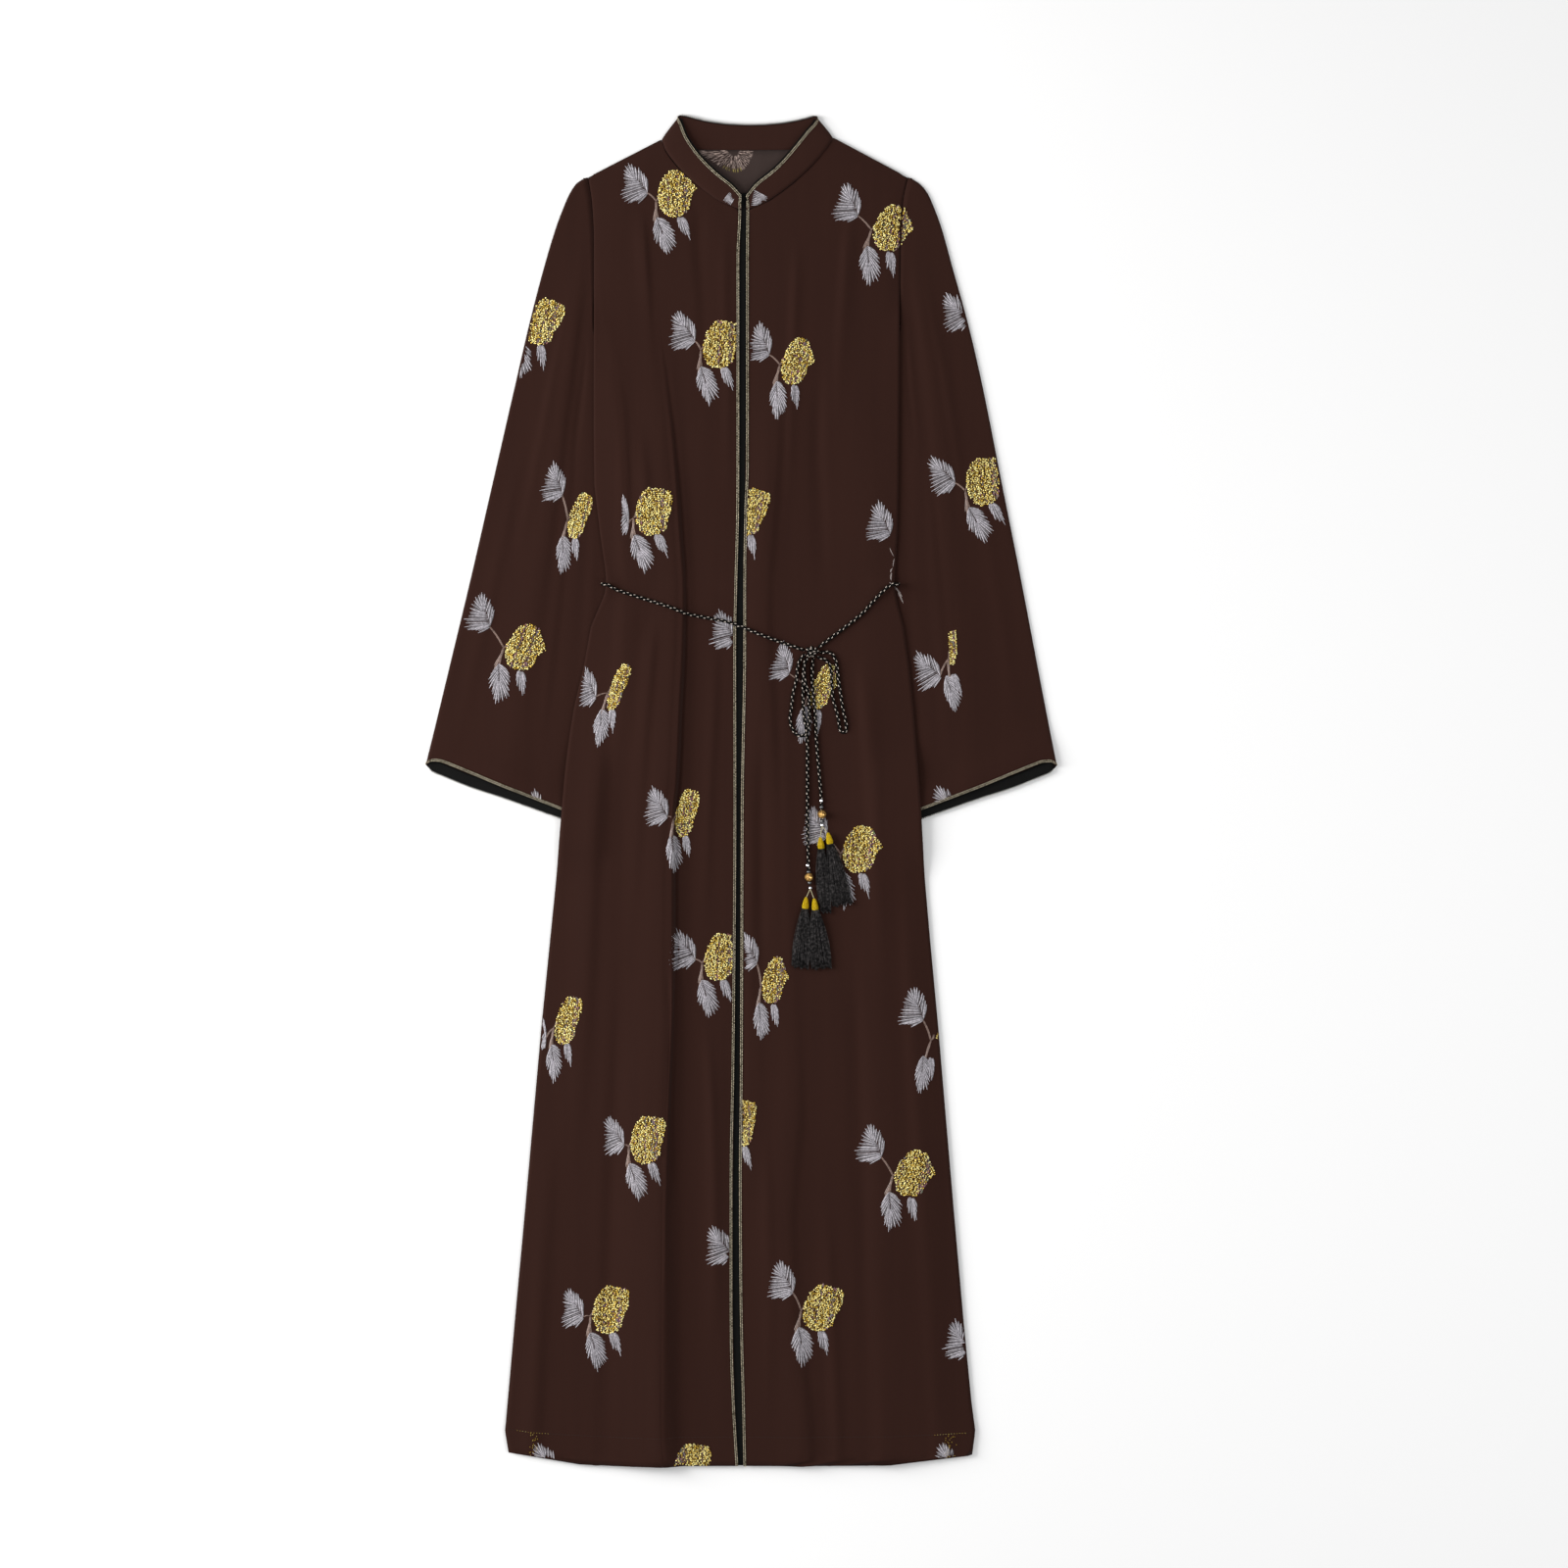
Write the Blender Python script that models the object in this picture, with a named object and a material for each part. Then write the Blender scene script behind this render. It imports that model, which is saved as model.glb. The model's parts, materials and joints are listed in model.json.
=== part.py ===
"""A long-sleeved abaya with a stand collar and a tied cord belt, lying flat on its back.

X runs across the garment, Y up towards the collar and Z up from the surface that it lies on. The
wearer's right is at -X. A distance called "down" is measured from the collar's top edge to the hem.
"""

import math
from bisect import bisect_right

import bmesh
import bpy
from mathutils import Vector
from mathutils.bvhtree import BVHTree

# Driving sizes, in metres
LENGTH = 1.4575
CLOTH = 0.0012
COLLAR_CLOTH = 0.0018
FACING = 0.0010
LAID_GAP = 0.0004
SEAM_GAP = 0.0003
HEM_TURN = 0.031
HEM_EXTRA = 0.0006
LOFT = 0.0030
BRAID_WIDTH = 0.0032
BRAID_THICKNESS = 0.0012
BRAID_START = 0.1036
TAPE_WIDTH = 0.0150
SLEEVE_GAP = 0.0006
CUFF_GAP = 0.0024
CUFF_FACING_DEPTH = 0.0130
BELT_RADIUS = 0.0018
CORD_SLOPE = 0.4
BELT_BACK_DOWN = 0.5070
BELT_EDGE_HEIGHT = 0.0142
BEAD_RADIUS = 0.0042
TASSEL_STRANDS = 28
TASSEL_LAYERS = 4
TASSEL_ROOT_WIDTH = 0.0066
TASSEL_ROOT_HEIGHT = 0.0042
TASSEL_TIP_HEIGHT = 0.0044
STRAND_ROOT_RADIUS = 0.00022
STRAND_TIP_RADIUS = 0.00055
STRAND_UNEVENNESS = 0.0012
RIGHT = -1
LEFT = 1

BRAID_STACK = SEAM_GAP + BRAID_THICKNESS
CUFF_LIFT = BRAID_STACK + 0.0001
SLEEVE_STACK = 2 * CLOTH + SLEEVE_GAP
CUFF_STACK = CUFF_LIFT + 2 * CLOTH + CUFF_GAP + BRAID_STACK

# How the fronts rise from their edges, clear the tape and pass from one support to the next
SIDE_RISE = 0.010
SHOULDER_RISE = 0.012
TAPE_REACH = 0.013
TAPE_EASE = 0.017
TAPE_CLEAR = 0.0001
SUPPORT_BLEND = 0.0008
FOLD_SHARES = {RIGHT: (0.40, 0.66), LEFT: (0.50, 0.86)}
NEGLIGIBLE_LIFT = 0.00002

# Where the sleeve under the back starts, reaches its full height, meets the cuff's layers and ends
SLEEVE_STARTS, SLEEVE_FULL = 0.190, 0.224
CUFF_STARTS, CUFF_FULL = 0.672, 0.708
CUFF_LEAVES, CUFF_GONE = 0.786, 0.826
BELT_RISE_REACH = 0.0085

# The sleeve's own shape: shares of its length from armhole to cuff, and of its width
SEAM_CLEAR = 0.0006
ARMHOLE_BEND = 4
CUFF_BEND = 6
CUFF_LIFT_AT, CUFF_LIFT_OVER = 0.950, 0.025
CUFF_OPENS_AT, CUFF_OPENS_OVER = 0.930, 0.030
OUTER_EDGE_SHARE = 0.09
INNER_EDGE_START, INNER_EDGE_SHARE = 0.80, 0.14
ARMHOLE_SHARE = 0.14
CUFF_BRAID_TOP = 0.98
CUFF_FACING_SHARES = (0.03, 0.12, 0.25, 0.40, 0.55, 0.70, 0.85, 0.965)
CUFF_FACING_DEPTHS = (0.0005, 0.0045, 0.0085, CUFF_FACING_DEPTH)
CUFF_FACING_TOP = 0.96

# The collar's height over the fronts near its fold and away from it, and its turn at the braid
COLLAR_LOW = 0.0026
COLLAR_RISE = 0.0026
COLLAR_RISE_OVER = 0.012
COLLAR_TOP_RISE = 0.0014
COLLAR_FOLD_ROWS = (7, 18)
COLLAR_TILT = 0.25
THROAT_RISE = 0.0012
THROAT_DROP = 0.0022

# The body's side edges as they lie: down, right x, left x
SIDE_EDGES = (
    (0.0676, -0.1653, 0.1791),
    (0.0924, -0.1611, 0.1738),
    (0.1320, -0.1590, 0.1712),
    (0.2256, -0.1590, 0.1706),
    (0.3840, -0.1590, 0.1696),
    (0.4474, -0.1527, 0.1685),
    (0.4900, -0.1468, 0.1660),
    (0.5070, -0.1455, 0.1650),
    (0.5240, -0.1500, 0.1675),
    (0.5457, -0.1611, 0.1735),
    (0.5742, -0.1643, 0.1780),
    (0.6165, -0.1759, 0.1833),
    (0.6800, -0.1865, 0.1886),
    (0.7538, -0.1939, 0.1939),
    (0.8278, -0.2000, 0.1981),
    (0.9545, -0.2129, 0.2097),
    (1.1658, -0.2319, 0.2277),
    (1.3771, -0.2509, 0.2467),
    (1.4353, -0.2551, 0.2525),
    (1.4500, -0.2540, 0.2520),
    (1.4575, -0.2500, 0.2480),
)

# The braid's centre line down each front edge: down, right x, left x
BRAID_LINES = (
    (0.0885, -0.0016, 0.0069),
    (0.1030, -0.0016, 0.0069),
    (0.1537, -0.0037, 0.0066),
    (0.3800, -0.0037, 0.0066),
    (0.4263, -0.0040, 0.0048),
    (0.5100, -0.0060, 0.0037),
    (0.5700, -0.0071, 0.0037),
    (0.7430, -0.0069, 0.0011),
    (0.9170, -0.0079, 0.0005),
    (1.0338, -0.0092, 0.0000),
    (1.1500, -0.0111, -0.0011),
    (1.2663, -0.0111, -0.0005),
    (1.3244, -0.0108, 0.0005),
    (1.3825, -0.0090, 0.0021),
    (1.4575, -0.0048, 0.0037),
)

# Rows of each front above the level of the neck's lowest point: side down, neck x, neck down
NECK_ROWS = {
    RIGHT: (
        (0.0676, -0.0861, 0.0269),
        (0.0790, -0.0815, 0.0407),
        (0.0924, -0.0703, 0.0560),
        (0.1060, -0.0490, 0.0755),
        (0.1190, -0.0217, 0.0946),
    ),
    LEFT: (
        (0.0676, 0.0988, 0.0248),
        (0.0790, 0.0905, 0.0380),
        (0.0924, 0.0760, 0.0560),
        (0.1060, 0.0555, 0.0755),
        (0.1190, 0.0270, 0.0950),
    ),
}

# Levels of the body's rows below the neck
BODY_DOWNS = (
    0.103, 0.132, 0.190, 0.207, 0.224, 0.245, 0.270, 0.2942, 0.345, 0.400, 0.450, 0.489, 0.4972,
    0.5035, 0.5105, 0.5168, 0.525, 0.552, 0.595, 0.640, 0.672, 0.690, 0.708, 0.745, 0.786, 0.806,
    0.826, 0.890, 0.980, 1.080, 1.190, 1.300, 1.390, 1.4255, 1.4275, 1.4575,
)
BACK_SKIPPED = (0.345, 0.450, 0.640, 0.745, 0.980, 1.190)

# The hem's line: x, down
HEM_LINE = (
    (-0.2551, 1.4490),
    (-0.2076, 1.4540),
    (-0.1125, 1.4575),
    (0.0800, 1.4575),
    (0.2467, 1.4530),
    (0.2525, 1.4480),
)
HEM_EASE_FROM = 1.350

# The back's top edge, shoulder to shoulder: x, down
BACK_TOP_EDGE = (
    (-0.1653, 0.0676),
    (-0.1400, 0.0546),
    (-0.1100, 0.0392),
    (-0.0861, 0.0269),
    (-0.0703, 0.0346),
    (-0.0438, 0.0375),
    (0.0050, 0.0377),
    (0.0500, 0.0375),
    (0.0840, 0.0347),
    (0.0988, 0.0248),
    (0.1250, 0.0388),
    (0.1550, 0.0548),
    (0.1791, 0.0676),
)

# Long folds. Each falls slowly on one side of its crest and steeply on the other.
# Rows: down, crest x, height
FOLDS = {
    RIGHT: (
        {
            "before": 0.018,
            "after": 0.007,
            "rows": (
                (0.1500, -0.1516, 0.0000),
                (0.1900, -0.1516, 0.0010),
                (0.2720, -0.1336, 0.0030),
                (0.3980, -0.1241, 0.0048),
                (0.4707, -0.1241, 0.0045),
                (0.5108, -0.1199, 0.0030),
                (0.5600, -0.1235, 0.0050),
                (0.6000, -0.1245, 0.0048),
                (0.7000, -0.1300, 0.0030),
                (0.8300, -0.1370, 0.0018),
                (1.0000, -0.1420, 0.0012),
                (1.4575, -0.1500, 0.0008),
            ),
        },
        {
            "before": 0.045,
            "after": 0.0052,
            "rows": (
                (0.2200, -0.0920, 0.0000),
                (0.2625, -0.0861, 0.0020),
                (0.3735, -0.0734, 0.0050),
                (0.4500, -0.0680, 0.0068),
                (0.5193, -0.0639, 0.0060),
                (0.5800, -0.0650, 0.0080),
                (0.6408, -0.0681, 0.0088),
                (0.7179, -0.0713, 0.0090),
                (0.7600, -0.0755, 0.0092),
                (0.9545, -0.0755, 0.0100),
                (1.0908, -0.0808, 0.0108),
                (1.2557, -0.0829, 0.0115),
                (1.4014, -0.0787, 0.0120),
                (1.4575, -0.0755, 0.0120),
            ),
        },
        {
            "before": 0.014,
            "after": 0.010,
            "rows": (
                (0.1200, -0.0450, 0.0000),
                (0.2000, -0.0430, 0.0012),
                (0.3500, -0.0400, 0.0014),
                (0.5000, -0.0350, 0.0008),
                (0.9000, -0.0300, 0.0012),
                (1.0500, -0.0265, 0.0028),
                (1.2000, -0.0248, 0.0030),
                (1.3500, -0.0270, 0.0018),
                (1.4575, -0.0300, 0.0008),
            ),
        },
    ),
    LEFT: (
        {
            "before": 0.010,
            "after": 0.007,
            "rows": (
                (0.6600, 0.0110, 0.0000),
                (0.7369, 0.0111, 0.0022),
                (0.8383, 0.0111, 0.0028),
                (1.0613, 0.0206, 0.0028),
                (1.1500, 0.0240, 0.0010),
                (1.4575, 0.0300, 0.0004),
            ),
        },
        {
            "before": 0.022,
            "after": 0.010,
            "rows": (
                (0.2500, 0.0440, 0.0000),
                (0.3006, 0.0407, 0.0020),
                (0.4200, 0.0330, 0.0040),
                (0.5436, 0.0259, 0.0036),
                (0.6651, 0.0312, 0.0038),
                (0.7400, 0.0350, 0.0015),
                (0.9500, 0.0550, 0.0012),
                (1.0708, 0.0597, 0.0040),
                (1.1585, 0.0500, 0.0042),
                (1.3042, 0.0555, 0.0045),
                (1.4046, 0.0692, 0.0046),
                (1.4575, 0.0710, 0.0042),
            ),
        },
        {
            "before": 0.030,
            "after": 0.022,
            "rows": (
                (0.2000, 0.1250, 0.0000),
                (0.3300, 0.1350, 0.0022),
                (0.4500, 0.1460, 0.0030),
                (0.5200, 0.1450, 0.0016),
                (0.6000, 0.1500, 0.0030),
                (0.7500, 0.1550, 0.0030),
                (1.0000, 0.1600, 0.0032),
                (1.4575, 0.1650, 0.0036),
            ),
        },
    ),
}

# The sleeves' edges as they lie, shoulder to cuff: x, down
SLEEVE_OUTER = {
    RIGHT: (
        (-0.1657, 0.0674),
        (-0.1759, 0.0724),
        (-0.1844, 0.0840),
        (-0.1928, 0.1030),
        (-0.1992, 0.1199),
        (-0.2129, 0.1650),
        (-0.2287, 0.2256),
        (-0.2435, 0.2890),
        (-0.2678, 0.3946),
        (-0.2921, 0.5003),
        (-0.3175, 0.6059),
        (-0.3403, 0.7010),
    ),
    LEFT: (
        (0.1795, 0.0674),
        (0.1896, 0.0724),
        (0.2002, 0.0840),
        (0.2087, 0.1030),
        (0.2150, 0.1199),
        (0.2277, 0.1650),
        (0.2446, 0.2256),
        (0.2594, 0.2890),
        (0.2805, 0.3946),
        (0.3016, 0.5003),
        (0.3217, 0.6059),
        (0.3403, 0.7020),
    ),
}
UNDERARM = {RIGHT: (-0.1347, 0.2942), LEFT: (0.1463, 0.2942)}
CUFF_INNER = {RIGHT: (-0.1506, 0.7710), LEFT: (0.1506, 0.7710)}
ARMHOLE_LEAVES_EDGE = 0.224
RAMP_INSETS = (0.002, 0.008, 0.014, 0.020)

# The cuff's front and back edges, outer end to inner end, as distances down from the straight
# line between the cuff's two folds: share of the way, front, back
CUFF_EDGES = (
    (0.00, 0.0000, 0.0000),
    (0.04, -0.0060, 0.0055),
    (0.10, -0.0085, 0.0060),
    (0.25, -0.0075, 0.0070),
    (0.45, -0.0058, 0.0055),
    (0.70, -0.0050, 0.0050),
    (0.90, -0.0040, 0.0040),
    (0.97, -0.0025, 0.0025),
    (1.00, 0.0000, 0.0000),
)

# Sleeve folds: share across from the outer edge at the top and at the cuff, slow and steep
# widths, and heights at the top, middle and cuff
SLEEVE_FOLDS = {
    RIGHT: (
        (0.43, 0.49, 0.035, 0.012, 0.0024, 0.0034, 0.0022),
        (0.76, 0.72, 0.012, 0.016, 0.0012, 0.0018, 0.0012),
    ),
    LEFT: (
        (0.38, 0.52, 0.030, 0.014, 0.0022, 0.0032, 0.0020),
        (0.62, 0.70, 0.012, 0.016, 0.0014, 0.0022, 0.0016),
    ),
}
SLEEVE_ROWS = (
    0.0, 0.03, 0.07, 0.12, 0.18, 0.26, 0.36, 0.47, 0.59, 0.71, 0.82, 0.915, 0.945, 0.965, 0.98, 1.0,
)
SLEEVE_FRONT_SHARES = (0.025, 0.08, 0.16, 0.25, 0.33, 0.40, 0.46, 0.53, 0.61, 0.70, 0.80, 0.90, 0.975)
SLEEVE_BACK_SHARES = (0.975, 0.80, 0.60, 0.40, 0.20, 0.025)

# The collar strip from the right front round the back to the left front, its seam edge and its
# top edge: seam x, seam down, top x, top down, turn (0 front layer, 1 back layer)
COLLAR_ROWS = (
    (-0.0001, 0.1024, -0.0001, 0.0885, 0.0),
    (-0.0100, 0.0986, -0.0045, 0.0825, 0.0),
    (-0.0217, 0.0938, -0.0111, 0.0755, 0.0),
    (-0.0446, 0.0778, -0.0269, 0.0629, 0.0),
    (-0.0675, 0.0562, -0.0481, 0.0407, 0.0),
    (-0.0815, 0.0372, -0.0597, 0.0227, 0.0),
    (-0.0845, 0.0290, -0.0650, 0.0090, 0.12),
    (-0.0858, 0.0262, -0.0675, 0.0030, 0.5),
    (-0.0835, 0.0275, -0.0645, 0.0004, 0.88),
    (-0.0780, 0.0302, -0.0600, 0.0010, 1.0),
    (-0.0620, 0.0352, -0.0480, 0.0040, 1.0),
    (-0.0438, 0.0366, -0.0360, 0.0068, 1.0),
    (-0.0120, 0.0371, -0.0100, 0.0100, 1.0),
    (0.0132, 0.0371, 0.0132, 0.0106, 1.0),
    (0.0386, 0.0371, 0.0400, 0.0090, 1.0),
    (0.0700, 0.0355, 0.0620, 0.0054, 1.0),
    (0.0890, 0.0290, 0.0750, 0.0020, 1.0),
    (0.0955, 0.0256, 0.0785, 0.0010, 0.88),
    (0.0984, 0.0240, 0.0812, 0.0036, 0.5),
    (0.0972, 0.0268, 0.0790, 0.0090, 0.12),
    (0.0935, 0.0325, 0.0720, 0.0170, 0.0),
    (0.0800, 0.0500, 0.0607, 0.0312, 0.0),
    (0.0560, 0.0728, 0.0390, 0.0560, 0.0),
    (0.0268, 0.0937, 0.0153, 0.0755, 0.0),
    (0.0150, 0.0990, 0.0095, 0.0825, 0.0),
    (0.0054, 0.1024, 0.0054, 0.0885, 0.0),
)
COLLAR_STEPS = 2

# The belt across the front, from the right side edge to the knot: x, down
BELT_RIGHT_ROUTE = (
    (-0.1420, 0.5085),
    (-0.1370, 0.5120),
    (-0.1220, 0.5172),
    (-0.1062, 0.5224),
    (-0.0893, 0.5277),
    (-0.0734, 0.5330),
    (-0.0607, 0.5383),
    (-0.0380, 0.5430),
    (-0.0174, 0.5467),
    (0.0005, 0.5531),
    (0.0200, 0.5610),
    (0.0354, 0.5668),
    (0.0530, 0.5730),
    (0.0678, 0.5780),
)
# From the knot to the left side edge: x, down
BELT_LEFT_ROUTE = (
    (0.0832, 0.5750),
    (0.0950, 0.5660),
    (0.1093, 0.5552),
    (0.1305, 0.5383),
    (0.1460, 0.5215),
    (0.1590, 0.5090),
    (0.1615, 0.5075),
)
KNOT = {
    "x": 0.0762,
    "down": 0.5795,
    "half_width": 0.0072,
    "half_length": 0.0060,
    "half_height": 0.0046,
}
LOOP_ROUTES = {
    "belt_loop_right": (
        (0.0686, 0.5821), (0.0629, 0.5890), (0.0607, 0.5964), (0.0597, 0.6080), (0.0555, 0.6260),
        (0.0540, 0.6408), (0.0523, 0.6513), (0.0534, 0.6590), (0.0586, 0.6668), (0.0650, 0.6714),
        (0.0713, 0.6672), (0.0734, 0.6513), (0.0734, 0.6355), (0.0713, 0.6207), (0.0680, 0.6059),
        (0.0678, 0.5932), (0.0718, 0.5862),
    ),
    "belt_loop_left": (
        (0.0846, 0.5805), (0.0946, 0.5800), (0.1004, 0.5858), (0.1030, 0.5943), (0.1051, 0.6122),
        (0.1072, 0.6270), (0.1093, 0.6408), (0.1115, 0.6503), (0.1128, 0.6580), (0.1100, 0.6668),
        (0.1058, 0.6577), (0.1030, 0.6450), (0.0988, 0.6302), (0.0977, 0.6144), (0.0967, 0.5996),
        (0.0935, 0.5905), (0.0870, 0.5868), (0.0815, 0.5853),
    ),
}
TAIL_ROUTES = {
    "belt_tail_right": (
        (0.0714, 0.5856), (0.0678, 0.5945), (0.0666, 0.6059), (0.0664, 0.6250), (0.0668, 0.6420),
        (0.0690, 0.6570), (0.0708, 0.6700), (0.0713, 0.6900), (0.0713, 0.7221), (0.0713, 0.7600),
        (0.0720, 0.8020), (0.0728, 0.8177),
    ),
    "belt_tail_left": (
        (0.0773, 0.5866), (0.0765, 0.5980), (0.0764, 0.6090), (0.0772, 0.6240), (0.0790, 0.6376),
        (0.0803, 0.6587), (0.0808, 0.6725), (0.0840, 0.7116), (0.0860, 0.7359), (0.0866, 0.7502),
    ),
}
BEADS = {"bead_right": (0.0729, 0.8225), "bead_left": (0.0868, 0.7549)}

# Tassels: cap top x and down, tip x and down, half the spread of the tips
TASSELS = {
    "tassel_right_outer": (0.0699, 0.8440, 0.0632, 0.9205, 0.0094),
    "tassel_right_inner": (0.0784, 0.8455, 0.0866, 0.9215, 0.0110),
    "tassel_left_inner": (0.0851, 0.7795, 0.0914, 0.8610, 0.0054),
    "tassel_left_outer": (0.0932, 0.7745, 0.1094, 0.8530, 0.0108),
}
CAP_LENGTH = 0.0125
CAP_PROFILE = ((0.0, 0.0012), (0.12, 0.0019), (0.45, 0.0035), (0.8, 0.0041), (1.0, 0.0040))


def smoothstep(share):
    share = min(1.0, max(0.0, share))
    return share * share * (3.0 - 2.0 * share)


def smooth_value(rows, column, at):
    """A column of a table at a distance in its first column, on a cubic that never overshoots."""
    keys = [row[0] for row in rows]
    if at <= keys[0]:
        return rows[0][column]
    if at >= keys[-1]:
        return rows[-1][column]
    steps = [keys[i + 1] - keys[i] for i in range(len(keys) - 1)]
    rises = [(rows[i + 1][column] - rows[i][column]) / steps[i] for i in range(len(steps))]

    def slope(i):
        if i == 0:
            return rises[0]
        if i == len(steps):
            return rises[-1]
        if rises[i - 1] * rises[i] <= 0:
            return 0.0
        return 2.0 * rises[i - 1] * rises[i] / (rises[i - 1] + rises[i])

    i = bisect_right(keys, at) - 1
    step = steps[i]
    t = (at - keys[i]) / step
    return (
        (2 * t**3 - 3 * t**2 + 1) * rows[i][column]
        + (t**3 - 2 * t**2 + t) * step * slope(i)
        + (3 * t**2 - 2 * t**3) * rows[i + 1][column]
        + (t**3 - t**2) * step * slope(i + 1)
    )


def measured(points):
    """The points as rows that start with the distance travelled, for smooth_value."""
    rows = [(0.0, *points[0])]
    for before, after in zip(points, points[1:]):
        rows.append((rows[-1][0] + math.dist(before, after), *after))
    return rows


def point_along(points, share):
    rows = measured(points)
    at = share * rows[-1][0]
    return [smooth_value(rows, column + 1, at) for column in range(len(points[0]))]


def place(x, down, z):
    return Vector((x, LENGTH / 2 - down, z))


def material(name, colour, roughness, metallic=0.0):
    made = bpy.data.materials.new(name)
    made.use_nodes = True
    shader = made.node_tree.nodes["Principled BSDF"]
    shader.inputs["Base Color"].default_value = (*colour, 1.0)
    shader.inputs["Roughness"].default_value = roughness
    shader.inputs["Metallic"].default_value = metallic
    return made


def add_solid(name, points, faces, look, smooth=True):
    mesh = bpy.data.meshes.new(name)
    mesh.from_pydata([tuple(point) for point in points], [], faces)
    shape = bmesh.new()
    shape.from_mesh(mesh)
    bmesh.ops.recalc_face_normals(shape, faces=shape.faces)
    shape.to_mesh(mesh)
    shape.free()
    if smooth:
        mesh.shade_smooth()
        mesh.set_sharp_from_angle(angle=math.radians(50))
    mesh.materials.append(look)
    solid = bpy.data.objects.new(name, mesh)
    bpy.context.scene.collection.objects.link(solid)
    return solid


def grid_normals(grid):
    """The upward normal at each point of a grid of rows and columns."""
    last_row = len(grid) - 1
    last_column = len(grid[0]) - 1
    normals = []
    for r, row in enumerate(grid):
        line = []
        for c in range(len(row)):
            along = grid[min(r + 1, last_row)][c] - grid[max(r - 1, 0)][c]
            across = grid[r][min(c + 1, last_column)] - grid[r][max(c - 1, 0)]
            normal = across.cross(along).normalized()
            line.append(normal if normal.z > 0 else -normal)
        normals.append(line)
    return normals


def add_wall(name, under, over, look):
    """A cloth wall between two grids of points, closed round its rim."""
    rows = len(under)
    columns = len(under[0])
    points = [point for row in under for point in row] + [point for row in over for point in row]

    def at(layer, r, c):
        return layer * rows * columns + r * columns + c

    faces = []
    for layer in (0, 1):
        for r in range(rows - 1):
            for c in range(columns - 1):
                corners = ((r, c), (r + 1, c), (r + 1, c + 1), (r, c + 1))
                faces.append(tuple(at(layer, *corner) for corner in corners))
    for r in range(rows - 1):
        for c in (0, columns - 1):
            faces.append((at(0, r, c), at(0, r + 1, c), at(1, r + 1, c), at(1, r, c)))
    for c in range(columns - 1):
        for r in (0, rows - 1):
            faces.append((at(0, r, c), at(0, r, c + 1), at(1, r, c + 1), at(1, r, c)))
    return add_solid(name, points, faces, look)


def add_strip(name, sections, look, closed=False):
    """A solid through sections that each hold the same number of points, in order round it."""
    count = len(sections[0])
    points = [point for section in sections for point in section]
    faces = []
    last = len(sections) if closed else len(sections) - 1
    for i in range(last):
        j = (i + 1) % len(sections)
        for k in range(count):
            m = (k + 1) % count
            faces.append((i * count + k, j * count + k, j * count + m, i * count + m))
    if not closed:
        faces.append(tuple(range(count)))
        faces.append(tuple((len(sections) - 1) * count + k for k in range(count)))
    return add_solid(name, points, faces, look)


# The body: where its edges run and how high each layer lies


def side_x(side, down):
    return smooth_value(SIDE_EDGES, 1 if side == RIGHT else 2, down)


def braid_x(side, down):
    return smooth_value(BRAID_LINES, 1 if side == RIGHT else 2, down)


def front_edge_x(side, down):
    return braid_x(side, down) - side * BRAID_WIDTH / 2


def with_hem(x, down):
    """The row's level at this x: the lowest rows ease into the hem's own line."""
    ease = smoothstep((down - HEM_EASE_FROM) / (LENGTH - HEM_EASE_FROM))
    return down - ease * (LENGTH - smooth_value(HEM_LINE, 1, x))


def hem_extra(down):
    return HEM_EXTRA if down > LENGTH - HEM_TURN else 0.0


def sleeve_inner_x(side, down):
    """The sleeve's hidden edge under the body."""
    arm_x, arm_down = UNDERARM[side]
    cuff_x, cuff_down = CUFF_INNER[side]
    if down >= arm_down:
        return arm_x + (cuff_x - arm_x) * (down - arm_down) / (cuff_down - arm_down)
    share = max(0.0, (down - ARMHOLE_LEAVES_EDGE) / (arm_down - ARMHOLE_LEAVES_EDGE))
    edge = side_x(side, ARMHOLE_LEAVES_EDGE)
    return edge + (arm_x - edge) * share**1.6


def over_sleeve(side, x, down):
    """1 above the sleeve, falling to 0 inboard of its hidden edge."""
    inboard = -side * (x - sleeve_inner_x(side, down))
    return 1.0 - smoothstep((inboard - RAMP_INSETS[0]) / (RAMP_INSETS[-1] - RAMP_INSETS[0]))


def ramp_columns(side, down):
    """Where the columns beside the sleeve stand, from the side edge inwards."""
    inner = sleeve_inner_x(side, down)
    return [inner - side * inset for inset in RAMP_INSETS]


def sleeve_rise(side, x, down):
    """How far the sleeve lifts the back off the surface."""
    across = over_sleeve(side, x, down)
    cuff = smoothstep((down - CUFF_STARTS) / (CUFF_FULL - CUFF_STARTS))
    height = SLEEVE_STACK + (CUFF_STACK - SLEEVE_STACK) * cuff
    begins = smoothstep((down - SLEEVE_STARTS) / (SLEEVE_FULL - SLEEVE_STARTS))
    ends = 1.0 - smoothstep((down - CUFF_LEAVES) / (CUFF_GONE - CUFF_LEAVES))
    return (height + LAID_GAP) * across * begins * ends


def belt_lift(side, x):
    """How far the sleeve's edge lifts the belt's hidden stretch."""
    return (SLEEVE_STACK + SEAM_GAP) * over_sleeve(side, x, BELT_BACK_DOWN)


def belt_rise(side, x, down):
    """How far the belt behind the body lifts the back."""
    top = belt_lift(side, x) + 2 * BELT_RADIUS + LAID_GAP
    return top * math.exp(-(((down - BELT_BACK_DOWN) / BELT_RISE_REACH) ** 4))


def side_of(x, down):
    middle = (braid_x(RIGHT, down) + braid_x(LEFT, down)) / 2
    return RIGHT if x < middle else LEFT


def back_under(x, down):
    side = side_of(x, down)
    lift = max(sleeve_rise(side, x, down), belt_rise(side, x, down))
    return lift if lift > NEGLIGIBLE_LIFT else 0.0


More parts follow.
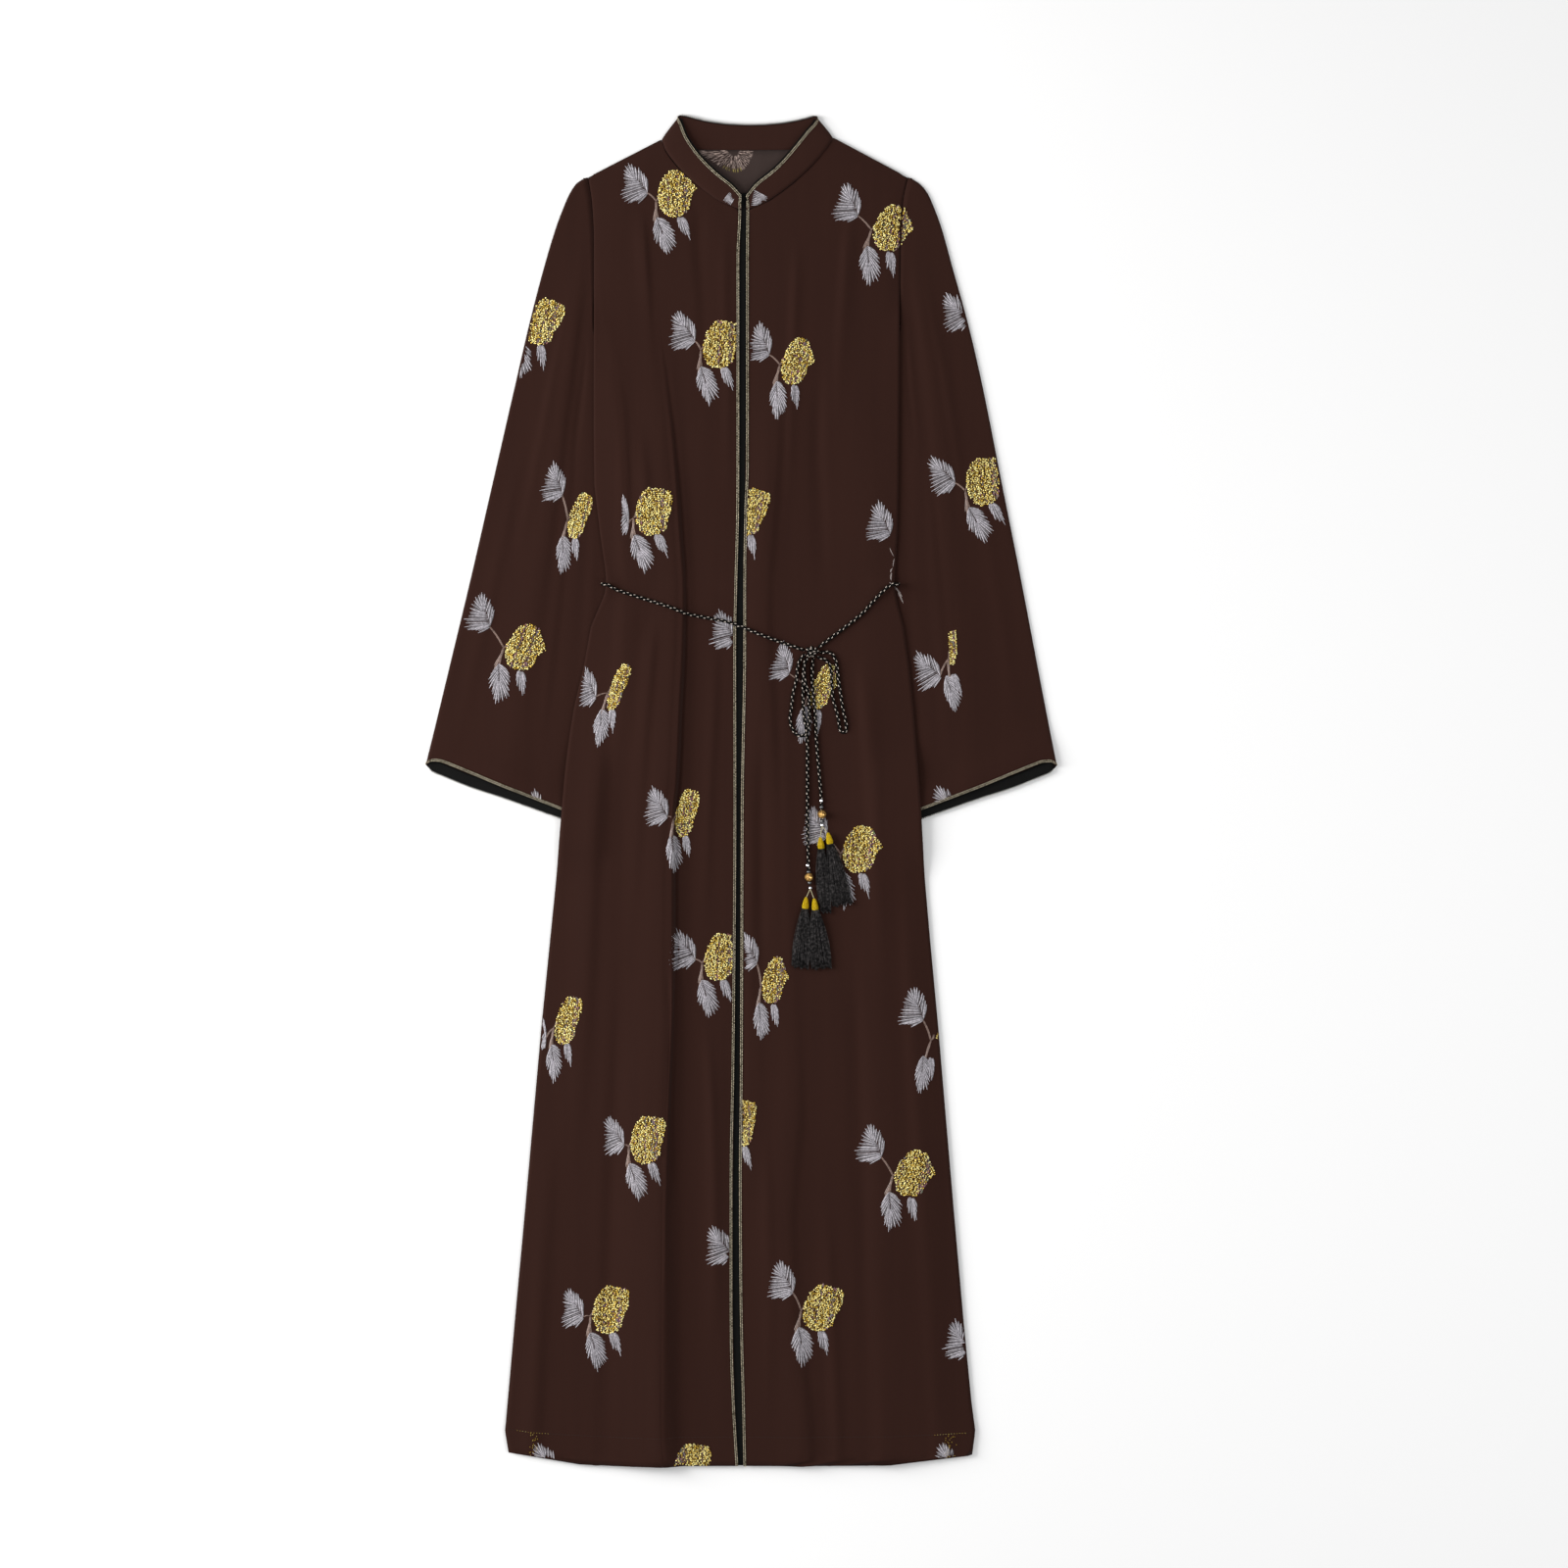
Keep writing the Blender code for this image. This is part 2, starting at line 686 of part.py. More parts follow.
def fold_height(side, x, down):
    total = 0.0
    for fold in FOLDS[side]:
        offset = x - smooth_value(fold["rows"], 1, down)
        height = smooth_value(fold["rows"], 2, down)
        if offset <= 0:
            total += height * math.exp(-((offset / fold["before"]) ** 2))
        else:
            total += height * (1.0 - smoothstep(offset / fold["after"]))
    return total


def shoulder_down(side, x):
    neck_x, neck_down = NECK_ROWS[side][0][1:]
    tip_x, tip_down = side_x(side, 0.0), SIDE_EDGES[0][0]
    return neck_down + (tip_down - neck_down) * (x - neck_x) / (tip_x - neck_x)


def front_under(side, x, down):
    """The underside of a front: clear of the back and the tape, lofted, with its long folds."""
    from_side = max(0.0, side * (side_x(side, down) - x))
    from_shoulder = max(0.0, down - shoulder_down(side, x))
    rise = 1.0 - math.exp(-from_side / SIDE_RISE)
    rise *= 1.0 - math.exp(-from_shoulder / SHOULDER_RISE)
    form = CLOTH + LAID_GAP + (LOFT + fold_height(side, x, down)) * rise
    middle = (braid_x(RIGHT, down) + braid_x(LEFT, down)) / 2
    over_tape = 1.0 - smoothstep((abs(x - middle) - TAPE_REACH) / TAPE_EASE)
    stack = back_under(x, down) + CLOTH + LAID_GAP + 2 * hem_extra(down)
    stack += over_tape * (FACING + SEAM_GAP + TAPE_CLEAR)
    return 0.5 * (form + stack + math.sqrt((form - stack) ** 2 + SUPPORT_BLEND**2))


def fill(start, end, count):
    """Evenly spaced values between two others."""
    return [start + (end - start) * (i + 1) / (count + 1) for i in range(count)]


def front_columns(side, side_edge, front_edge, down):
    """The x of each column of a row, from the side edge to the front edge."""
    ramp = ramp_columns(side, max(down, ARMHOLE_LEAVES_EDGE))
    scale = (front_edge - side_edge) / (front_edge_x(side, max(down, 0.103)) - side_x(side, down))
    ramp = [side_edge + (x - side_x(side, down)) * scale for x in ramp]
    fold = FOLDS[side][1]
    low, high = FOLD_SHARES[side]
    crest = smooth_value(fold["rows"], 1, down)
    share = min(high, max(low, (crest - side_edge) / (front_edge - side_edge)))
    crest = side_edge + (front_edge - side_edge) * share
    steep = fold["after"]
    if side == RIGHT:
        flank = [crest, crest + steep * 0.33, crest + steep * 0.67, crest + steep]
        middle = fill(ramp[-1], flank[0], 2) + flank + fill(flank[-1], front_edge, 3)
    else:
        flank = [crest + steep, crest + steep / 2, crest, crest - fold["before"] * 0.45]
        middle = fill(ramp[-1], flank[0], 2) + flank + fill(flank[-1], front_edge, 2)
    return [side_edge] + ramp + middle + [front_edge]


def front_rows(side):
    """Each row's two ends: x and down at the side, then x and down at the neck or front edge."""
    rows = []
    for side_down, neck_x, neck_down in NECK_ROWS[side]:
        rows.append((side_x(side, side_down), side_down, neck_x, neck_down))
    for down in BODY_DOWNS:
        side_down = 0.128 if down == BODY_DOWNS[0] else max(down, 0.140) if down < 0.150 else down
        rows.append((side_x(side, side_down), side_down, front_edge_x(side, down), down))
    return rows


def front_grid(side):
    grid = []
    for side_edge, side_down, front_edge, front_down in front_rows(side):
        line = []
        for x in front_columns(side, side_edge, front_edge, side_down):
            share = (x - side_edge) / (front_edge - side_edge)
            down = side_down + (front_down - side_down) * share
            line.append((x, with_hem(x, down), down))
        grid.append(line)
    return grid


def add_front(side, name, look):
    plan = front_grid(side)
    surface = [[place(x, down, front_under(side, x, level)) for x, down, level in row] for row in plan]
    normals = grid_normals(surface)
    under = []
    over = []
    for r, row in enumerate(plan):
        turned = [Vector((0, 0, hem_extra(level))) for x, down, level in row]
        under.append([surface[r][c] - turned[c] for c in range(len(row))])
        over.append([surface[r][c] + normals[r][c] * CLOTH for c in range(len(row))])
    return add_wall(name, under, over, look)


def back_top_down(share):
    """How far down the back's top edge lies at a share of the way across."""
    right_x, left_x = BACK_TOP_EDGE[0][0], BACK_TOP_EDGE[-1][0]
    x = right_x + (left_x - right_x) * share
    for (x0, down0), (x1, down1) in zip(BACK_TOP_EDGE, BACK_TOP_EDGE[1:]):
        if x <= x1 + 1e-9:
            return down0 + (down1 - down0) * (x - x0) / (x1 - x0)
    return BACK_TOP_EDGE[-1][1]


def back_grid():
    right_x, left_x = BACK_TOP_EDGE[0][0], BACK_TOP_EDGE[-1][0]
    top_down = BACK_TOP_EDGE[0][1]
    levels = [top_down, 0.079, 0.0924, 0.106, 0.119]
    levels += [down for down in BODY_DOWNS if down > 0.120 and down not in BACK_SKIPPED]
    settled = 0.150
    neck_marks = [(x - right_x) / (left_x - right_x) for x, down in BACK_TOP_EDGE]
    grid = []
    for level in levels:
        ends = side_x(RIGHT, level), side_x(LEFT, level)
        ramp_level = max(level, ARMHOLE_LEAVES_EDGE)
        right = [ends[0]] + ramp_columns(RIGHT, ramp_level)
        left = [ends[1]] + ramp_columns(LEFT, ramp_level)
        shares = [(x - ends[0]) / (ends[1] - ends[0]) for x in right]
        shares += neck_marks[3:-3]
        shares += [(x - ends[0]) / (ends[1] - ends[0]) for x in left[::-1]]
        keep = 1.0 - smoothstep((level - top_down) / (settled - top_down))
        line = []
        for share in shares:
            x = ends[0] + (ends[1] - ends[0]) * share
            down = level + (back_top_down(share) - top_down) * keep
            line.append((x, with_hem(x, down), down))
        grid.append(line)
    return grid


def add_back(name, look):
    plan = back_grid()
    under = [[place(x, down, back_under(x, level)) for x, down, level in row] for row in plan]
    over = [
        [under[r][c] + Vector((0, 0, CLOTH + hem_extra(level))) for c, (x, down, level) in enumerate(row)]
        for r, row in enumerate(plan)
    ]
    return add_wall(name, under, over, look)


def add_tape(name, look):
    """The black tape that joins the inner edges of the two fronts."""
    levels = [0.0850, 0.0940] + [down for down in BODY_DOWNS if down < 1.45] + [LENGTH - 0.0006]
    under = []
    over = []
    for down in levels:
        middle = (braid_x(RIGHT, down) + braid_x(LEFT, down)) / 2
        xs = [middle + TAPE_WIDTH * share for share in (-0.5, 0.0, 0.5)]
        heights = [front_under(side, x, down) for side, x in ((RIGHT, xs[0]), (LEFT, xs[2]))]
        heights += [front_under(side, front_edge_x(side, down), down) for side in (RIGHT, LEFT)]
        top = min(heights) - SEAM_GAP - hem_extra(down) - 0.00005
        over.append([place(x, down, top) for x in xs])
        under.append([place(x, down, top - FACING) for x in xs])
    return add_wall(name, under, over, look)


# The sleeves: flattened tubes, open at the armhole and at the cuff


def armhole_point(side, share):
    """The armhole seam, from the shoulder tip to the underarm: beside the front, then under it."""
    top_down = SIDE_EDGES[0][0] - 0.0002
    arm_x, arm_down = UNDERARM[side]
    down = top_down + (arm_down - top_down) * share
    clear = side * (SEAM_GAP + SEAM_CLEAR)
    if down <= ARMHOLE_LEAVES_EDGE:
        return side_x(side, down) + clear, down
    return sleeve_inner_x(side, down) + clear, down


def sleeve_plan(side, share, row, wall):
    """Plan position on the sleeve: share across from the outer edge, row 0 armhole to 1 cuff."""
    outer_x, outer_down = point_along(SLEEVE_OUTER[side], row)
    inner = (UNDERARM[side], CUFF_INNER[side])
    inner_x = inner[0][0] + (inner[1][0] - inner[0][0]) * row
    inner_down = inner[0][1] + (inner[1][1] - inner[0][1]) * row
    x = outer_x + (inner_x - outer_x) * share
    down = outer_down + (inner_down - outer_down) * share
    arm_x, arm_down = armhole_point(side, share)
    top_x, top_down = SLEEVE_OUTER[side][0]
    straight_x = top_x + (UNDERARM[side][0] - top_x) * share
    straight_down = top_down + (UNDERARM[side][1] - top_down) * share
    keep = (1.0 - row) ** ARMHOLE_BEND
    x += (arm_x - straight_x) * keep
    down += (arm_down - straight_down) * keep
    down += smooth_value(CUFF_EDGES, 1 if wall == "front" else 2, share) * row**CUFF_BEND
    return x, down


def sleeve_width(side, row):
    outer = point_along(SLEEVE_OUTER[side], row)
    inner_x = UNDERARM[side][0] + (CUFF_INNER[side][0] - UNDERARM[side][0]) * row
    inner_down = UNDERARM[side][1] + (CUFF_INNER[side][1] - UNDERARM[side][1]) * row
    return math.dist(outer, (inner_x, inner_down))


def sleeve_lift(row):
    """The back wall's underside: flat on the surface, then up over the braid at the cuff."""
    return CUFF_LIFT * smoothstep((row - CUFF_LIFT_AT) / CUFF_LIFT_OVER)


def wall_gap(row):
    """The least space between the sleeve's two walls, wider at the open cuff."""
    return SLEEVE_GAP + (CUFF_GAP - SLEEVE_GAP) * smoothstep((row - CUFF_OPENS_AT) / CUFF_OPENS_OVER)


def sleeve_hollow(side, share, row):
    """The space between the two walls, with the sleeve's long folds."""
    hollow = wall_gap(row)
    near_edge = smoothstep(share / OUTER_EDGE_SHARE)
    near_edge *= smoothstep((INNER_EDGE_START - share) / INNER_EDGE_SHARE)
    near_ends = smoothstep(row / ARMHOLE_SHARE)
    width = sleeve_width(side, row)
    for top, cuff, before, after, high, middle, low in SLEEVE_FOLDS[side]:
        crest = top + (cuff - top) * row
        height = smooth_value(((0.0, high), (0.5, middle), (1.0, low)), 1, row)
        offset = (share - crest) * width
        reach = before if offset < 0 else after
        hollow += height * math.exp(-((offset / reach) ** 2)) * near_edge * near_ends
    return hollow


def sleeve_ring(side, row, outset=0.0, inside=False):
    """The points round the sleeve at one row, on its outer or inner face, moved out if asked."""
    skin = CLOTH if inside else -outset
    lift = sleeve_lift(row)
    outward = Vector((side, 0, 0))
    middle = lift + CLOTH + wall_gap(row) / 2
    ring = [place(*sleeve_plan(side, 0.0, row, "front"), middle) - outward * skin]
    for share in SLEEVE_FRONT_SHARES:
        top = lift + 2 * CLOTH + sleeve_hollow(side, share, row)
        ring.append(place(*sleeve_plan(side, share, row, "front"), top - skin))
    ring.append(place(*sleeve_plan(side, 1.0, row, "front"), middle) + outward * skin)
    for share in SLEEVE_BACK_SHARES:
        ring.append(place(*sleeve_plan(side, share, row, "back"), lift + skin))
    return ring


def add_sleeve(side, name, look):
    rows = SLEEVE_ROWS
    count = len(sleeve_ring(side, 0.0))
    outer = [sleeve_ring(side, row) for row in rows]
    inner = [sleeve_ring(side, row, inside=True) for row in rows]
    points = [point for ring in outer + inner for point in ring]
    shift = len(rows) * count
    faces = []
    for r in range(len(rows) - 1):
        for k in range(count):
            m = (k + 1) % count
            for start in (0, shift):
                near, far = start + r * count, start + (r + 1) * count
                faces.append((near + k, far + k, far + m, near + m))
    for r in (0, len(rows) - 1):
        for k in range(count):
            m = (k + 1) % count
            faces.append((r * count + k, r * count + m, shift + r * count + m, shift + r * count + k))
    return add_solid(name, points, faces, look)


def add_cuff_braid(side, name, look):
    """The braid round the cuff, made from the sleeve's outer points, moved out."""
    low_in = sleeve_ring(side, 1.0, outset=SEAM_GAP)
    low_out = sleeve_ring(side, 1.0, outset=BRAID_STACK)
    above = sleeve_ring(side, CUFF_BRAID_TOP, outset=SEAM_GAP)
    above_out = sleeve_ring(side, CUFF_BRAID_TOP, outset=BRAID_STACK)
    sections = []
    for k, point in enumerate(low_in):
        up = (above[k] - point).normalized() * BRAID_WIDTH
        up_out = (above_out[k] - low_out[k]).normalized() * BRAID_WIDTH
        sections.append((point, low_out[k], low_out[k] + up_out, point + up))
    return add_strip(name, sections, look, closed=True)


def add_cuff_facing(side, name, look):
    """The black facing inside the longer back layer of the cuff."""
    under = []
    for depth in CUFF_FACING_DEPTHS:
        line = []
        for share in CUFF_FACING_SHARES:
            low = place(*sleeve_plan(side, share, 1.0, "back"), 0.0)
            high = place(*sleeve_plan(side, share, CUFF_FACING_TOP, "back"), 0.0)
            row = 1.0 - (1.0 - CUFF_FACING_TOP) * depth / (high - low).length
            point = low + (high - low).normalized() * depth
            point.z = sleeve_lift(row) + CLOTH + SEAM_GAP
            line.append(point)
        under.append(line)
    over = [[point + Vector((0, 0, FACING)) for point in row] for row in under]
    return add_wall(name, under, over, look)


# The stand collar: one strip that turns over at each side of the neck


def collar_sections():
    """Rows of (seam point, top point, outward direction) on the collar's outer face."""
    rows = []
    last = len(COLLAR_ROWS) - 1
    keyed = [(float(i), *row) for i, row in enumerate(COLLAR_ROWS)]
    for step in range(last * COLLAR_STEPS + 1):
        at = step / COLLAR_STEPS
        seam_x, seam_down, top_x, top_down, turn = (smooth_value(keyed, c, at) for c in range(1, 6))
        corner = keyed[COLLAR_FOLD_ROWS[0 if at < last / 2 else 1]]
        from_fold = math.dist((seam_x, seam_down), corner[1:3])
        front_inner = COLLAR_LOW + COLLAR_RISE * (1.0 - math.exp(-from_fold / COLLAR_RISE_OVER))
        seam_front = front_inner + COLLAR_CLOTH
        top_front = front_inner + COLLAR_TOP_RISE + COLLAR_CLOTH
        seam_z = seam_front * (1.0 - turn)
        top_z = top_front * (1.0 - turn) + (CUFF_LIFT + SEAM_GAP) * turn
        side = -1.0 if at < last / 2 else 1.0
        angle = math.pi * turn
        sideways = side * math.sin(angle)
        outward = Vector((sideways, COLLAR_TILT * math.sin(angle), math.cos(angle))).normalized()
        rows.append((place(seam_x, seam_down, seam_z), place(top_x, top_down, top_z), outward))
    return rows


def add_collar(name, look):
    sections = []
    for seam, top, outward in collar_sections():
        middle = (seam + top) / 2
        inward = outward * COLLAR_CLOTH
        sections.append((seam, middle, top, top - inward, middle - inward, seam - inward))
    return add_strip(name, sections, look)


def braid_section(edge, within, outward):
    return (
        edge + outward * SEAM_GAP,
        edge + outward * BRAID_STACK,
        within + outward * BRAID_STACK,
        within + outward * SEAM_GAP,
    )


def add_edge_braid(name, height, look):
    """One beaded braid: up the right front edge, round the collar and down the left front edge."""
    up = Vector((0, 0, 1))
    collar = collar_sections()

    def front_sections(side):
        found = []
        for down in BODY_DOWNS:
            starts = down == BODY_DOWNS[0]
            level = BRAID_START if starts else min(down, LENGTH - SEAM_GAP)
            edge_x = front_edge_x(side, down)
            inner_x = edge_x + side * BRAID_WIDTH
            y = LENGTH / 2 - level
            z = max(height(edge_x + side * share * BRAID_WIDTH, y) for share in (0.05, 0.5, 1.0))
            if starts:
                z = max(z, collar[0][0].z, collar[-1][0].z)
            found.append(braid_section(place(edge_x, level, z), place(inner_x, level, z), up))
        return found

    sections = front_sections(RIGHT)[::-1]
    for i, (seam, top, outward) in enumerate(collar):
        if i in (0, len(collar) - 1):
            side = RIGHT if i == 0 else LEFT
            inner = Vector((side * BRAID_WIDTH, 0, 0))
            low = seam + Vector((0, THROAT_RISE, 0))
            corner = top + Vector((side * BRAID_WIDTH, -THROAT_DROP, 0))
            pair = [braid_section(low, low + inner, outward), braid_section(top, corner, outward)]
            sections += pair if i == 0 else pair[::-1]
            continue
        within = top + (seam - top).normalized() * BRAID_WIDTH
        sections.append(braid_section(top, within, outward))
    sections += front_sections(LEFT)
    return add_strip(name, sections, look)


# The belt and what hangs on it


def surface_under(solids):
    """A function that gives the height of what lies at a place."""
    trees = []
    for solid in solids:
        mesh = solid.data
        trees.append(
            BVHTree.FromPolygons([v.co for v in mesh.vertices], [p.vertices[:] for p in mesh.polygons])
        )

    def height(x, y):
        best = 0.0
        for tree in trees:
            hit = tree.ray_cast(Vector((x, y, 0.1)), Vector((0, 0, -1)))[0]
            if hit is not None:
                best = max(best, hit.z)
        return best

    return height


def height_within(height, x, y, reach):
    best = height(x, y)
    for ring in (0.5, 1.0):
        for k in range(8):
            angle = k * math.pi / 4
            at_x = x + ring * reach * math.cos(angle)
            at_y = y + ring * reach * math.sin(angle)
            best = max(best, height(at_x, at_y))
    return best


def laid_route(route, height, radius, spacing, crossed=()):
    """Points of a cord that lies on what is under it: a smooth curve through the route's points."""
    rows = measured(route)
    count = max(2, round(rows[-1][0] / spacing))
    finer = 5
    plan = []
    floor = []
    for i in range(count * finer + 1):
        at = rows[-1][0] * i / (count * finer)
        x, y = smooth_value(rows, 1, at), LENGTH / 2 - smooth_value(rows, 2, at)
        plan.append((x, y))
        under = height_within(height, x, y, radius + 0.0006)
        for cord in crossed:
            for start, end in zip(cord, cord[1:]):
                along = (end - start).xy
                share = (Vector((x, y)) - start.xy).dot(along) / along.length_squared
                near = start.lerp(end, min(1.0, max(0.0, share)))
                if (near.xy - Vector((x, y))).length < 2 * radius + 0.0006:
                    under = max(under, near.z + radius)
        floor.append(under)
    fine_step = rows[-1][0] / (count * finer)
    heights = []
    for i in range(count + 1):
        reach = [low - CORD_SLOPE * fine_step * abs(k - i * finer) for k, low in enumerate(floor)]
        heights.append(max(reach))
    for sweep in range(4):
        for k, low in enumerate(floor[:-1]):
            i, share = k // finer, (k % finer) / finer
            short = low - (heights[i] * (1 - share) + heights[i + 1] * share)
            if short > 0:
                weight = (1 - share) ** 2 + share**2
                heights[i] += short * (1 - share) / weight
                heights[i + 1] += short * share / weight
    points = []
    for i in range(count + 1):
        x, y = plan[i * finer]
        points.append(Vector((x, y, heights[i] + radius + SEAM_GAP)))
    return points


def add_cord(name, points, radius, look):
    curve = bpy.data.curves.new(name, "CURVE")
    curve.dimensions = "3D"
    curve.bevel_depth = radius
    curve.bevel_resolution = 2
    curve.use_fill_caps = True
    spline = curve.splines.new("POLY")
    spline.points.add(len(points) - 1)
    for spline_point, point in zip(spline.points, points):
        spline_point.co = (*point, 1.0)
    curve.materials.append(look)
    cord = bpy.data.objects.new(name, curve)
    bpy.context.scene.collection.objects.link(cord)
    return cord


def belt_turn(side, high):
    """The belt round one side edge, from on top of the front to under the back."""
    edge = side_x(side, BELT_BACK_DOWN) + side * 0.0004
    low = SLEEVE_STACK + SEAM_GAP + BELT_RADIUS
    bend = (high - low) / 2
    turn = []
    for degrees in (90, 60, 30, 0, -30, -60, -90):
        angle = math.radians(degrees)
        x = edge + side * bend * math.cos(angle)
        turn.append(place(x, BELT_BACK_DOWN, (high + low) / 2 + bend * math.sin(angle)))
    return turn


def add_belt(name, height, look):
    right = laid_route(BELT_RIGHT_ROUTE, height, BELT_RADIUS, 0.0125)
    left = laid_route(BELT_LEFT_ROUTE, height, BELT_RADIUS, 0.0120)
    right_turn = belt_turn(RIGHT, max(right[0].z, BELT_EDGE_HEIGHT))
    left_turn = belt_turn(LEFT, max(left[-1].z, BELT_EDGE_HEIGHT))
    xs = ramp_columns(RIGHT, BELT_BACK_DOWN)
    other = ramp_columns(LEFT, BELT_BACK_DOWN)[::-1]
    xs = xs + fill(xs[-1], other[0], 14) + other
    hidden = []
    for x in xs:
        lift = belt_lift(side_of(x, BELT_BACK_DOWN), x)
        hidden.append(place(x, BELT_BACK_DOWN, lift + BELT_RADIUS))
    points = right[::-1] + right_turn + hidden + left_turn[::-1] + left[::-1]
    add_cord(name, points, BELT_RADIUS, look)
    return points


def add_ball(name, centre, radii, segments, rings, look, smooth):
    shape = bmesh.new()
    bmesh.ops.create_uvsphere(shape, u_segments=segments, v_segments=rings, radius=1.0)
    mesh = bpy.data.meshes.new(name)
    for vertex in shape.verts:
        vertex.co = centre + Vector([vertex.co[i] * radii[i] for i in range(3)])
    shape.to_mesh(mesh)
    shape.free()
    if smooth:
        mesh.shade_smooth()
    mesh.materials.append(look)
    ball = bpy.data.objects.new(name, mesh)
    bpy.context.scene.collection.objects.link(ball)
    return ball


def add_tassel(name, sizes, height, cap_look, strand_look):
    """A wrapped cap with strands that fan out from its open end, lying on the cloth."""
    top_x, top_down, tip_x, tip_down, spread = sizes
    start = place(top_x, top_down, 0.0)
    end = place(tip_x, tip_down, 0.0)
    axis = (end - start).normalized()
    across = Vector((-axis.y, axis.x, 0))
    up = Vector((0, 0, 1))
    widest = max(radius for share, radius in CAP_PROFILE)

    def floor_at(share, half_width):
        middle = start.lerp(end, share).xy
        spots = [middle + across.xy * half_width * k / 3 for k in range(-3, 4)]
        return max(height_within(height, *spot, 0.0012) for spot in spots)

    cap_share = CAP_LENGTH / (end - start).length
    floor = max(floor_at(cap_share * share, widest) for share in (0.0, 0.5, 1.0, 1.5))
    tip_floor = 0.0
    for share in (0.25, 0.4, 0.55, 0.7, 0.85, 1.0):
        along = (share - cap_share) / (1.0 - cap_share)
        low = floor_at(share, widest + (spread - widest) * along)
        tip_floor = max(tip_floor, (low - floor * (1.0 - along)) / along)
    cap_centre = start + up * (floor + SEAM_GAP + widest)
    sections = []
    sides = 12
    for share, radius in CAP_PROFILE:
        middle = cap_centre + axis * share * CAP_LENGTH
        ring = []
        for k in range(sides):
            angle = 2 * math.pi * k / sides
            ring.append(middle + (across * math.cos(angle) + up * math.sin(angle)) * radius)
        sections.append(ring)
    cap = add_strip(name, sections, cap_look)

    columns = TASSEL_STRANDS // TASSEL_LAYERS
    root_centre = cap_centre + axis * (CAP_LENGTH - 0.0012)
    length = (end - start).length - CAP_LENGTH
    points = []
    faces = []
    for layer in range(TASSEL_LAYERS):
        level = layer / (TASSEL_LAYERS - 1) - 0.5
        for column in range(columns):
            place_across = (column + 0.25 + 0.5 * (layer % 2)) / columns - 0.5
            narrow = math.sqrt(1.0 - (level * 1.25) ** 2)
            root = root_centre + across * place_across * TASSEL_ROOT_WIDTH * narrow
            root += up * level * TASSEL_ROOT_HEIGHT
            uneven = STRAND_UNEVENNESS * math.sin(7.0 * column + 3.0 * layer)
            tip = root_centre + axis * (length + uneven) + across * 2 * spread * place_across
            tip.z = tip_floor + SEAM_GAP + LAID_GAP + (level + 0.5) * TASSEL_TIP_HEIGHT
            first = len(points)
            for centre, radius in ((root, STRAND_ROOT_RADIUS), (tip, STRAND_TIP_RADIUS)):
                for k in range(3):
                    angle = 2 * math.pi * k / 3 + math.pi / 2
                    points.append(centre + (across * math.cos(angle) + up * math.sin(angle)) * radius)
            faces.append((first, first + 1, first + 2))
            faces.append((first + 3, first + 5, first + 4))
            for k in range(3):
                m = (k + 1) % 3
                faces.append((first + k, first + 3 + k, first + 3 + m, first + m))
    strands = add_solid(name + "_strands", points, faces, strand_look, smooth=False)
    strands.hide_render = True
    strands.display_type = "WIRE"
    fuse = cap.modifiers.new("Strands", "BOOLEAN")
    fuse.operation = "UNION"
    fuse.solver = "EXACT"
    fuse.object = strands
    cap.data.materials.append(strand_look)
    return cap


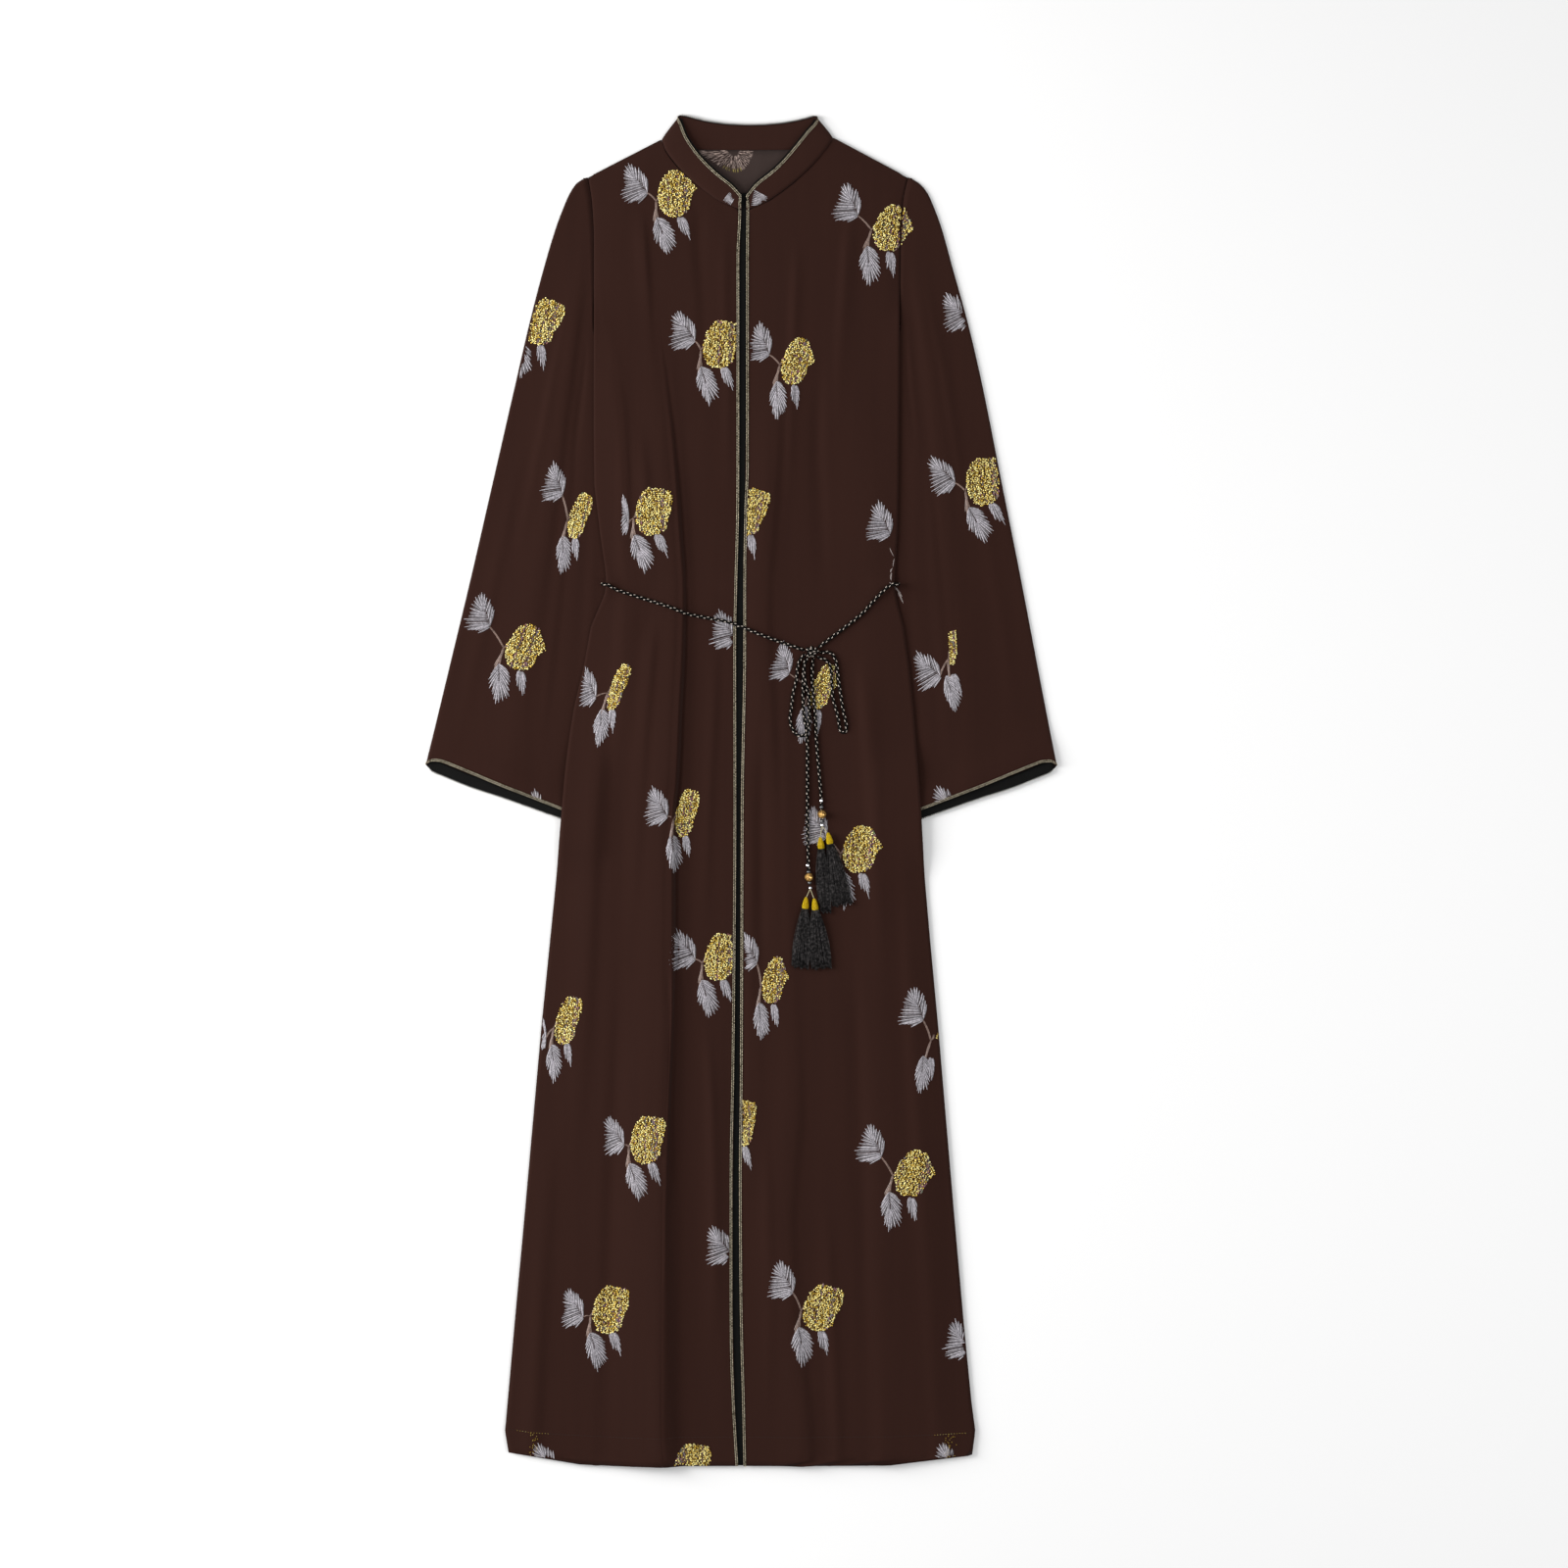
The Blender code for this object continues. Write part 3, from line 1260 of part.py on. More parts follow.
def build_abaya():
    for left_over in list(bpy.data.objects):
        bpy.data.objects.remove(left_over, do_unlink=True)

    crepe = {"colour": (0.034, 0.014, 0.010), "roughness": 0.85}
    black = {"colour": (0.011, 0.011, 0.010), "roughness": 0.75}
    beads = {"colour": (0.62, 0.50, 0.26), "roughness": 0.35, "metallic": 0.8}
    cord = {"colour": (0.035, 0.032, 0.028), "roughness": 0.65}

    back = add_back("back", material("back_crepe", **crepe))
    front_right = add_front(RIGHT, "front_right", material("front_right_crepe", **crepe))
    front_left = add_front(LEFT, "front_left", material("front_left_crepe", **crepe))
    tape = add_tape("front_tape", material("front_tape_black", **black))
    add_sleeve(RIGHT, "sleeve_right", material("sleeve_right_crepe", **crepe))
    add_sleeve(LEFT, "sleeve_left", material("sleeve_left_crepe", **crepe))
    add_cuff_facing(RIGHT, "cuff_facing_right", material("cuff_facing_right_black", **black))
    add_cuff_facing(LEFT, "cuff_facing_left", material("cuff_facing_left_black", **black))
    add_cuff_braid(RIGHT, "cuff_braid_right", material("cuff_braid_right_beads", **beads))
    add_cuff_braid(LEFT, "cuff_braid_left", material("cuff_braid_left_beads", **beads))
    add_collar("collar", material("collar_crepe", **crepe))
    panels = (back, front_right, front_left, tape)
    look = material("edge_braid_beads", **beads)
    braid = add_edge_braid("edge_braid", surface_under(panels), look)

    height = surface_under((*panels, braid))
    belt_points = add_belt("belt_waist", height, material("belt_waist_cord", **cord))
    laid = [belt_points]
    for name, route in TAIL_ROUTES.items():
        laid.append(laid_route(route, height, BELT_RADIUS, 0.0080))
        add_cord(name, laid[-1], BELT_RADIUS, material(name + "_cord", **cord))
    for name, route in LOOP_ROUTES.items():
        points = laid_route(route, height, BELT_RADIUS, 0.0052, crossed=laid)
        add_cord(name, points, BELT_RADIUS, material(name + "_cord", **cord))

    knot_y = LENGTH / 2 - KNOT["down"]
    knot_radii = (KNOT["half_width"], KNOT["half_length"], KNOT["half_height"])
    knot_floor = height_within(height, KNOT["x"], knot_y, KNOT["half_width"])
    knot_centre = Vector((KNOT["x"], knot_y, knot_floor + SEAM_GAP + KNOT["half_height"]))
    add_ball("belt_knot", knot_centre, knot_radii, 16, 10, material("belt_knot_cord", **cord), True)
    for name, (x, down) in BEADS.items():
        floor = height_within(height, x, LENGTH / 2 - down, BEAD_RADIUS)
        look = material(name + "_gold", (0.60, 0.36, 0.08), 0.22, 0.9)
        radii = (BEAD_RADIUS, BEAD_RADIUS * 0.96, BEAD_RADIUS)
        add_ball(name, place(x, down, floor + SEAM_GAP + BEAD_RADIUS), radii, 12, 8, look, False)
    for name, sizes in TASSELS.items():
        cap_look = material(name + "_cap", (0.70, 0.50, 0.03), 0.45, 0.25)
        strand_look = material(name + "_strands", (0.030, 0.028, 0.028), 0.6)
        add_tassel(name, sizes, height, cap_look, strand_look)


build_abaya()
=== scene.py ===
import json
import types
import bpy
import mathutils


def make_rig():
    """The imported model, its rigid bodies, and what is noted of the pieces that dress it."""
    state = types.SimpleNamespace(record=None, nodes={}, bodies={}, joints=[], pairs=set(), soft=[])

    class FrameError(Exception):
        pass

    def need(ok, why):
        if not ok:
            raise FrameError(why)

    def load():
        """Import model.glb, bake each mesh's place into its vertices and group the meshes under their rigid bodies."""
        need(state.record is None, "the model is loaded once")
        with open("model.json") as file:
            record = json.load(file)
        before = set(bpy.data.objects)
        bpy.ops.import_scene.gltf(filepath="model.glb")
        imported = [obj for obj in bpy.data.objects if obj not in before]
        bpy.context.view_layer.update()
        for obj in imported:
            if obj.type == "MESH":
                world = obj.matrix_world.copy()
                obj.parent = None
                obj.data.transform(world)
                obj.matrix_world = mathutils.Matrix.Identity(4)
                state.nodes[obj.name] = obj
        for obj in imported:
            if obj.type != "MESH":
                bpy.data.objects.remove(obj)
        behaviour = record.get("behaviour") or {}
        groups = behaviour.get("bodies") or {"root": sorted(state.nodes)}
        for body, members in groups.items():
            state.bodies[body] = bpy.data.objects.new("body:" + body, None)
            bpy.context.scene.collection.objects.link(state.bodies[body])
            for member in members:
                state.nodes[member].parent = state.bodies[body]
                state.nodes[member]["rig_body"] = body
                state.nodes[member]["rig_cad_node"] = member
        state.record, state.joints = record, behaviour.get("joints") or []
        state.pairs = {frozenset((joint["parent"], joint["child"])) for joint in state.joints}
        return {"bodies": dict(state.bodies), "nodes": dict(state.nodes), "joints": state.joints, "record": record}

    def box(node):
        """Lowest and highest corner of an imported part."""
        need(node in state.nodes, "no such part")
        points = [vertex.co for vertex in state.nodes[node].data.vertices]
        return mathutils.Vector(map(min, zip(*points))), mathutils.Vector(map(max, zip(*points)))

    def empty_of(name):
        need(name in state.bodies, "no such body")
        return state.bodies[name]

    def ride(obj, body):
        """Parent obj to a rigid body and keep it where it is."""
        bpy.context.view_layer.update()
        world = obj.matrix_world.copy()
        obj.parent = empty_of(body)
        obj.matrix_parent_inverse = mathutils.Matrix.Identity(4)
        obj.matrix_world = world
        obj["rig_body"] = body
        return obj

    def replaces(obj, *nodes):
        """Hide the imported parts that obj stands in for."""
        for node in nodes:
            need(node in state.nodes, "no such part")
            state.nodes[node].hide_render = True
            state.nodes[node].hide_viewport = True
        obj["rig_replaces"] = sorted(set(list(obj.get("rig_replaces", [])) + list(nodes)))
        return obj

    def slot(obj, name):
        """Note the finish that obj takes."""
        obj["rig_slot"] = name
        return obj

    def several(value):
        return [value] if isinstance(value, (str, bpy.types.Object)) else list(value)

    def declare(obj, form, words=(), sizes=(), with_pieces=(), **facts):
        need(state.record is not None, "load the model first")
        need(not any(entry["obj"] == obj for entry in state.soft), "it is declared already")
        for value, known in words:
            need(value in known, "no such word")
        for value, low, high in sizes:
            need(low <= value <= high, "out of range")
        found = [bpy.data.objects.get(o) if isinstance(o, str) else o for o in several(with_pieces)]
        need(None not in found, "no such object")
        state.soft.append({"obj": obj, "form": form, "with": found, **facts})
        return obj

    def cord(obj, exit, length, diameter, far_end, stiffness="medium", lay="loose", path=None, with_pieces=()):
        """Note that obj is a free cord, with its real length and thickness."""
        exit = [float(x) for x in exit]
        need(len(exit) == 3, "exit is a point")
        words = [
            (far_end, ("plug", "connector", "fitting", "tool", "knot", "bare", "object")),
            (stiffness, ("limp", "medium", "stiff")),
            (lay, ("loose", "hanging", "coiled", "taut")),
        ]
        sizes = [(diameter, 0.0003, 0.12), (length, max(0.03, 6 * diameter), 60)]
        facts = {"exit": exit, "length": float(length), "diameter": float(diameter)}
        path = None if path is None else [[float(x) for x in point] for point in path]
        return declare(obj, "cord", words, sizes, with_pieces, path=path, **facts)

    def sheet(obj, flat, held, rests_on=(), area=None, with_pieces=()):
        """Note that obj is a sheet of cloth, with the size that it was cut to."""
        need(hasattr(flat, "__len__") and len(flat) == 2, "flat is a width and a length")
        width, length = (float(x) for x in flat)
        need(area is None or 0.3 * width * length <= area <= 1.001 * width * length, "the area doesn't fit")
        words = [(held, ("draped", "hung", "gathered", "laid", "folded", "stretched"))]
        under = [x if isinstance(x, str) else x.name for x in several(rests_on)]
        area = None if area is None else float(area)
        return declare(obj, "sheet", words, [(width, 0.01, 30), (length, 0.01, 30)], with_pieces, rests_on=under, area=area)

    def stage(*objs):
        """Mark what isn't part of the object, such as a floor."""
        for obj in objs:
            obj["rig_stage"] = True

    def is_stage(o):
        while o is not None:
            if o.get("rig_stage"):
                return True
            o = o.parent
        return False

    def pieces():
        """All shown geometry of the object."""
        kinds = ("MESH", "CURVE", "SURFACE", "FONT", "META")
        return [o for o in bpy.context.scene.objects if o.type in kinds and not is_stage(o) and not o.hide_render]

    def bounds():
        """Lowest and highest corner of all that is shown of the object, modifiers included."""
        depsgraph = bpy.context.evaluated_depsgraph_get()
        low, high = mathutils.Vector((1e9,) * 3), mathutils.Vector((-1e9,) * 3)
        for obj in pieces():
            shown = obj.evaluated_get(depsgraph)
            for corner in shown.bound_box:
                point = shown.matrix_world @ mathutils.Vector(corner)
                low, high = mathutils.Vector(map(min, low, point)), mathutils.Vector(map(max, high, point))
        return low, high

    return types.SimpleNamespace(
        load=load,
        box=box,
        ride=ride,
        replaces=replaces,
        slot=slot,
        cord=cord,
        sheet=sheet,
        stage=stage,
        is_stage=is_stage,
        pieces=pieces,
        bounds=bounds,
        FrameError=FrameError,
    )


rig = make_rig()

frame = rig.load()

import json
import math
import random

import bmesh
import bpy
import numpy as np
from mathutils import Vector
from mathutils.bvhtree import BVHTree

cad_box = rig.bounds()


# The board that the garment is laid on, the studio lights and the camera. The board is plain and
# pale. A broad soft light stands on the wearer's right, so that long folds shade on the other side.
# The camera looks straight down, and its frame is 1600 by 1600.
FRAME_WIDTH = 1.6904
FRAME_CENTRE = (0.0460, 0.0066)
CLOTH_PLANE = 0.006
LENS = 85.0
SENSOR = 36.0
FAR_CLIP = 30.0
LIGHTS = (  # name, place, width and length, power and tint. Each is aimed at the board's middle
    ("broad_light", (-2.5, 0.45, 1.40), (1.3, 2.2), 104.0, (1.0, 0.99, 0.98)),
    ("far_light", (1.6, -0.4, 2.6), (2.2, 2.2), 27.0, (0.98, 0.99, 1.0)),
)
SKY_STRENGTH = 0.50
BOARD_SIDE = 7.0
BOARD_DROP = 0.0004
BOARD_PAINT = {"Base Color": (0.90, 0.90, 0.90, 1.0), "Roughness": 0.9, "Specular IOR Level": 0.1}

camera_data = bpy.data.cameras.new("camera")
camera_data.lens = LENS
camera_data.sensor_width = SENSOR
camera_data.clip_end = FAR_CLIP
camera = bpy.data.objects.new("camera", camera_data)
camera.location = (*FRAME_CENTRE, CLOTH_PLANE + FRAME_WIDTH * LENS / SENSOR)
bpy.context.scene.collection.objects.link(camera)
bpy.context.scene.camera = camera
bpy.context.scene.view_settings.view_transform = "Standard"

for name, spot, size, power, tint in LIGHTS:
    data = bpy.data.lights.new(name, "AREA")
    data.shape = "RECTANGLE"
    data.size, data.size_y = size
    data.energy = power
    data.color = tint
    light = bpy.data.objects.new(name, data)
    light.location = spot
    light.rotation_euler = (-Vector(spot)).to_track_quat("-Z", "Y").to_euler()
    bpy.context.scene.collection.objects.link(light)
sky = bpy.data.worlds.new("studio")
sky.use_nodes = True
sky.node_tree.nodes["Background"].inputs["Color"].default_value = (1.0, 1.0, 1.0, 1.0)
sky.node_tree.nodes["Background"].inputs["Strength"].default_value = SKY_STRENGTH
bpy.context.scene.world = sky

bpy.ops.object.select_all(action="DESELECT")
bpy.ops.mesh.primitive_plane_add(size=BOARD_SIDE, location=(0, 0, 0))
board = bpy.context.active_object
board.name = "board"
for vertex in board.data.vertices:
    vertex.co.z = -BOARD_DROP
board_look = bpy.data.materials.new("board_paint")
board_look.use_nodes = True
for socket, value in BOARD_PAINT.items():
    board_look.node_tree.nodes["Principled BSDF"].inputs[socket].default_value = value
board.data.materials.append(board_look)
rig.stage(board)


# The belt is one soft braided cord: black strands with a pale twisted strand that shows as flecks.
# It goes round the waist, ties in a bow at the wearer's left and ends in two short tails. Each run
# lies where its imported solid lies, and follows the same points: x, and down from the collar.
GARMENT_LENGTH = 1.4575
BELT_RADIUS = 0.0018
BELT_BACK_DOWN = 0.5070
BELT_RIGHT_ROUTE = (
    (-0.1420, 0.5085), (-0.1370, 0.5120), (-0.1220, 0.5172), (-0.1062, 0.5224), (-0.0893, 0.5277),
    (-0.0734, 0.5330), (-0.0607, 0.5383), (-0.0380, 0.5430), (-0.0174, 0.5467), (0.0005, 0.5531),
    (0.0200, 0.5610), (0.0354, 0.5668), (0.0530, 0.5730), (0.0678, 0.5780),
)
BELT_LEFT_ROUTE = (
    (0.0832, 0.5750), (0.0950, 0.5660), (0.1093, 0.5552), (0.1305, 0.5383), (0.1460, 0.5215),
    (0.1590, 0.5090), (0.1615, 0.5075),
)
# Where the belt turns round each side edge: the side and the edge's x. Then the heights of the
# cord's centre line behind the edge and in front of it.
BELT_TURNS = ((-1, -0.1459), (1, 0.1654))
BELT_LOW = 0.0051
BELT_HIGH = 0.0142
# Behind the body: x, height of the centre line over the sleeves' edges and over the board
BELT_BEHIND = (
    (-0.1398, 0.0051), (-0.1338, 0.0044), (-0.1278, 0.0026), (-0.1218, 0.0018), (-0.0900, 0.0018),
    (-0.0300, 0.0018), (0.0300, 0.0018), (0.0900, 0.0018), (0.1282, 0.0018), (0.1342, 0.0026),
    (0.1402, 0.0044), (0.1462, 0.0051),
)
BOW_ROUTES = {
    "belt_loop_right": (
        (0.0686, 0.5821), (0.0629, 0.5890), (0.0607, 0.5964), (0.0597, 0.6080), (0.0555, 0.6260),
        (0.0540, 0.6408), (0.0525, 0.6513), (0.0536, 0.6595), (0.0568, 0.6660), (0.0610, 0.6700),
        (0.0652, 0.6708), (0.0692, 0.6688), (0.0720, 0.6630), (0.0734, 0.6513), (0.0734, 0.6355),
        (0.0713, 0.6207), (0.0680, 0.6059), (0.0678, 0.5932), (0.0718, 0.5862),
    ),
    "belt_loop_left": (
        (0.0846, 0.5805), (0.0946, 0.5800), (0.1004, 0.5858), (0.1030, 0.5943), (0.1051, 0.6122),
        (0.1072, 0.6270), (0.1093, 0.6408), (0.1115, 0.6503), (0.1130, 0.6570), (0.1136, 0.6625),
        (0.1125, 0.6661), (0.1099, 0.6673), (0.1073, 0.6661), (0.1061, 0.6625), (0.1052, 0.6560),
        (0.1030, 0.6450), (0.0988, 0.6302), (0.0977, 0.6144), (0.0967, 0.5996),
        (0.0935, 0.5905), (0.0870, 0.5868), (0.0815, 0.5853),
    ),
    "belt_tail_right": (
        (0.0714, 0.5856), (0.0678, 0.5945), (0.0666, 0.6059), (0.0664, 0.6250), (0.0668, 0.6420),
        (0.0690, 0.6570), (0.0708, 0.6700), (0.0713, 0.6900), (0.0713, 0.7221), (0.0713, 0.7600),
        (0.0720, 0.8020), (0.0728, 0.8177),
    ),
    "belt_tail_left": (
        (0.0773, 0.5866), (0.0765, 0.5980), (0.0764, 0.6090), (0.0772, 0.6240), (0.0790, 0.6376),
        (0.0803, 0.6587), (0.0808, 0.6725), (0.0840, 0.7116), (0.0860, 0.7359), (0.0866, 0.7502),
    ),
}
ROUTE_STEP = 0.004
PATH_STEP = 0.002
HEIGHT_SWEEPS = 3
WAIST_SWEEPS = 3
ROUTE_SWEEPS = 2
BRAID_STEP = 0.0011
BRAID_SIDES = 16
BRAID_LAY = 0.0075
BRAID_RELIEF = 0.16
CAST_FROM = 0.2
UP = Vector((0, 0, 1))


def smoothstep(share):
    share = min(1.0, max(0.0, share))
    return share * share * (3.0 - 2.0 * share)


def smooth_value(rows, column, at):
    """A column of a table at a distance in its first column, on a cubic that never overshoots."""
    if at <= rows[0][0]:
        return rows[0][column]
    if at >= rows[-1][0]:
        return rows[-1][column]
    i = max(k for k, row in enumerate(rows) if row[0] <= at)

    def rise(k):
        return (rows[k + 1][column] - rows[k][column]) / (rows[k + 1][0] - rows[k][0])

    def slope(k):
        if k in (0, len(rows) - 1):
            return rise(min(k, len(rows) - 2))
        before, after = rise(k - 1), rise(k)
        return 0.0 if before * after <= 0 else 2.0 * before * after / (before + after)

    step = rows[i + 1][0] - rows[i][0]
    t = (at - rows[i][0]) / step
    return (
        (2 * t**3 - 3 * t**2 + 1) * rows[i][column]
        + (t**3 - 2 * t**2 + t) * step * slope(i)
        + (3 * t**2 - 2 * t**3) * rows[i + 1][column]
        + (t**3 - t**2) * step * slope(i + 1)
    )


def measured(points):
    """The points as rows that start with the distance travelled."""
    rows = [(0.0, *points[0])]
    for before, after in zip(points, points[1:]):
        rows.append((rows[-1][0] + math.dist(before, after), *after))
    return rows


def place(x, down, z=0.0):
    return Vector((x, GARMENT_LENGTH / 2 - down, z))


def tree_of(obj):
    mesh = obj.data
    return BVHTree.FromPolygons([v.co for v in mesh.vertices], [p.vertices[:] for p in mesh.polygons])


def top_at(tree, x, y):
    """The height of the highest surface at a place, or None."""
    hit = tree.ray_cast(Vector((x, y, CAST_FROM)), Vector((0, 0, -1)))[0]
    return None if hit is None else hit.z


def even_points(points, step):
    """Points at even steps along a smooth curve through the points."""
    rows = measured([tuple(point) for point in points])
    count = max(3, round(rows[-1][0] / step))
    return [
        Vector([smooth_value(rows, column, rows[-1][0] * i / count) for column in (1, 2, 3)])
        for i in range(count + 1)
    ]


def eased(points, sweeps):
    """The points with each one moved part of the way to its neighbours' middle."""
    for sweep in range(sweeps):
        inner = [(a + 2 * b + c) / 4 for a, b, c in zip(points, points[1:], points[2:])]
        points = [points[0], *inner, points[-1]]
    return points


def lying_route(route, node):
    """The cord's centre line over the cloth, at the height at which its solid lies."""
    tree = tree_of(frame["nodes"][node])
    rows = measured(route)
    count = round(rows[-1][0] / ROUTE_STEP)
    points = []
    for i in range(count + 1):
        at = rows[-1][0] * i / count
        point = place(smooth_value(rows, 1, at), smooth_value(rows, 2, at))
        top = top_at(tree, point.x, point.y)
        if top is None:
            top = (points[-1].z if points else BELT_HIGH) + BELT_RADIUS
        point.z = top - BELT_RADIUS
        points.append(point)
    for sweep in range(HEIGHT_SWEEPS):
        heights = [(a.z + 2 * b.z + c.z) / 4 for a, b, c in zip(points, points[1:], points[2:])]
        for point, height in zip(points[1:], heights):
            point.z = height
    return eased(even_points(points, PATH_STEP), ROUTE_SWEEPS)


def circle(count, start=0.0):
    """Cosine and sine at even steps round a circle."""
    angles = [start + 2 * math.pi * k / count for k in range(count)]
    return [(math.cos(angle), math.sin(angle)) for angle in angles]


def skin(mesh, rings, closed=False, smooth=True, lengths=None):
    """Quads between rings of corners, and a face on each end of an open row. With a length for each
    ring, the map runs once round the rings and, in metres, along them."""
    uv = mesh.loops.layers.uv.get("along")
    sides = len(rings[0])
    for i, (ring, after) in enumerate(zip(rings, rings[1:] + rings[:1] if closed else rings[1:])):
        for k in range(sides):
            m = (k + 1) % sides
            face = mesh.faces.new((ring[k], ring[m], after[m], after[k]))
            face.smooth = smooth
            for loop, (turn, row) in zip(face.loops, ((k, i), (k + 1, i), (k + 1, i + 1), (k, i + 1))):
                if lengths:
                    loop[uv].uv = (turn / sides, lengths[row])
    ends = () if closed else ((rings[0][::-1], 0), (rings[-1], -1))
    for ring, row in ends:
        for loop in mesh.faces.new(ring).loops:
            if lengths:
                loop[uv].uv = (0.5, lengths[row])


def placed(data, *looks):
    """The object of a mesh, with its materials, in the scene."""
    for look in looks:
        data.materials.append(look.material)
    obj = bpy.data.objects.new(data.name, data)
    bpy.context.scene.collection.objects.link(obj)
    return obj


def object_of(name, mesh, *looks):
    """The object of a mesh that was built face by face."""
    data = bpy.data.meshes.new(name)
    mesh.to_mesh(data)
    mesh.free()
    return placed(data, *looks)


def cord_mesh(name, points, radius):
    """A tube of the belt's braid along the points, with the strands' low relief."""
    mesh = bmesh.new()
    mesh.loops.layers.uv.new("along")
    rings = []
    lengths = []
    up = UP
    last = len(points) - 1
    travelled = 0.0
    for i, point in enumerate(points):
        before = points[max(i - 1, 0)]
        ahead = (points[min(i + 1, last)] - before).normalized()
        up = (up - ahead * up.dot(ahead)).normalized()
        across = ahead.cross(up)
        travelled += (point - before).length
        lengths.append(travelled)
        ends = min(1.0, 0.55 + i / 3.0, 0.55 + (last - i) / 3.0)
        ring = []
        for k, (cosine, sine) in enumerate(circle(BRAID_SIDES)):
            turn, lays = 2 * k / BRAID_SIDES, travelled / BRAID_LAY
            ridge = max(abs(math.sin(math.pi * (turn + lays))), abs(math.sin(math.pi * (turn - lays))))
            reach = radius * ends * (1.0 - BRAID_RELIEF * (1.0 - ridge))
            ring.append(mesh.verts.new(point + (across * cosine + up * sine) * reach))
        rings.append(ring)
    skin(mesh, rings, lengths=lengths)
    bmesh.ops.recalc_face_normals(mesh, faces=mesh.faces)
    return object_of(name, mesh, belt_look)


def node_maker(tree):
    """Short calls that add a node with its values, and a math node, to a tree."""

    def add(kind, settings=None, **values):
        made = tree.nodes.new(kind)
        for key, value in (settings or {}).items():
            setattr(made, key, value)
        for key, value in values.items():
            name = key.replace("_", " ")
            socket = made.inputs[int(key[1:])] if key[1:].isdigit() else made.inputs[name]
            if hasattr(value, "is_output"):
                tree.links.new(value, socket)
            else:
                socket.default_value = value
        return made

    def calc(kind, first, second=0.0, third=0.0):
        return add("ShaderNodeMath", {"operation": kind}, i0=first, i1=second, i2=third).outputs[0]

    return add, calc


def new_group(name, inputs, outputs):
    """An empty shader node group with named sockets. An input is (name, kind, value)."""
    group = bpy.data.node_groups.new(name, "ShaderNodeTree")
    for label, kind, value in inputs:
        socket = group.interface.new_socket(name=label, in_out="INPUT", socket_type=kind)
        socket.default_value = value
    for label, kind in outputs:
        group.interface.new_socket(name=label, in_out="OUTPUT", socket_type=kind)
    return group, group.nodes.new("NodeGroupInput"), group.nodes.new("NodeGroupOutput")


class Look:
    """A material with its shader, and calls that give it a colour and a relief."""

    def __init__(self, name, roughness, specular=0.3, metallic=0.0):
        self.material = bpy.data.materials.new(name)
        self.material.use_nodes = True
        self.shader = self.material.node_tree.nodes["Principled BSDF"]
        self.add, self.calc = node_maker(self.material.node_tree)
        values = {"Roughness": roughness, "Specular IOR Level": specular, "Metallic": metallic}
        for socket, value in values.items():
            self.shader.inputs[socket].default_value = value

    def place_on(self):
        return self.add("ShaderNodeTexCoord").outputs["Object"]

    def round_and_along(self):
        """Where a point lies round a cord and, in metres, along it."""
        cord_map = self.add("ShaderNodeUVMap", {"uv_map": "along"}).outputs[0]
        return self.add("ShaderNodeSeparateXYZ", Vector=cord_map).outputs[:2]

    def noise(self, scale, detail=2.0):
        return self.add("ShaderNodeTexNoise", Scale=scale, Detail=detail, Vector=self.place_on()).outputs[0]

    def spread(self, value, low, high, to_low=0.0, to_high=1.0):
        """A value's range from low to high, spread over another range."""
        return self.add("ShaderNodeMapRange", Value=value, i1=low, i2=high, i3=to_low, i4=to_high).outputs[0]

    def mix(self, share, dark, light):
        """From one colour, or an output that carries it, to another."""
        dark, light = (end if hasattr(end, "is_output") else (*end, 1.0) for end in (dark, light))
        return self.add("ShaderNodeMix", {"data_type": "RGBA"}, Factor=share, i6=dark, i7=light).outputs[2]

    def feed(self, socket, value):
        self.material.node_tree.links.new(value, self.shader.inputs[socket])

    def relief(self, height, strength, distance):
        bump = self.add("ShaderNodeBump", Strength=strength, Distance=distance, Height=height)
        self.feed("Normal", bump.outputs[0])


# The braid's pattern: black strands that cross over each other on a diamond grid, read from the
# map that runs round and along the cord. One pale strand among them shows as two rows of short
# slanted flecks, half a pitch apart, each side of the cord's crest.
FLECK_PITCH = 0.0076
FLECK_HALF_LENGTH = 0.00112
FLECK_HALF_WIDTH = 0.00044
FLECK_ASIDE = 0.17
FLECK_SLANT = 0.42
STRAND_BLACKS = ((0.0015, 0.0015, 0.0015), (0.006, 0.0055, 0.005))
STRAND_PALE = (0.62, 0.54, 0.47)
BRAID_INPUTS = {"Around": 0.0, "Along": 0.0, "Lay": BRAID_LAY}
braid_group, group_in, group_out = new_group(
    "crossed_strands",
    [(label, "NodeSocketFloat", value) for label, value in BRAID_INPUTS.items()],
    [("Pale", "NodeSocketFloat"), ("Height", "NodeSocketFloat")],
)
add, calc = node_maker(braid_group)
around = calc("MULTIPLY", group_in.outputs["Around"], 4.0)
along = calc("DIVIDE", group_in.outputs["Along"], group_in.outputs["Lay"])
along = calc("MULTIPLY", along, 2.0)
half_turn = calc("SUBTRACT", calc("FRACT", calc("MULTIPLY", group_in.outputs["Around"], 2.0)), 0.5)
beyond = calc("GREATER_THAN", half_turn, 0.0)
fleck_at = calc("ADD", calc("DIVIDE", group_in.outputs["Along"], FLECK_PITCH), calc("MULTIPLY", beyond, 0.5))
off_along = calc("SUBTRACT", calc("FRACT", fleck_at), 0.5)
row_at = calc("MULTIPLY", calc("SUBTRACT", calc("MULTIPLY", beyond, 2.0), 1.0), FLECK_ASIDE)
off_row = calc("SUBTRACT", calc("SUBTRACT", half_turn, row_at), calc("MULTIPLY", off_along, FLECK_SLANT))
length_share = calc("MULTIPLY", off_along, FLECK_PITCH / FLECK_HALF_LENGTH)
width_share = calc("MULTIPLY", off_row, math.pi * BELT_RADIUS / FLECK_HALF_WIDTH)
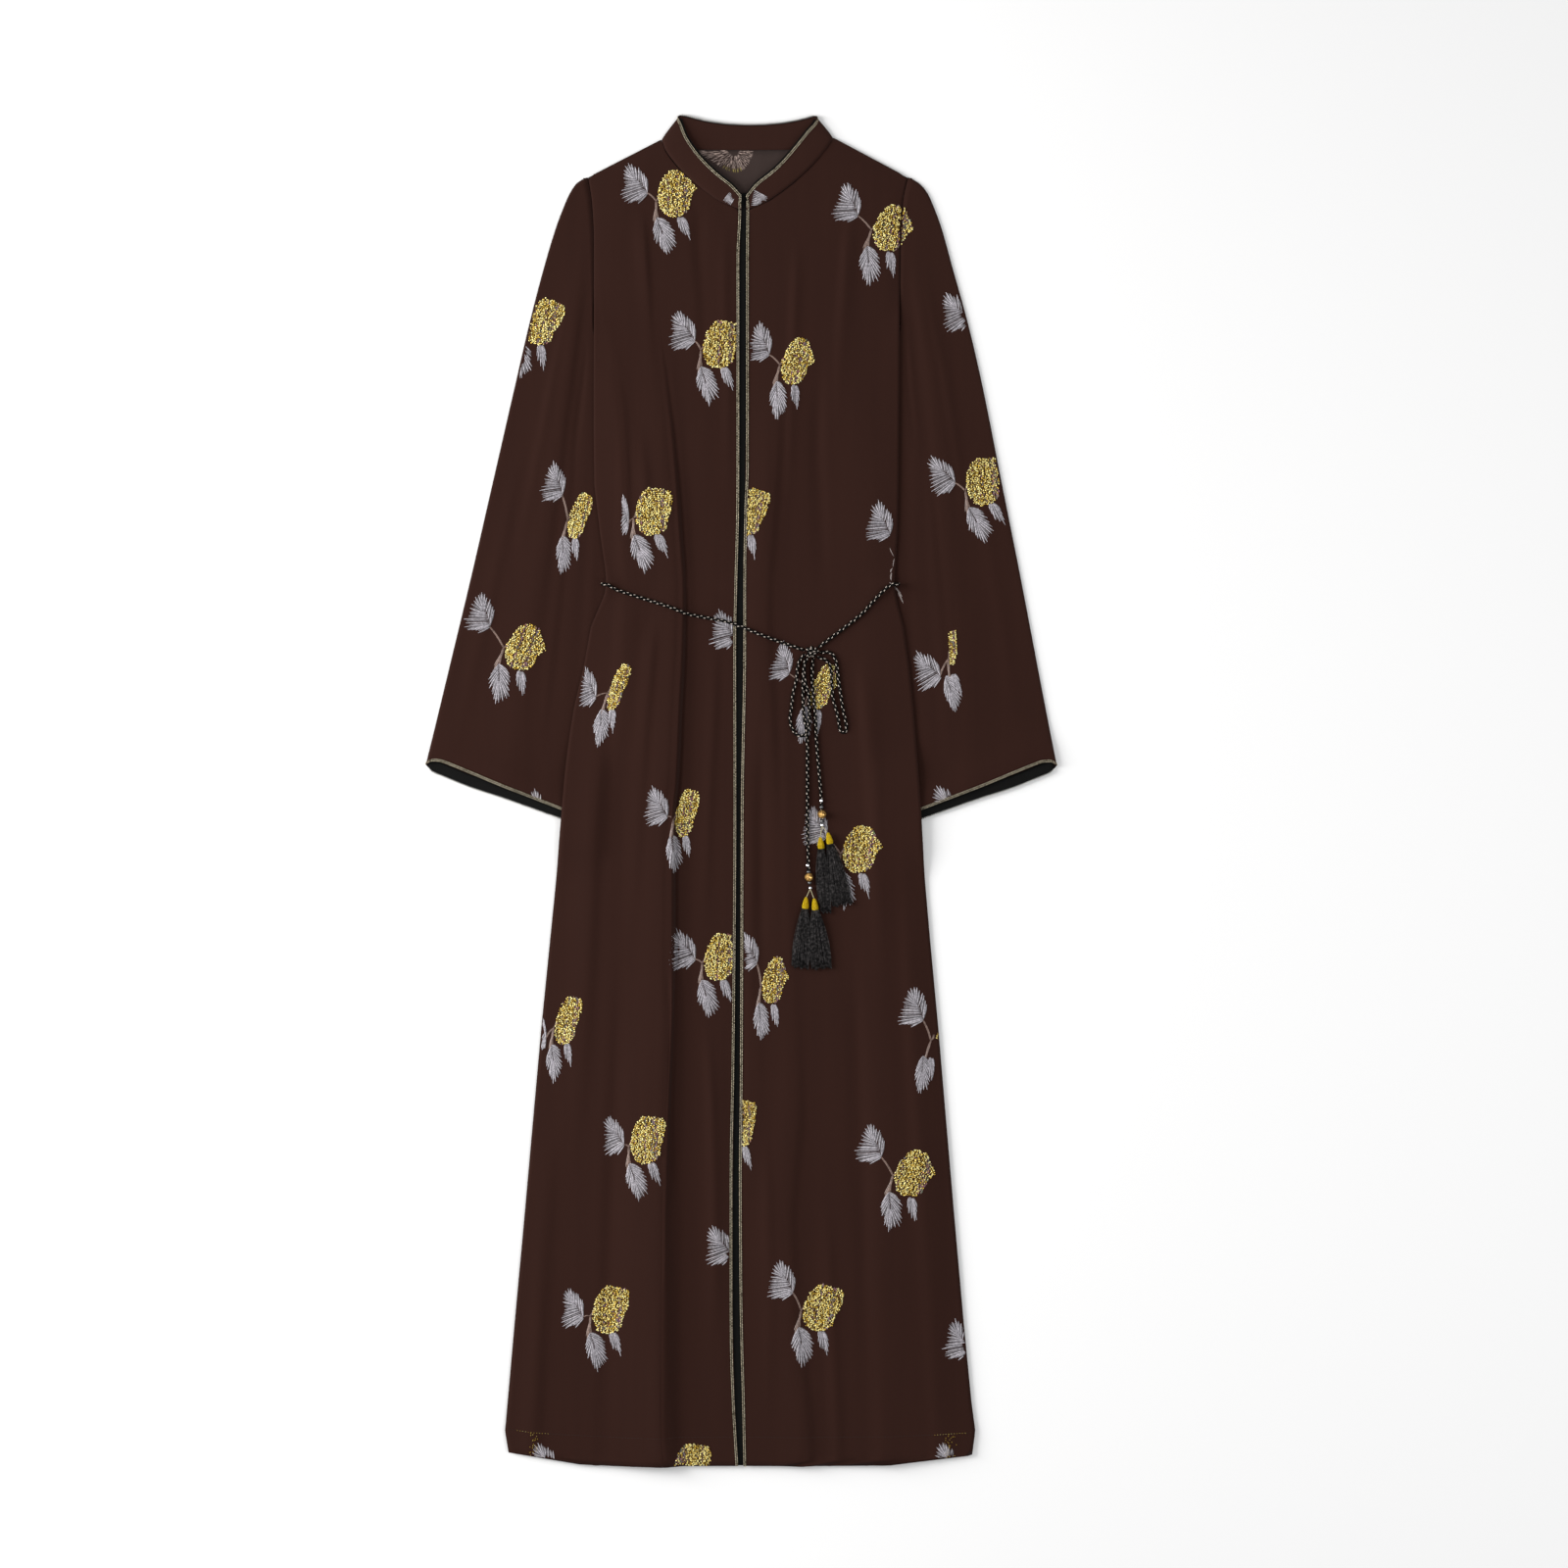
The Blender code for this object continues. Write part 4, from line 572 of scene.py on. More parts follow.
off_fleck = calc(
    "ADD", calc("MULTIPLY", length_share, length_share), calc("MULTIPLY", width_share, width_share)
)
pale = calc("LESS_THAN", off_fleck, 1.0)
ways = [calc("FRACT", calc(way, around, along)) for way in ("ADD", "SUBTRACT")]
edge = calc("MAXIMUM", *(calc("ABSOLUTE", calc("SUBTRACT", way, 0.5)) for way in ways))
dome = calc("SUBTRACT", 1.0, calc("MULTIPLY", calc("MULTIPLY", edge, edge), 4.0))
soft = calc("SMOOTH_MIN", dome, 0.7, 0.3)
braid_group.links.new(pale, group_out.inputs["Pale"])
braid_group.links.new(soft, group_out.inputs["Height"])

belt_look = Look("belt_braid", 0.85, 0.06)
around, along = belt_look.round_and_along()
strands = belt_look.add("ShaderNodeGroup", {"node_tree": braid_group}, Around=around, Along=along)
black = belt_look.mix(belt_look.noise(900.0, 3.0), *STRAND_BLACKS)
belt_look.feed("Base Color", belt_look.mix(strands.outputs["Pale"], black, STRAND_PALE))
belt_look.relief(strands.outputs["Height"], 0.7, 0.0006)

waist_right = lying_route(BELT_RIGHT_ROUTE, "belt_waist")
waist_left = lying_route(BELT_LEFT_ROUTE, "belt_waist")
bend = (BELT_HIGH - BELT_LOW) / 2
turns = []
for side, edge_x in BELT_TURNS:
    arc = []
    for degrees in range(90, -91, -30):
        angle = math.radians(degrees)
        x = edge_x + side * bend * math.cos(angle)
        arc.append(place(x, BELT_BACK_DOWN, BELT_LOW + bend + bend * math.sin(angle)))
    turns.append(arc)
behind = [place(x, BELT_BACK_DOWN, z) for x, z in BELT_BEHIND]
waist_points = waist_right[::-1] + turns[0] + behind + turns[1][::-1] + waist_left[::-1]
cord_paths = {"belt_waist": eased(even_points(waist_points, PATH_STEP), WAIST_SWEEPS)}
for name, route in BOW_ROUTES.items():
    cord_paths[name] = lying_route(route, name)

cords = {}
for name, path in cord_paths.items():
    cords[name] = cord_mesh(name + "_braid", even_points(path, BRAID_STEP), BELT_RADIUS)
    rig.replaces(cords[name], name)
    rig.slot(cords[name], "belt_cord")
    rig.ride(cords[name], "root")


# The bow's knot: the cord wrapped over itself. Three wraps lie across the loops' roots and two
# slant over them. It is tied from the same cord as the belt.
KNOT_HALF_HEIGHT = 0.0046
WRAP_RADIUS = BELT_RADIUS * 0.97
WRAP_STEPS = 24
KNOT_WRAPS = (  # slant in degrees, off the middle, reach, and how far it lies below the top
    (74.0, -0.0034, 0.0042, 0.0008), (90.0, 0.0002, 0.0046, 0.0008), (104.0, 0.0036, 0.0040, 0.0008),
    (16.0, -0.0022, 0.0056, 0.0), (-14.0, 0.0014, 0.0056, 0.0),
)

low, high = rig.box("belt_knot")
knot_middle = (low + high) / 2
wraps = []
for slant, off, reach, below in KNOT_WRAPS:
    ahead = Vector((math.cos(math.radians(slant)), math.sin(math.radians(slant)), 0))
    aside = Vector((-ahead.y, ahead.x, 0))
    lift = KNOT_HALF_HEIGHT - WRAP_RADIUS - below
    arc = []
    for i in range(WRAP_STEPS + 1):
        angle = math.pi * (i / WRAP_STEPS * 1.5 - 0.25)
        over = ahead * math.cos(angle) * reach + Vector((0, 0, lift * math.sin(angle)))
        arc.append(knot_middle + aside * off + over)
    wraps.append(cord_mesh("belt_knot_wrap", arc, WRAP_RADIUS))
knot = wraps[0]
with bpy.context.temp_override(active_object=knot, selected_editable_objects=wraps):
    bpy.ops.object.join()
knot.name = "belt_knot_wraps"
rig.replaces(knot, "belt_knot")
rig.slot(knot, "belt_cord")
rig.ride(knot, "root")


# The ends of the belt: on each tail a small silver bead, a black one, a cut gold bead, then black
# and silver again. Glass and metal beads, threaded on the cord's end.
GOLD_BEAD_RADIUS = 0.0046
GOLD_ROUNDS = 10
SMALL_ROUNDS = 8
BEAD_LIFT = 0.0012


def brushed_metal(name, light, dark, roughness, scale, metallic=1.0):
    """Metal or foil with fine uneven wear in its colour and its polish."""
    look = Look(name, roughness, 0.5, metallic)
    spots = look.spread(look.noise(scale, 3.0), 0.40, 0.58)
    look.feed("Base Color", look.mix(spots, dark, light))
    look.feed("Roughness", look.spread(spots, 0.0, 1.0, roughness * 1.5, roughness * 0.6))
    return look


def faceted_bead(name, centre, radius, look, rounds):
    """A bead cut in flat facets, with its poles in line with the cord."""
    bpy.ops.object.select_all(action="DESELECT")
    bpy.ops.mesh.primitive_uv_sphere_add(segments=rounds, ring_count=7, radius=radius, location=centre)
    bead = bpy.context.active_object
    bead.name = name
    for vertex in bead.data.vertices:
        x, y, z = vertex.co
        wide = 1.0 + 0.05 * (1.0 - abs(z) / radius)
        vertex.co = Vector((x * wide, z, y * wide)) + centre
    bead.location = (0, 0, 0)
    bpy.ops.object.mode_set(mode="EDIT")
    bpy.ops.mesh.select_all(action="SELECT")
    bpy.ops.mesh.normals_make_consistent(inside=False)
    bpy.ops.object.mode_set(mode="OBJECT")
    bead.data.materials.append(look.material)
    return bead


gold_look = brushed_metal("cut_gold", (0.95, 0.56, 0.17), (0.16, 0.08, 0.02), 0.24, 620.0, 0.7)
glass_looks = {
    "silver": brushed_metal("silver_glass", (0.80, 0.80, 0.82), (0.42, 0.42, 0.46), 0.25, 900.0),
    "jet": brushed_metal("jet_glass", (0.030, 0.030, 0.032), (0.006, 0.006, 0.007), 0.12, 600.0, 0.0),
}

# Small beads on each tail: x, down, radius, silver or jet
SMALL_BEADS = {
    "bead_left": (
        (0.0861, 0.7401, 0.0021, "silver"), (0.0864, 0.7471, 0.0023, "jet"),
        (0.0870, 0.7621, 0.0023, "jet"), (0.0869, 0.7664, 0.0020, "silver"),
    ),
    "bead_right": (
        (0.0715, 0.8098, 0.0021, "silver"), (0.0724, 0.8168, 0.0023, "jet"),
        (0.0735, 0.8285, 0.0022, "jet"), (0.0742, 0.8341, 0.0020, "silver"),
    ),
}
end_pieces = {}
for node, rows in SMALL_BEADS.items():
    low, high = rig.box(node)
    middle = (low + high) / 2
    bead = faceted_bead(node + "_cut_gold", middle, GOLD_BEAD_RADIUS, gold_look, GOLD_ROUNDS)
    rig.replaces(bead, node)
    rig.slot(bead, "gold_bead")
    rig.ride(bead, "root")
    end_pieces[node] = [bead]
    for number, (x, down, radius, kind) in enumerate(rows, 1):
        centre = place(x, down, middle.z - GOLD_BEAD_RADIUS + radius + BEAD_LIFT)
        small = faceted_bead(f"{node}_{kind}_{number}", centre, radius, glass_looks[kind], SMALL_ROUNDS)
        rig.slot(small, "gold_bead")
        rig.ride(small, "root")
        end_pieces[node].append(small)


# Four tassels, two below each gold bead, each on its own thin thread. A tassel has a tapered head
# wound with bright gold thread and a skirt of fine charcoal threads, which fan out on the cloth.
TASSELS = {  # its head's start, its skirt's tip, half the fan's width, and where it hangs from
    "tassel_right_outer": ((0.0699, 0.8440), (0.0632, 0.9205), 0.0094, (0.0742, 0.8352)),
    "tassel_right_inner": ((0.0784, 0.8455), (0.0866, 0.9215), 0.0110, (0.0744, 0.8352)),
    "tassel_left_inner": ((0.0851, 0.7795), (0.0914, 0.8610), 0.0054, (0.0868, 0.7676)),
    "tassel_left_outer": ((0.0932, 0.7745), (0.1094, 0.8530), 0.0108, (0.0870, 0.7676)),
}
HEAD_LENGTH = 0.0125
HEAD_PROFILE = (
    (0.0, 0.0011), (0.12, 0.0018), (0.45, 0.0030), (0.80, 0.0037), (0.93, 0.0036), (1.0, 0.0032),
)
HEAD_WIDEST = 0.0037
HEAD_TURNS = 24
HEAD_WINDING = (-0.00006, 0.00016)
HEAD_SIDES = 14
HEAD_COVERS = 0.0012
THREADS = 132
THREAD_RADIUS = 0.00034
THREAD_TAPER = (1.1, 1.0, 1.0, 1.0, 0.95, 0.6)
HANG_RADIUS = 0.00050
SKIRT_HALF_WIDTH = 0.0034
SKIRT_HALF_HEIGHT = 0.0028
SKIRT_BULGE = 0.0026

thread_look = Look("tassel_thread", 0.6, 0.2)
tone = thread_look.spread(thread_look.noise(420.0), 0.42, 0.74)
thread_look.feed("Base Color", thread_look.mix(tone, (0.005, 0.0045, 0.0045), (0.085, 0.076, 0.076)))
wound_look = Look("wound_gold", 0.32, 0.5, 0.45)
around, along = wound_look.round_and_along()
calc = wound_look.calc
winding = calc("MULTIPLY", calc("ADD", along, calc("MULTIPLY", around, 0.0007)), 9000.0)
groove = calc("ABSOLUTE", calc("SINE", winding))
shade = calc("MULTIPLY", groove, calc("ADD", wound_look.noise(500.0), 0.45))
wound_look.feed("Base Color", wound_look.mix(shade, (0.42, 0.20, 0.002), (1.0, 0.74, 0.010)))
wound_look.relief(groove, 0.8, 0.0004)
hang_look = Look("pale_cord", 0.5, 0.4)
hang_look.feed("Base Color", hang_look.mix(hang_look.noise(1100.0), (0.20, 0.17, 0.08), (0.80, 0.74, 0.48)))

cad_trees = {}


def node_top(node, x, y):
    """The height of a solid's top at a place, or None."""
    if node not in cad_trees:
        cad_trees[node] = tree_of(frame["nodes"][node])
    return top_at(cad_trees[node], x, y)


def add_thread(mesh, points, radii):
    """A three-sided thread through points that each have a radius."""
    rings = []
    for i, (point, radius) in enumerate(zip(points, radii)):
        ahead = (points[min(i + 1, len(points) - 1)] - points[max(i - 1, 0)]).normalized()
        across = ahead.cross(UP).normalized()
        up = across.cross(ahead)
        corners = [point + (across * c + up * s) * radius for c, s in circle(3, math.pi / 2)]
        rings.append([mesh.verts.new(corner) for corner in corners])
    skin(mesh, rings)


def tassel_skirt(mesh, name, root, axis, across, length, spread, low_tip):
    """Threads from the head's mouth to the tip, which settle on the cloth and fan out."""
    rng = random.Random(name)
    for number in range(THREADS):
        side = (number + rng.random()) / THREADS * 2 - 1
        level = rng.random() * 2 - 1
        narrow = math.sqrt(max(0.05, 1 - level * level))
        begin = root + across * side * narrow * SKIRT_HALF_WIDTH + UP * level * SKIRT_HALF_HEIGHT
        reach = length * (1.0 - 0.05 * rng.random() ** 2) + 0.0012 * math.sin(9 * side)
        finish = root + axis * reach + across * side * spread
        finish.z = low_tip - 0.0010 + level * 0.0016 * (1 - side * side)
        sway = across * (rng.random() - 0.5) * 0.0024
        points = []
        for i in range(len(THREAD_TAPER)):
            t = i / (len(THREAD_TAPER) - 1)
            point = begin.lerp(finish, t)
            point.z = begin.z + (finish.z - begin.z) * smoothstep(t * 1.4)
            point += (sway + across * side * narrow * SKIRT_BULGE) * math.sin(math.pi * t)
            points.append(point)
        add_thread(mesh, points, [THREAD_RADIUS * taper for taper in THREAD_TAPER])


for name, (head, tip, spread, hangs_from) in TASSELS.items():
    start, end = place(*head), place(*tip)
    axis = (end - start).normalized()
    across = Vector((-axis.y, axis.x, 0))
    tops = [node_top(name, *(start + axis * HEAD_LENGTH * share).xy) for share in (0.7, 0.8, 0.9)]
    centre = Vector((start.x, start.y, max(top for top in tops if top) - HEAD_WIDEST))
    tips = [node_top(name, *(end - axis * 0.006 + across * share * spread).xy) for share in (-0.6, 0, 0.6)]
    mesh = bmesh.new()
    mesh.loops.layers.uv.new("along")
    rings = []
    for i in range(HEAD_TURNS + 1):
        share = i / HEAD_TURNS
        radius = smooth_value(HEAD_PROFILE, 1, share) + HEAD_WINDING[i % 2]
        middle = centre + axis * share * HEAD_LENGTH
        corners = [middle + (across * c + UP * s) * radius for c, s in circle(HEAD_SIDES)]
        rings.append([mesh.verts.new(corner) for corner in corners])
    skin(mesh, rings, lengths=[i / HEAD_TURNS * HEAD_LENGTH for i in range(HEAD_TURNS + 1)])
    head_faces = len(mesh.faces)
    knotted, mouth = place(*hangs_from, centre.z - 0.0004), centre + axis * 0.0008
    add_thread(mesh, [knotted.lerp(mouth, t / 4) for t in range(5)], [HANG_RADIUS] * 5)
    hang_faces = len(mesh.faces)
    root = centre + axis * (HEAD_LENGTH - HEAD_COVERS)
    length = (end - start).length - HEAD_LENGTH + HEAD_COVERS
    tassel_skirt(mesh, name, root, axis, across, length, spread, min(top for top in tips if top))
    for number, face in enumerate(mesh.faces):
        face.material_index = 0 if number < head_faces else 1 if number < hang_faces else 2
    bmesh.ops.recalc_face_normals(mesh, faces=mesh.faces)
    tassel = object_of(name + "_threads", mesh, wound_look, hang_look, thread_look)
    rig.replaces(tassel, name)
    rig.slot(tassel, "tassel")
    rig.ride(tassel, "root")


# The belt's five runs, declared as lengths of the one cord. A run's path is a few of its points,
# closer together where it turns.
BELT_RUNS = {  # length, points in its path, far end, and the pieces that ride on it
    "belt_waist": (0.676, 40, "object", [knot]),
    "belt_loop_right": (0.188, 32, "object", []),
    "belt_loop_left": (0.190, 32, "object", []),
    "belt_tail_right": (0.234, 24, "fitting", end_pieces["bead_right"]),
    "belt_tail_left": (0.165, 20, "fitting", end_pieces["bead_left"]),
}
TURN_WEIGHT = 0.05


def route_points(points, count):
    weights = [0.0]
    for i in range(1, len(points)):
        step = points[i] - points[i - 1]
        turn = step.angle(points[i + 1] - points[i]) if i + 1 < len(points) else 0.0
        weights.append(weights[-1] + step.length + TURN_WEIGHT * turn)
    at = [weights[-1] * k / (count - 1) for k in range(count)]
    return [tuple(float(np.interp(w, weights, [p[c] for p in points])) for c in range(3)) for w in at]


for name, (length, count, far_end, pieces) in BELT_RUNS.items():
    path = route_points(cord_paths[name], count)
    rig.cord(
        cords[name], exit=path[0], length=length, diameter=2 * BELT_RADIUS, far_end=far_end,
        stiffness="limp", lay="loose", path=path, with_pieces=pieces,
    )


# The cloth is a fine dark brown crepe with a dry, matt face. Its weave is a tight grid with a
# pebbled grain, and its tone drifts a little along the warp. Every cut piece is a thin shell on
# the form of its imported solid.
SHELL = 0.0006
CREPE_DARK = (0.0215, 0.0067, 0.0042)
CREPE_LIGHT = (0.0275, 0.0089, 0.0054)

weave_group, group_in, group_out = new_group(
    "crepe_weave",
    [("Place", "NodeSocketVector", (0, 0, 0)), ("Pitch", "NodeSocketFloat", 0.0005)],
    [("Height", "NodeSocketFloat"), ("Tone", "NodeSocketFloat")],
)
add, calc = node_maker(weave_group)
split = add("ShaderNodeSeparateXYZ", Vector=group_in.outputs["Place"])
turns_per = calc("DIVIDE", 2 * math.pi, group_in.outputs["Pitch"])
warp = calc("SINE", calc("MULTIPLY", split.outputs[0], turns_per))
weft = calc("SINE", calc("MULTIPLY", split.outputs[1], turns_per))
pebble = add("ShaderNodeTexNoise", Scale=1500.0, Detail=3.0, Roughness=0.6, Vector=group_in.outputs["Place"])
slub = add("ShaderNodeMapping", Scale=(95.0, 5.0, 40.0), Vector=group_in.outputs["Place"])
slub = add("ShaderNodeTexNoise", Scale=1.0, Detail=2.0, Vector=slub.outputs[0])
drift = add("ShaderNodeTexNoise", Scale=7.0, Detail=2.0, Vector=group_in.outputs["Place"])
grid_height = calc("MULTIPLY", calc("ADD", warp, weft), 0.18)
weave_group.links.new(calc("ADD", grid_height, pebble.outputs[0]), group_out.inputs["Height"])
tone = calc("ADD", calc("MULTIPLY", slub.outputs[0], 0.55), calc("MULTIPLY", drift.outputs[0], 0.45))
weave_group.links.new(tone, group_out.inputs["Tone"])


def crepe_look(name, dark=CREPE_DARK, light=CREPE_LIGHT):
    look = Look(name, 0.88, 0.12)
    look.shader.inputs["Sheen Weight"].default_value = 0.03
    look.shader.inputs["Sheen Roughness"].default_value = 0.5
    weave = look.add("ShaderNodeGroup", {"node_tree": weave_group}, Place=look.place_on())
    look.feed("Base Color", look.mix(weave.outputs["Tone"], dark, light))
    look.relief(weave.outputs["Height"], 0.35, 0.0003)
    return look


# Small creases of the fronts and the back, by hand and in millimetres: how far each one spreads
# towards -X and towards +X, then its points of down, x and height. A minus height is a trough.
CREASES = {
    "front_right": (
        (9, 4, ((100, -108, 0), (150, -104, 1.2), (235, -99, 0.4), (300, -96, 0))),
        (5, 9, ((90, -46, 0), (130, -47, -1), (215, -42, -0.8), (330, -41, 0))),
        (6, 4, ((110, -16.5, 0), (180, -17.5, 0.9), (310, -13.5, 0.7), (420, -14, 0))),
        (12, 6, ((330, -111, 0), (400, -104, 1.2), (470, -101, 0.6), (520, -98, 0))),
        (10, 5, ((545, -94, 0), (590, -98, 1.4), (720, -108, 0.9), (900, -118, 0))),
        (16, 8, ((640, -150, 0), (760, -158, 1.6), (930, -166, 1.3), (1150, -181, 0))),
        (7, 12, ((900, -128, 0), (1050, -136, -1), (1230, -143, -1.2), (1457, -150, -0.4))),
        (6, 6, ((980, -38, 0), (1070, -32, 1.2), (1190, -29, 1), (1330, -30, 0))),
        (13, 7, ((1090, -205, 0), (1220, -213, 1), (1380, -222, 1.4), (1457, -226, 1))),
        (2.5, 12, (
            (300, -74.5, 0), (420, -63, -0.5), (519, -57.5, -0.6), (641, -61.5, -0.6), (760, -69, -0.6),
            (954, -69, -0.6), (1091, -74.3, -0.6), (1256, -76.4, -0.6), (1400, -72.2, -0.5),
            (1457, -69, -0.3),
        )),
        (8, 5, ((565, -27, 0), (650, -30, 0.8), (790, -37, 0.6), (880, -40, 0))),
    ),
    "front_left": (
        (4, 8, ((620, 23, 0), (760, 20, -0.8), (900, 18.5, -0.8), (1010, 18, 0))),
        (5, 10, ((100, 118, 0), (160, 112, 1.2), (260, 106, 0.6), (340, 104, 0))),
        (4, 7, ((130, 60, 0), (200, 57, 1), (330, 53, 0.7), (430, 51, 0))),
        (9, 6, ((250, 86, 0), (350, 83, -1), (450, 87, -0.6), (520, 89, 0))),
        (6, 13, ((585, 130, 0), (640, 134, 1.4), (760, 142, 1), (930, 150, 0))),
        (5, 9, ((590, 46, 0), (680, 47, 0.4), (840, 51, 0.4), (990, 58, 0))),
        (12, 7, ((880, 118, 0), (1010, 126, -1.1), (1180, 132, -1.2), (1457, 140, -0.4))),
        (8, 16, ((800, 176, 0), (960, 183, 1.3), (1160, 196, 1.5), (1457, 214, 0.8))),
        (6, 6, ((1170, 92, 0), (1260, 95, 1), (1380, 101, 1.2), (1457, 104, 0.9))),
        (7, 5, ((1090, 26, 0), (1160, 28, 0.9), (1300, 31, 0.7), (1420, 30, 0))),
    ),
    "back": (
        (12, 8, ((520, -60, 0), (650, -66, 0.4), (900, -78, 0.5), (1300, -90, 0))),
        (7, 12, ((530, 50, 0), (700, 56, 0.5), (1000, 67, 0.4), (1457, 84, 0.2))),
        (10, 10, ((150, 4, 0), (260, 2, 0.3), (400, 4, 0.3), (480, 3, 0))),
    ),
}
# The deepest fold of the right front: down, its crest's x. It falls off steeply beyond the crest.
DEEP_FOLD = (
    (0.2200, -0.0920), (0.2625, -0.0861), (0.3735, -0.0734), (0.4500, -0.0680), (0.5193, -0.0639),
    (0.5800, -0.0650), (0.6408, -0.0681), (0.7179, -0.0713), (0.7600, -0.0755), (0.9545, -0.0755),
    (1.0908, -0.0808), (1.2557, -0.0829), (1.4014, -0.0787), (1.4575, -0.0755),
)
DEEP_FOLD_STEEP = 0.0052
HEM_LINE = (
    (-0.2551, 1.4490), (-0.2076, 1.4540), (-0.1125, 1.4575), (0.0800, 1.4575), (0.2467, 1.4530),
    (0.2525, 1.4480),
)
HEM_EASE_FROM = 1.350
CREASE_DEPTH = 2.0
ROW_STEP = 0.0062


def with_hem(x, down):
    ease = smoothstep((down - HEM_EASE_FROM) / (GARMENT_LENGTH - HEM_EASE_FROM))
    return down - ease * (GARMENT_LENGTH - smooth_value(HEM_LINE, 1, x))


def crease_height(panel, x, down):
    """How far the creases lift a point of a panel."""
    x, down = x * 1000, down * 1000
    total = 0.0
    for before, after, rows in CREASES[panel]:
        if rows[0][0] < down <= rows[-1][0]:
            offset = x - smooth_value(rows, 1, down)
            reach = before if offset < 0 else after
            if abs(offset) < 3 * reach:
                total += smooth_value(rows, 2, down) * math.exp(-((offset / reach) ** 2))
    return CREASE_DEPTH * total / 1000


def outline_x(tree, x, level, way):
    """Where a row leaves the panel, from a place inside it."""

    def covered(at):
        return top_at(tree, at, place(0, with_hem(at, level)).y) is not None

    step = 0.004
    while covered(x + way * step):
        x += way * step
    for halving in range(12):
        step /= 2
        if covered(x + way * step):
            x += way * step
    return x


def softened(grid, along=0.009, across=0.007):
    """Heights with the solid's flat facets smoothed out, less so near the rim and at sharp crests."""
    place_in = np.array([[tuple(p) for p in row] for row in grid])
    for pass_axis, reach in ((1, across), (0, along)):
        lines = place_in if pass_axis == 1 else place_in.transpose(1, 0, 2)
        for line in lines:
            at = np.concatenate([[0], np.cumsum(np.hypot(*np.diff(line[:, :2], axis=0).T))])
            slope = np.abs(np.gradient(line[:, 2], np.maximum(at, np.arange(len(at)) * 1e-9)))
            rim = np.minimum(at, at[-1] - at)
            width = np.clip(np.minimum(reach, rim * 0.5), 0.0004, None) / (1.0 + 6.0 * slope)
            weight = np.exp(-(((at[None, :] - at[:, None]) / width[:, None]) ** 2) / 2)
            line[:, 2] = (weight @ line[:, 2]) / weight.sum(1)
    return [[Vector(p) for p in row] for row in place_in]


def shell_mesh(name, grid, look, thickness=SHELL, closed=False, outward_up=True):
    """A thin wall of cloth below a grid of points, mapped in metres across and down."""
    mesh = bmesh.new()
    uv = mesh.loops.layers.uv.new("cloth")
    points = [[mesh.verts.new(p) for p in row] for row in grid]
    for row, after in zip(points, points[1:]):
        for c in range(len(row) if closed else len(row) - 1):
            d = (c + 1) % len(row)
            face = mesh.faces.new((row[c], after[c], after[d], row[d]))
            face.smooth = True
            for loop in face.loops:
                loop[uv].uv = loop.vert.co.xy
    middle = mesh.faces[:][len(mesh.faces) // 2]
    middle.normal_update()
    if closed:
        bmesh.ops.recalc_face_normals(mesh, faces=mesh.faces)
    elif (middle.normal.z > 0) != outward_up:
        bmesh.ops.reverse_faces(mesh, faces=mesh.faces)
    obj = object_of(name, mesh, look)
    bpy.ops.object.select_all(action="DESELECT")
    obj.select_set(True)
    bpy.context.view_layer.objects.active = obj
    wall = obj.modifiers.new("wall", "SOLIDIFY")
    wall.thickness = thickness
    wall.offset = -1.0
    bpy.ops.object.modifier_apply(modifier="wall")
    return obj


def spaced(start, end, count):
    return [start + (end - start) * i / count for i in range(count)]


# The two fronts, cut in one piece from shoulder to hem. Each runs from the side seam to the front
# edge and carries its own turned-up hem. The right one holds the deepest fold.
FRONTS = {  # the side, down and x of a line inside the panel, and the size and area of its cut
    "front_right": {
        "side": -1, "cut": (0.300, 1.436), "cut_area": 0.285,
        "inside": ((0.0274, -0.0861), (0.0450, -0.0960), (0.0700, -0.1050), (0.1100, -0.1000)),
    },
    "front_left": {
        "side": 1, "cut": (0.285, 1.438), "cut_area": 0.285,
        "inside": ((0.0253, 0.0988), (0.0450, 0.1080), (0.0700, 0.1150), (0.1100, 0.1100)),
    },
}
EDGE_CLEAR = 0.0001
PLAIN_COLUMNS = 56
FOLD_COLUMNS = (34, 7, 22)
FOLD_SHARES = (0.40, 0.66)
FULL_FOLD_WIDTH = 0.12
RIM_FADE = 0.012

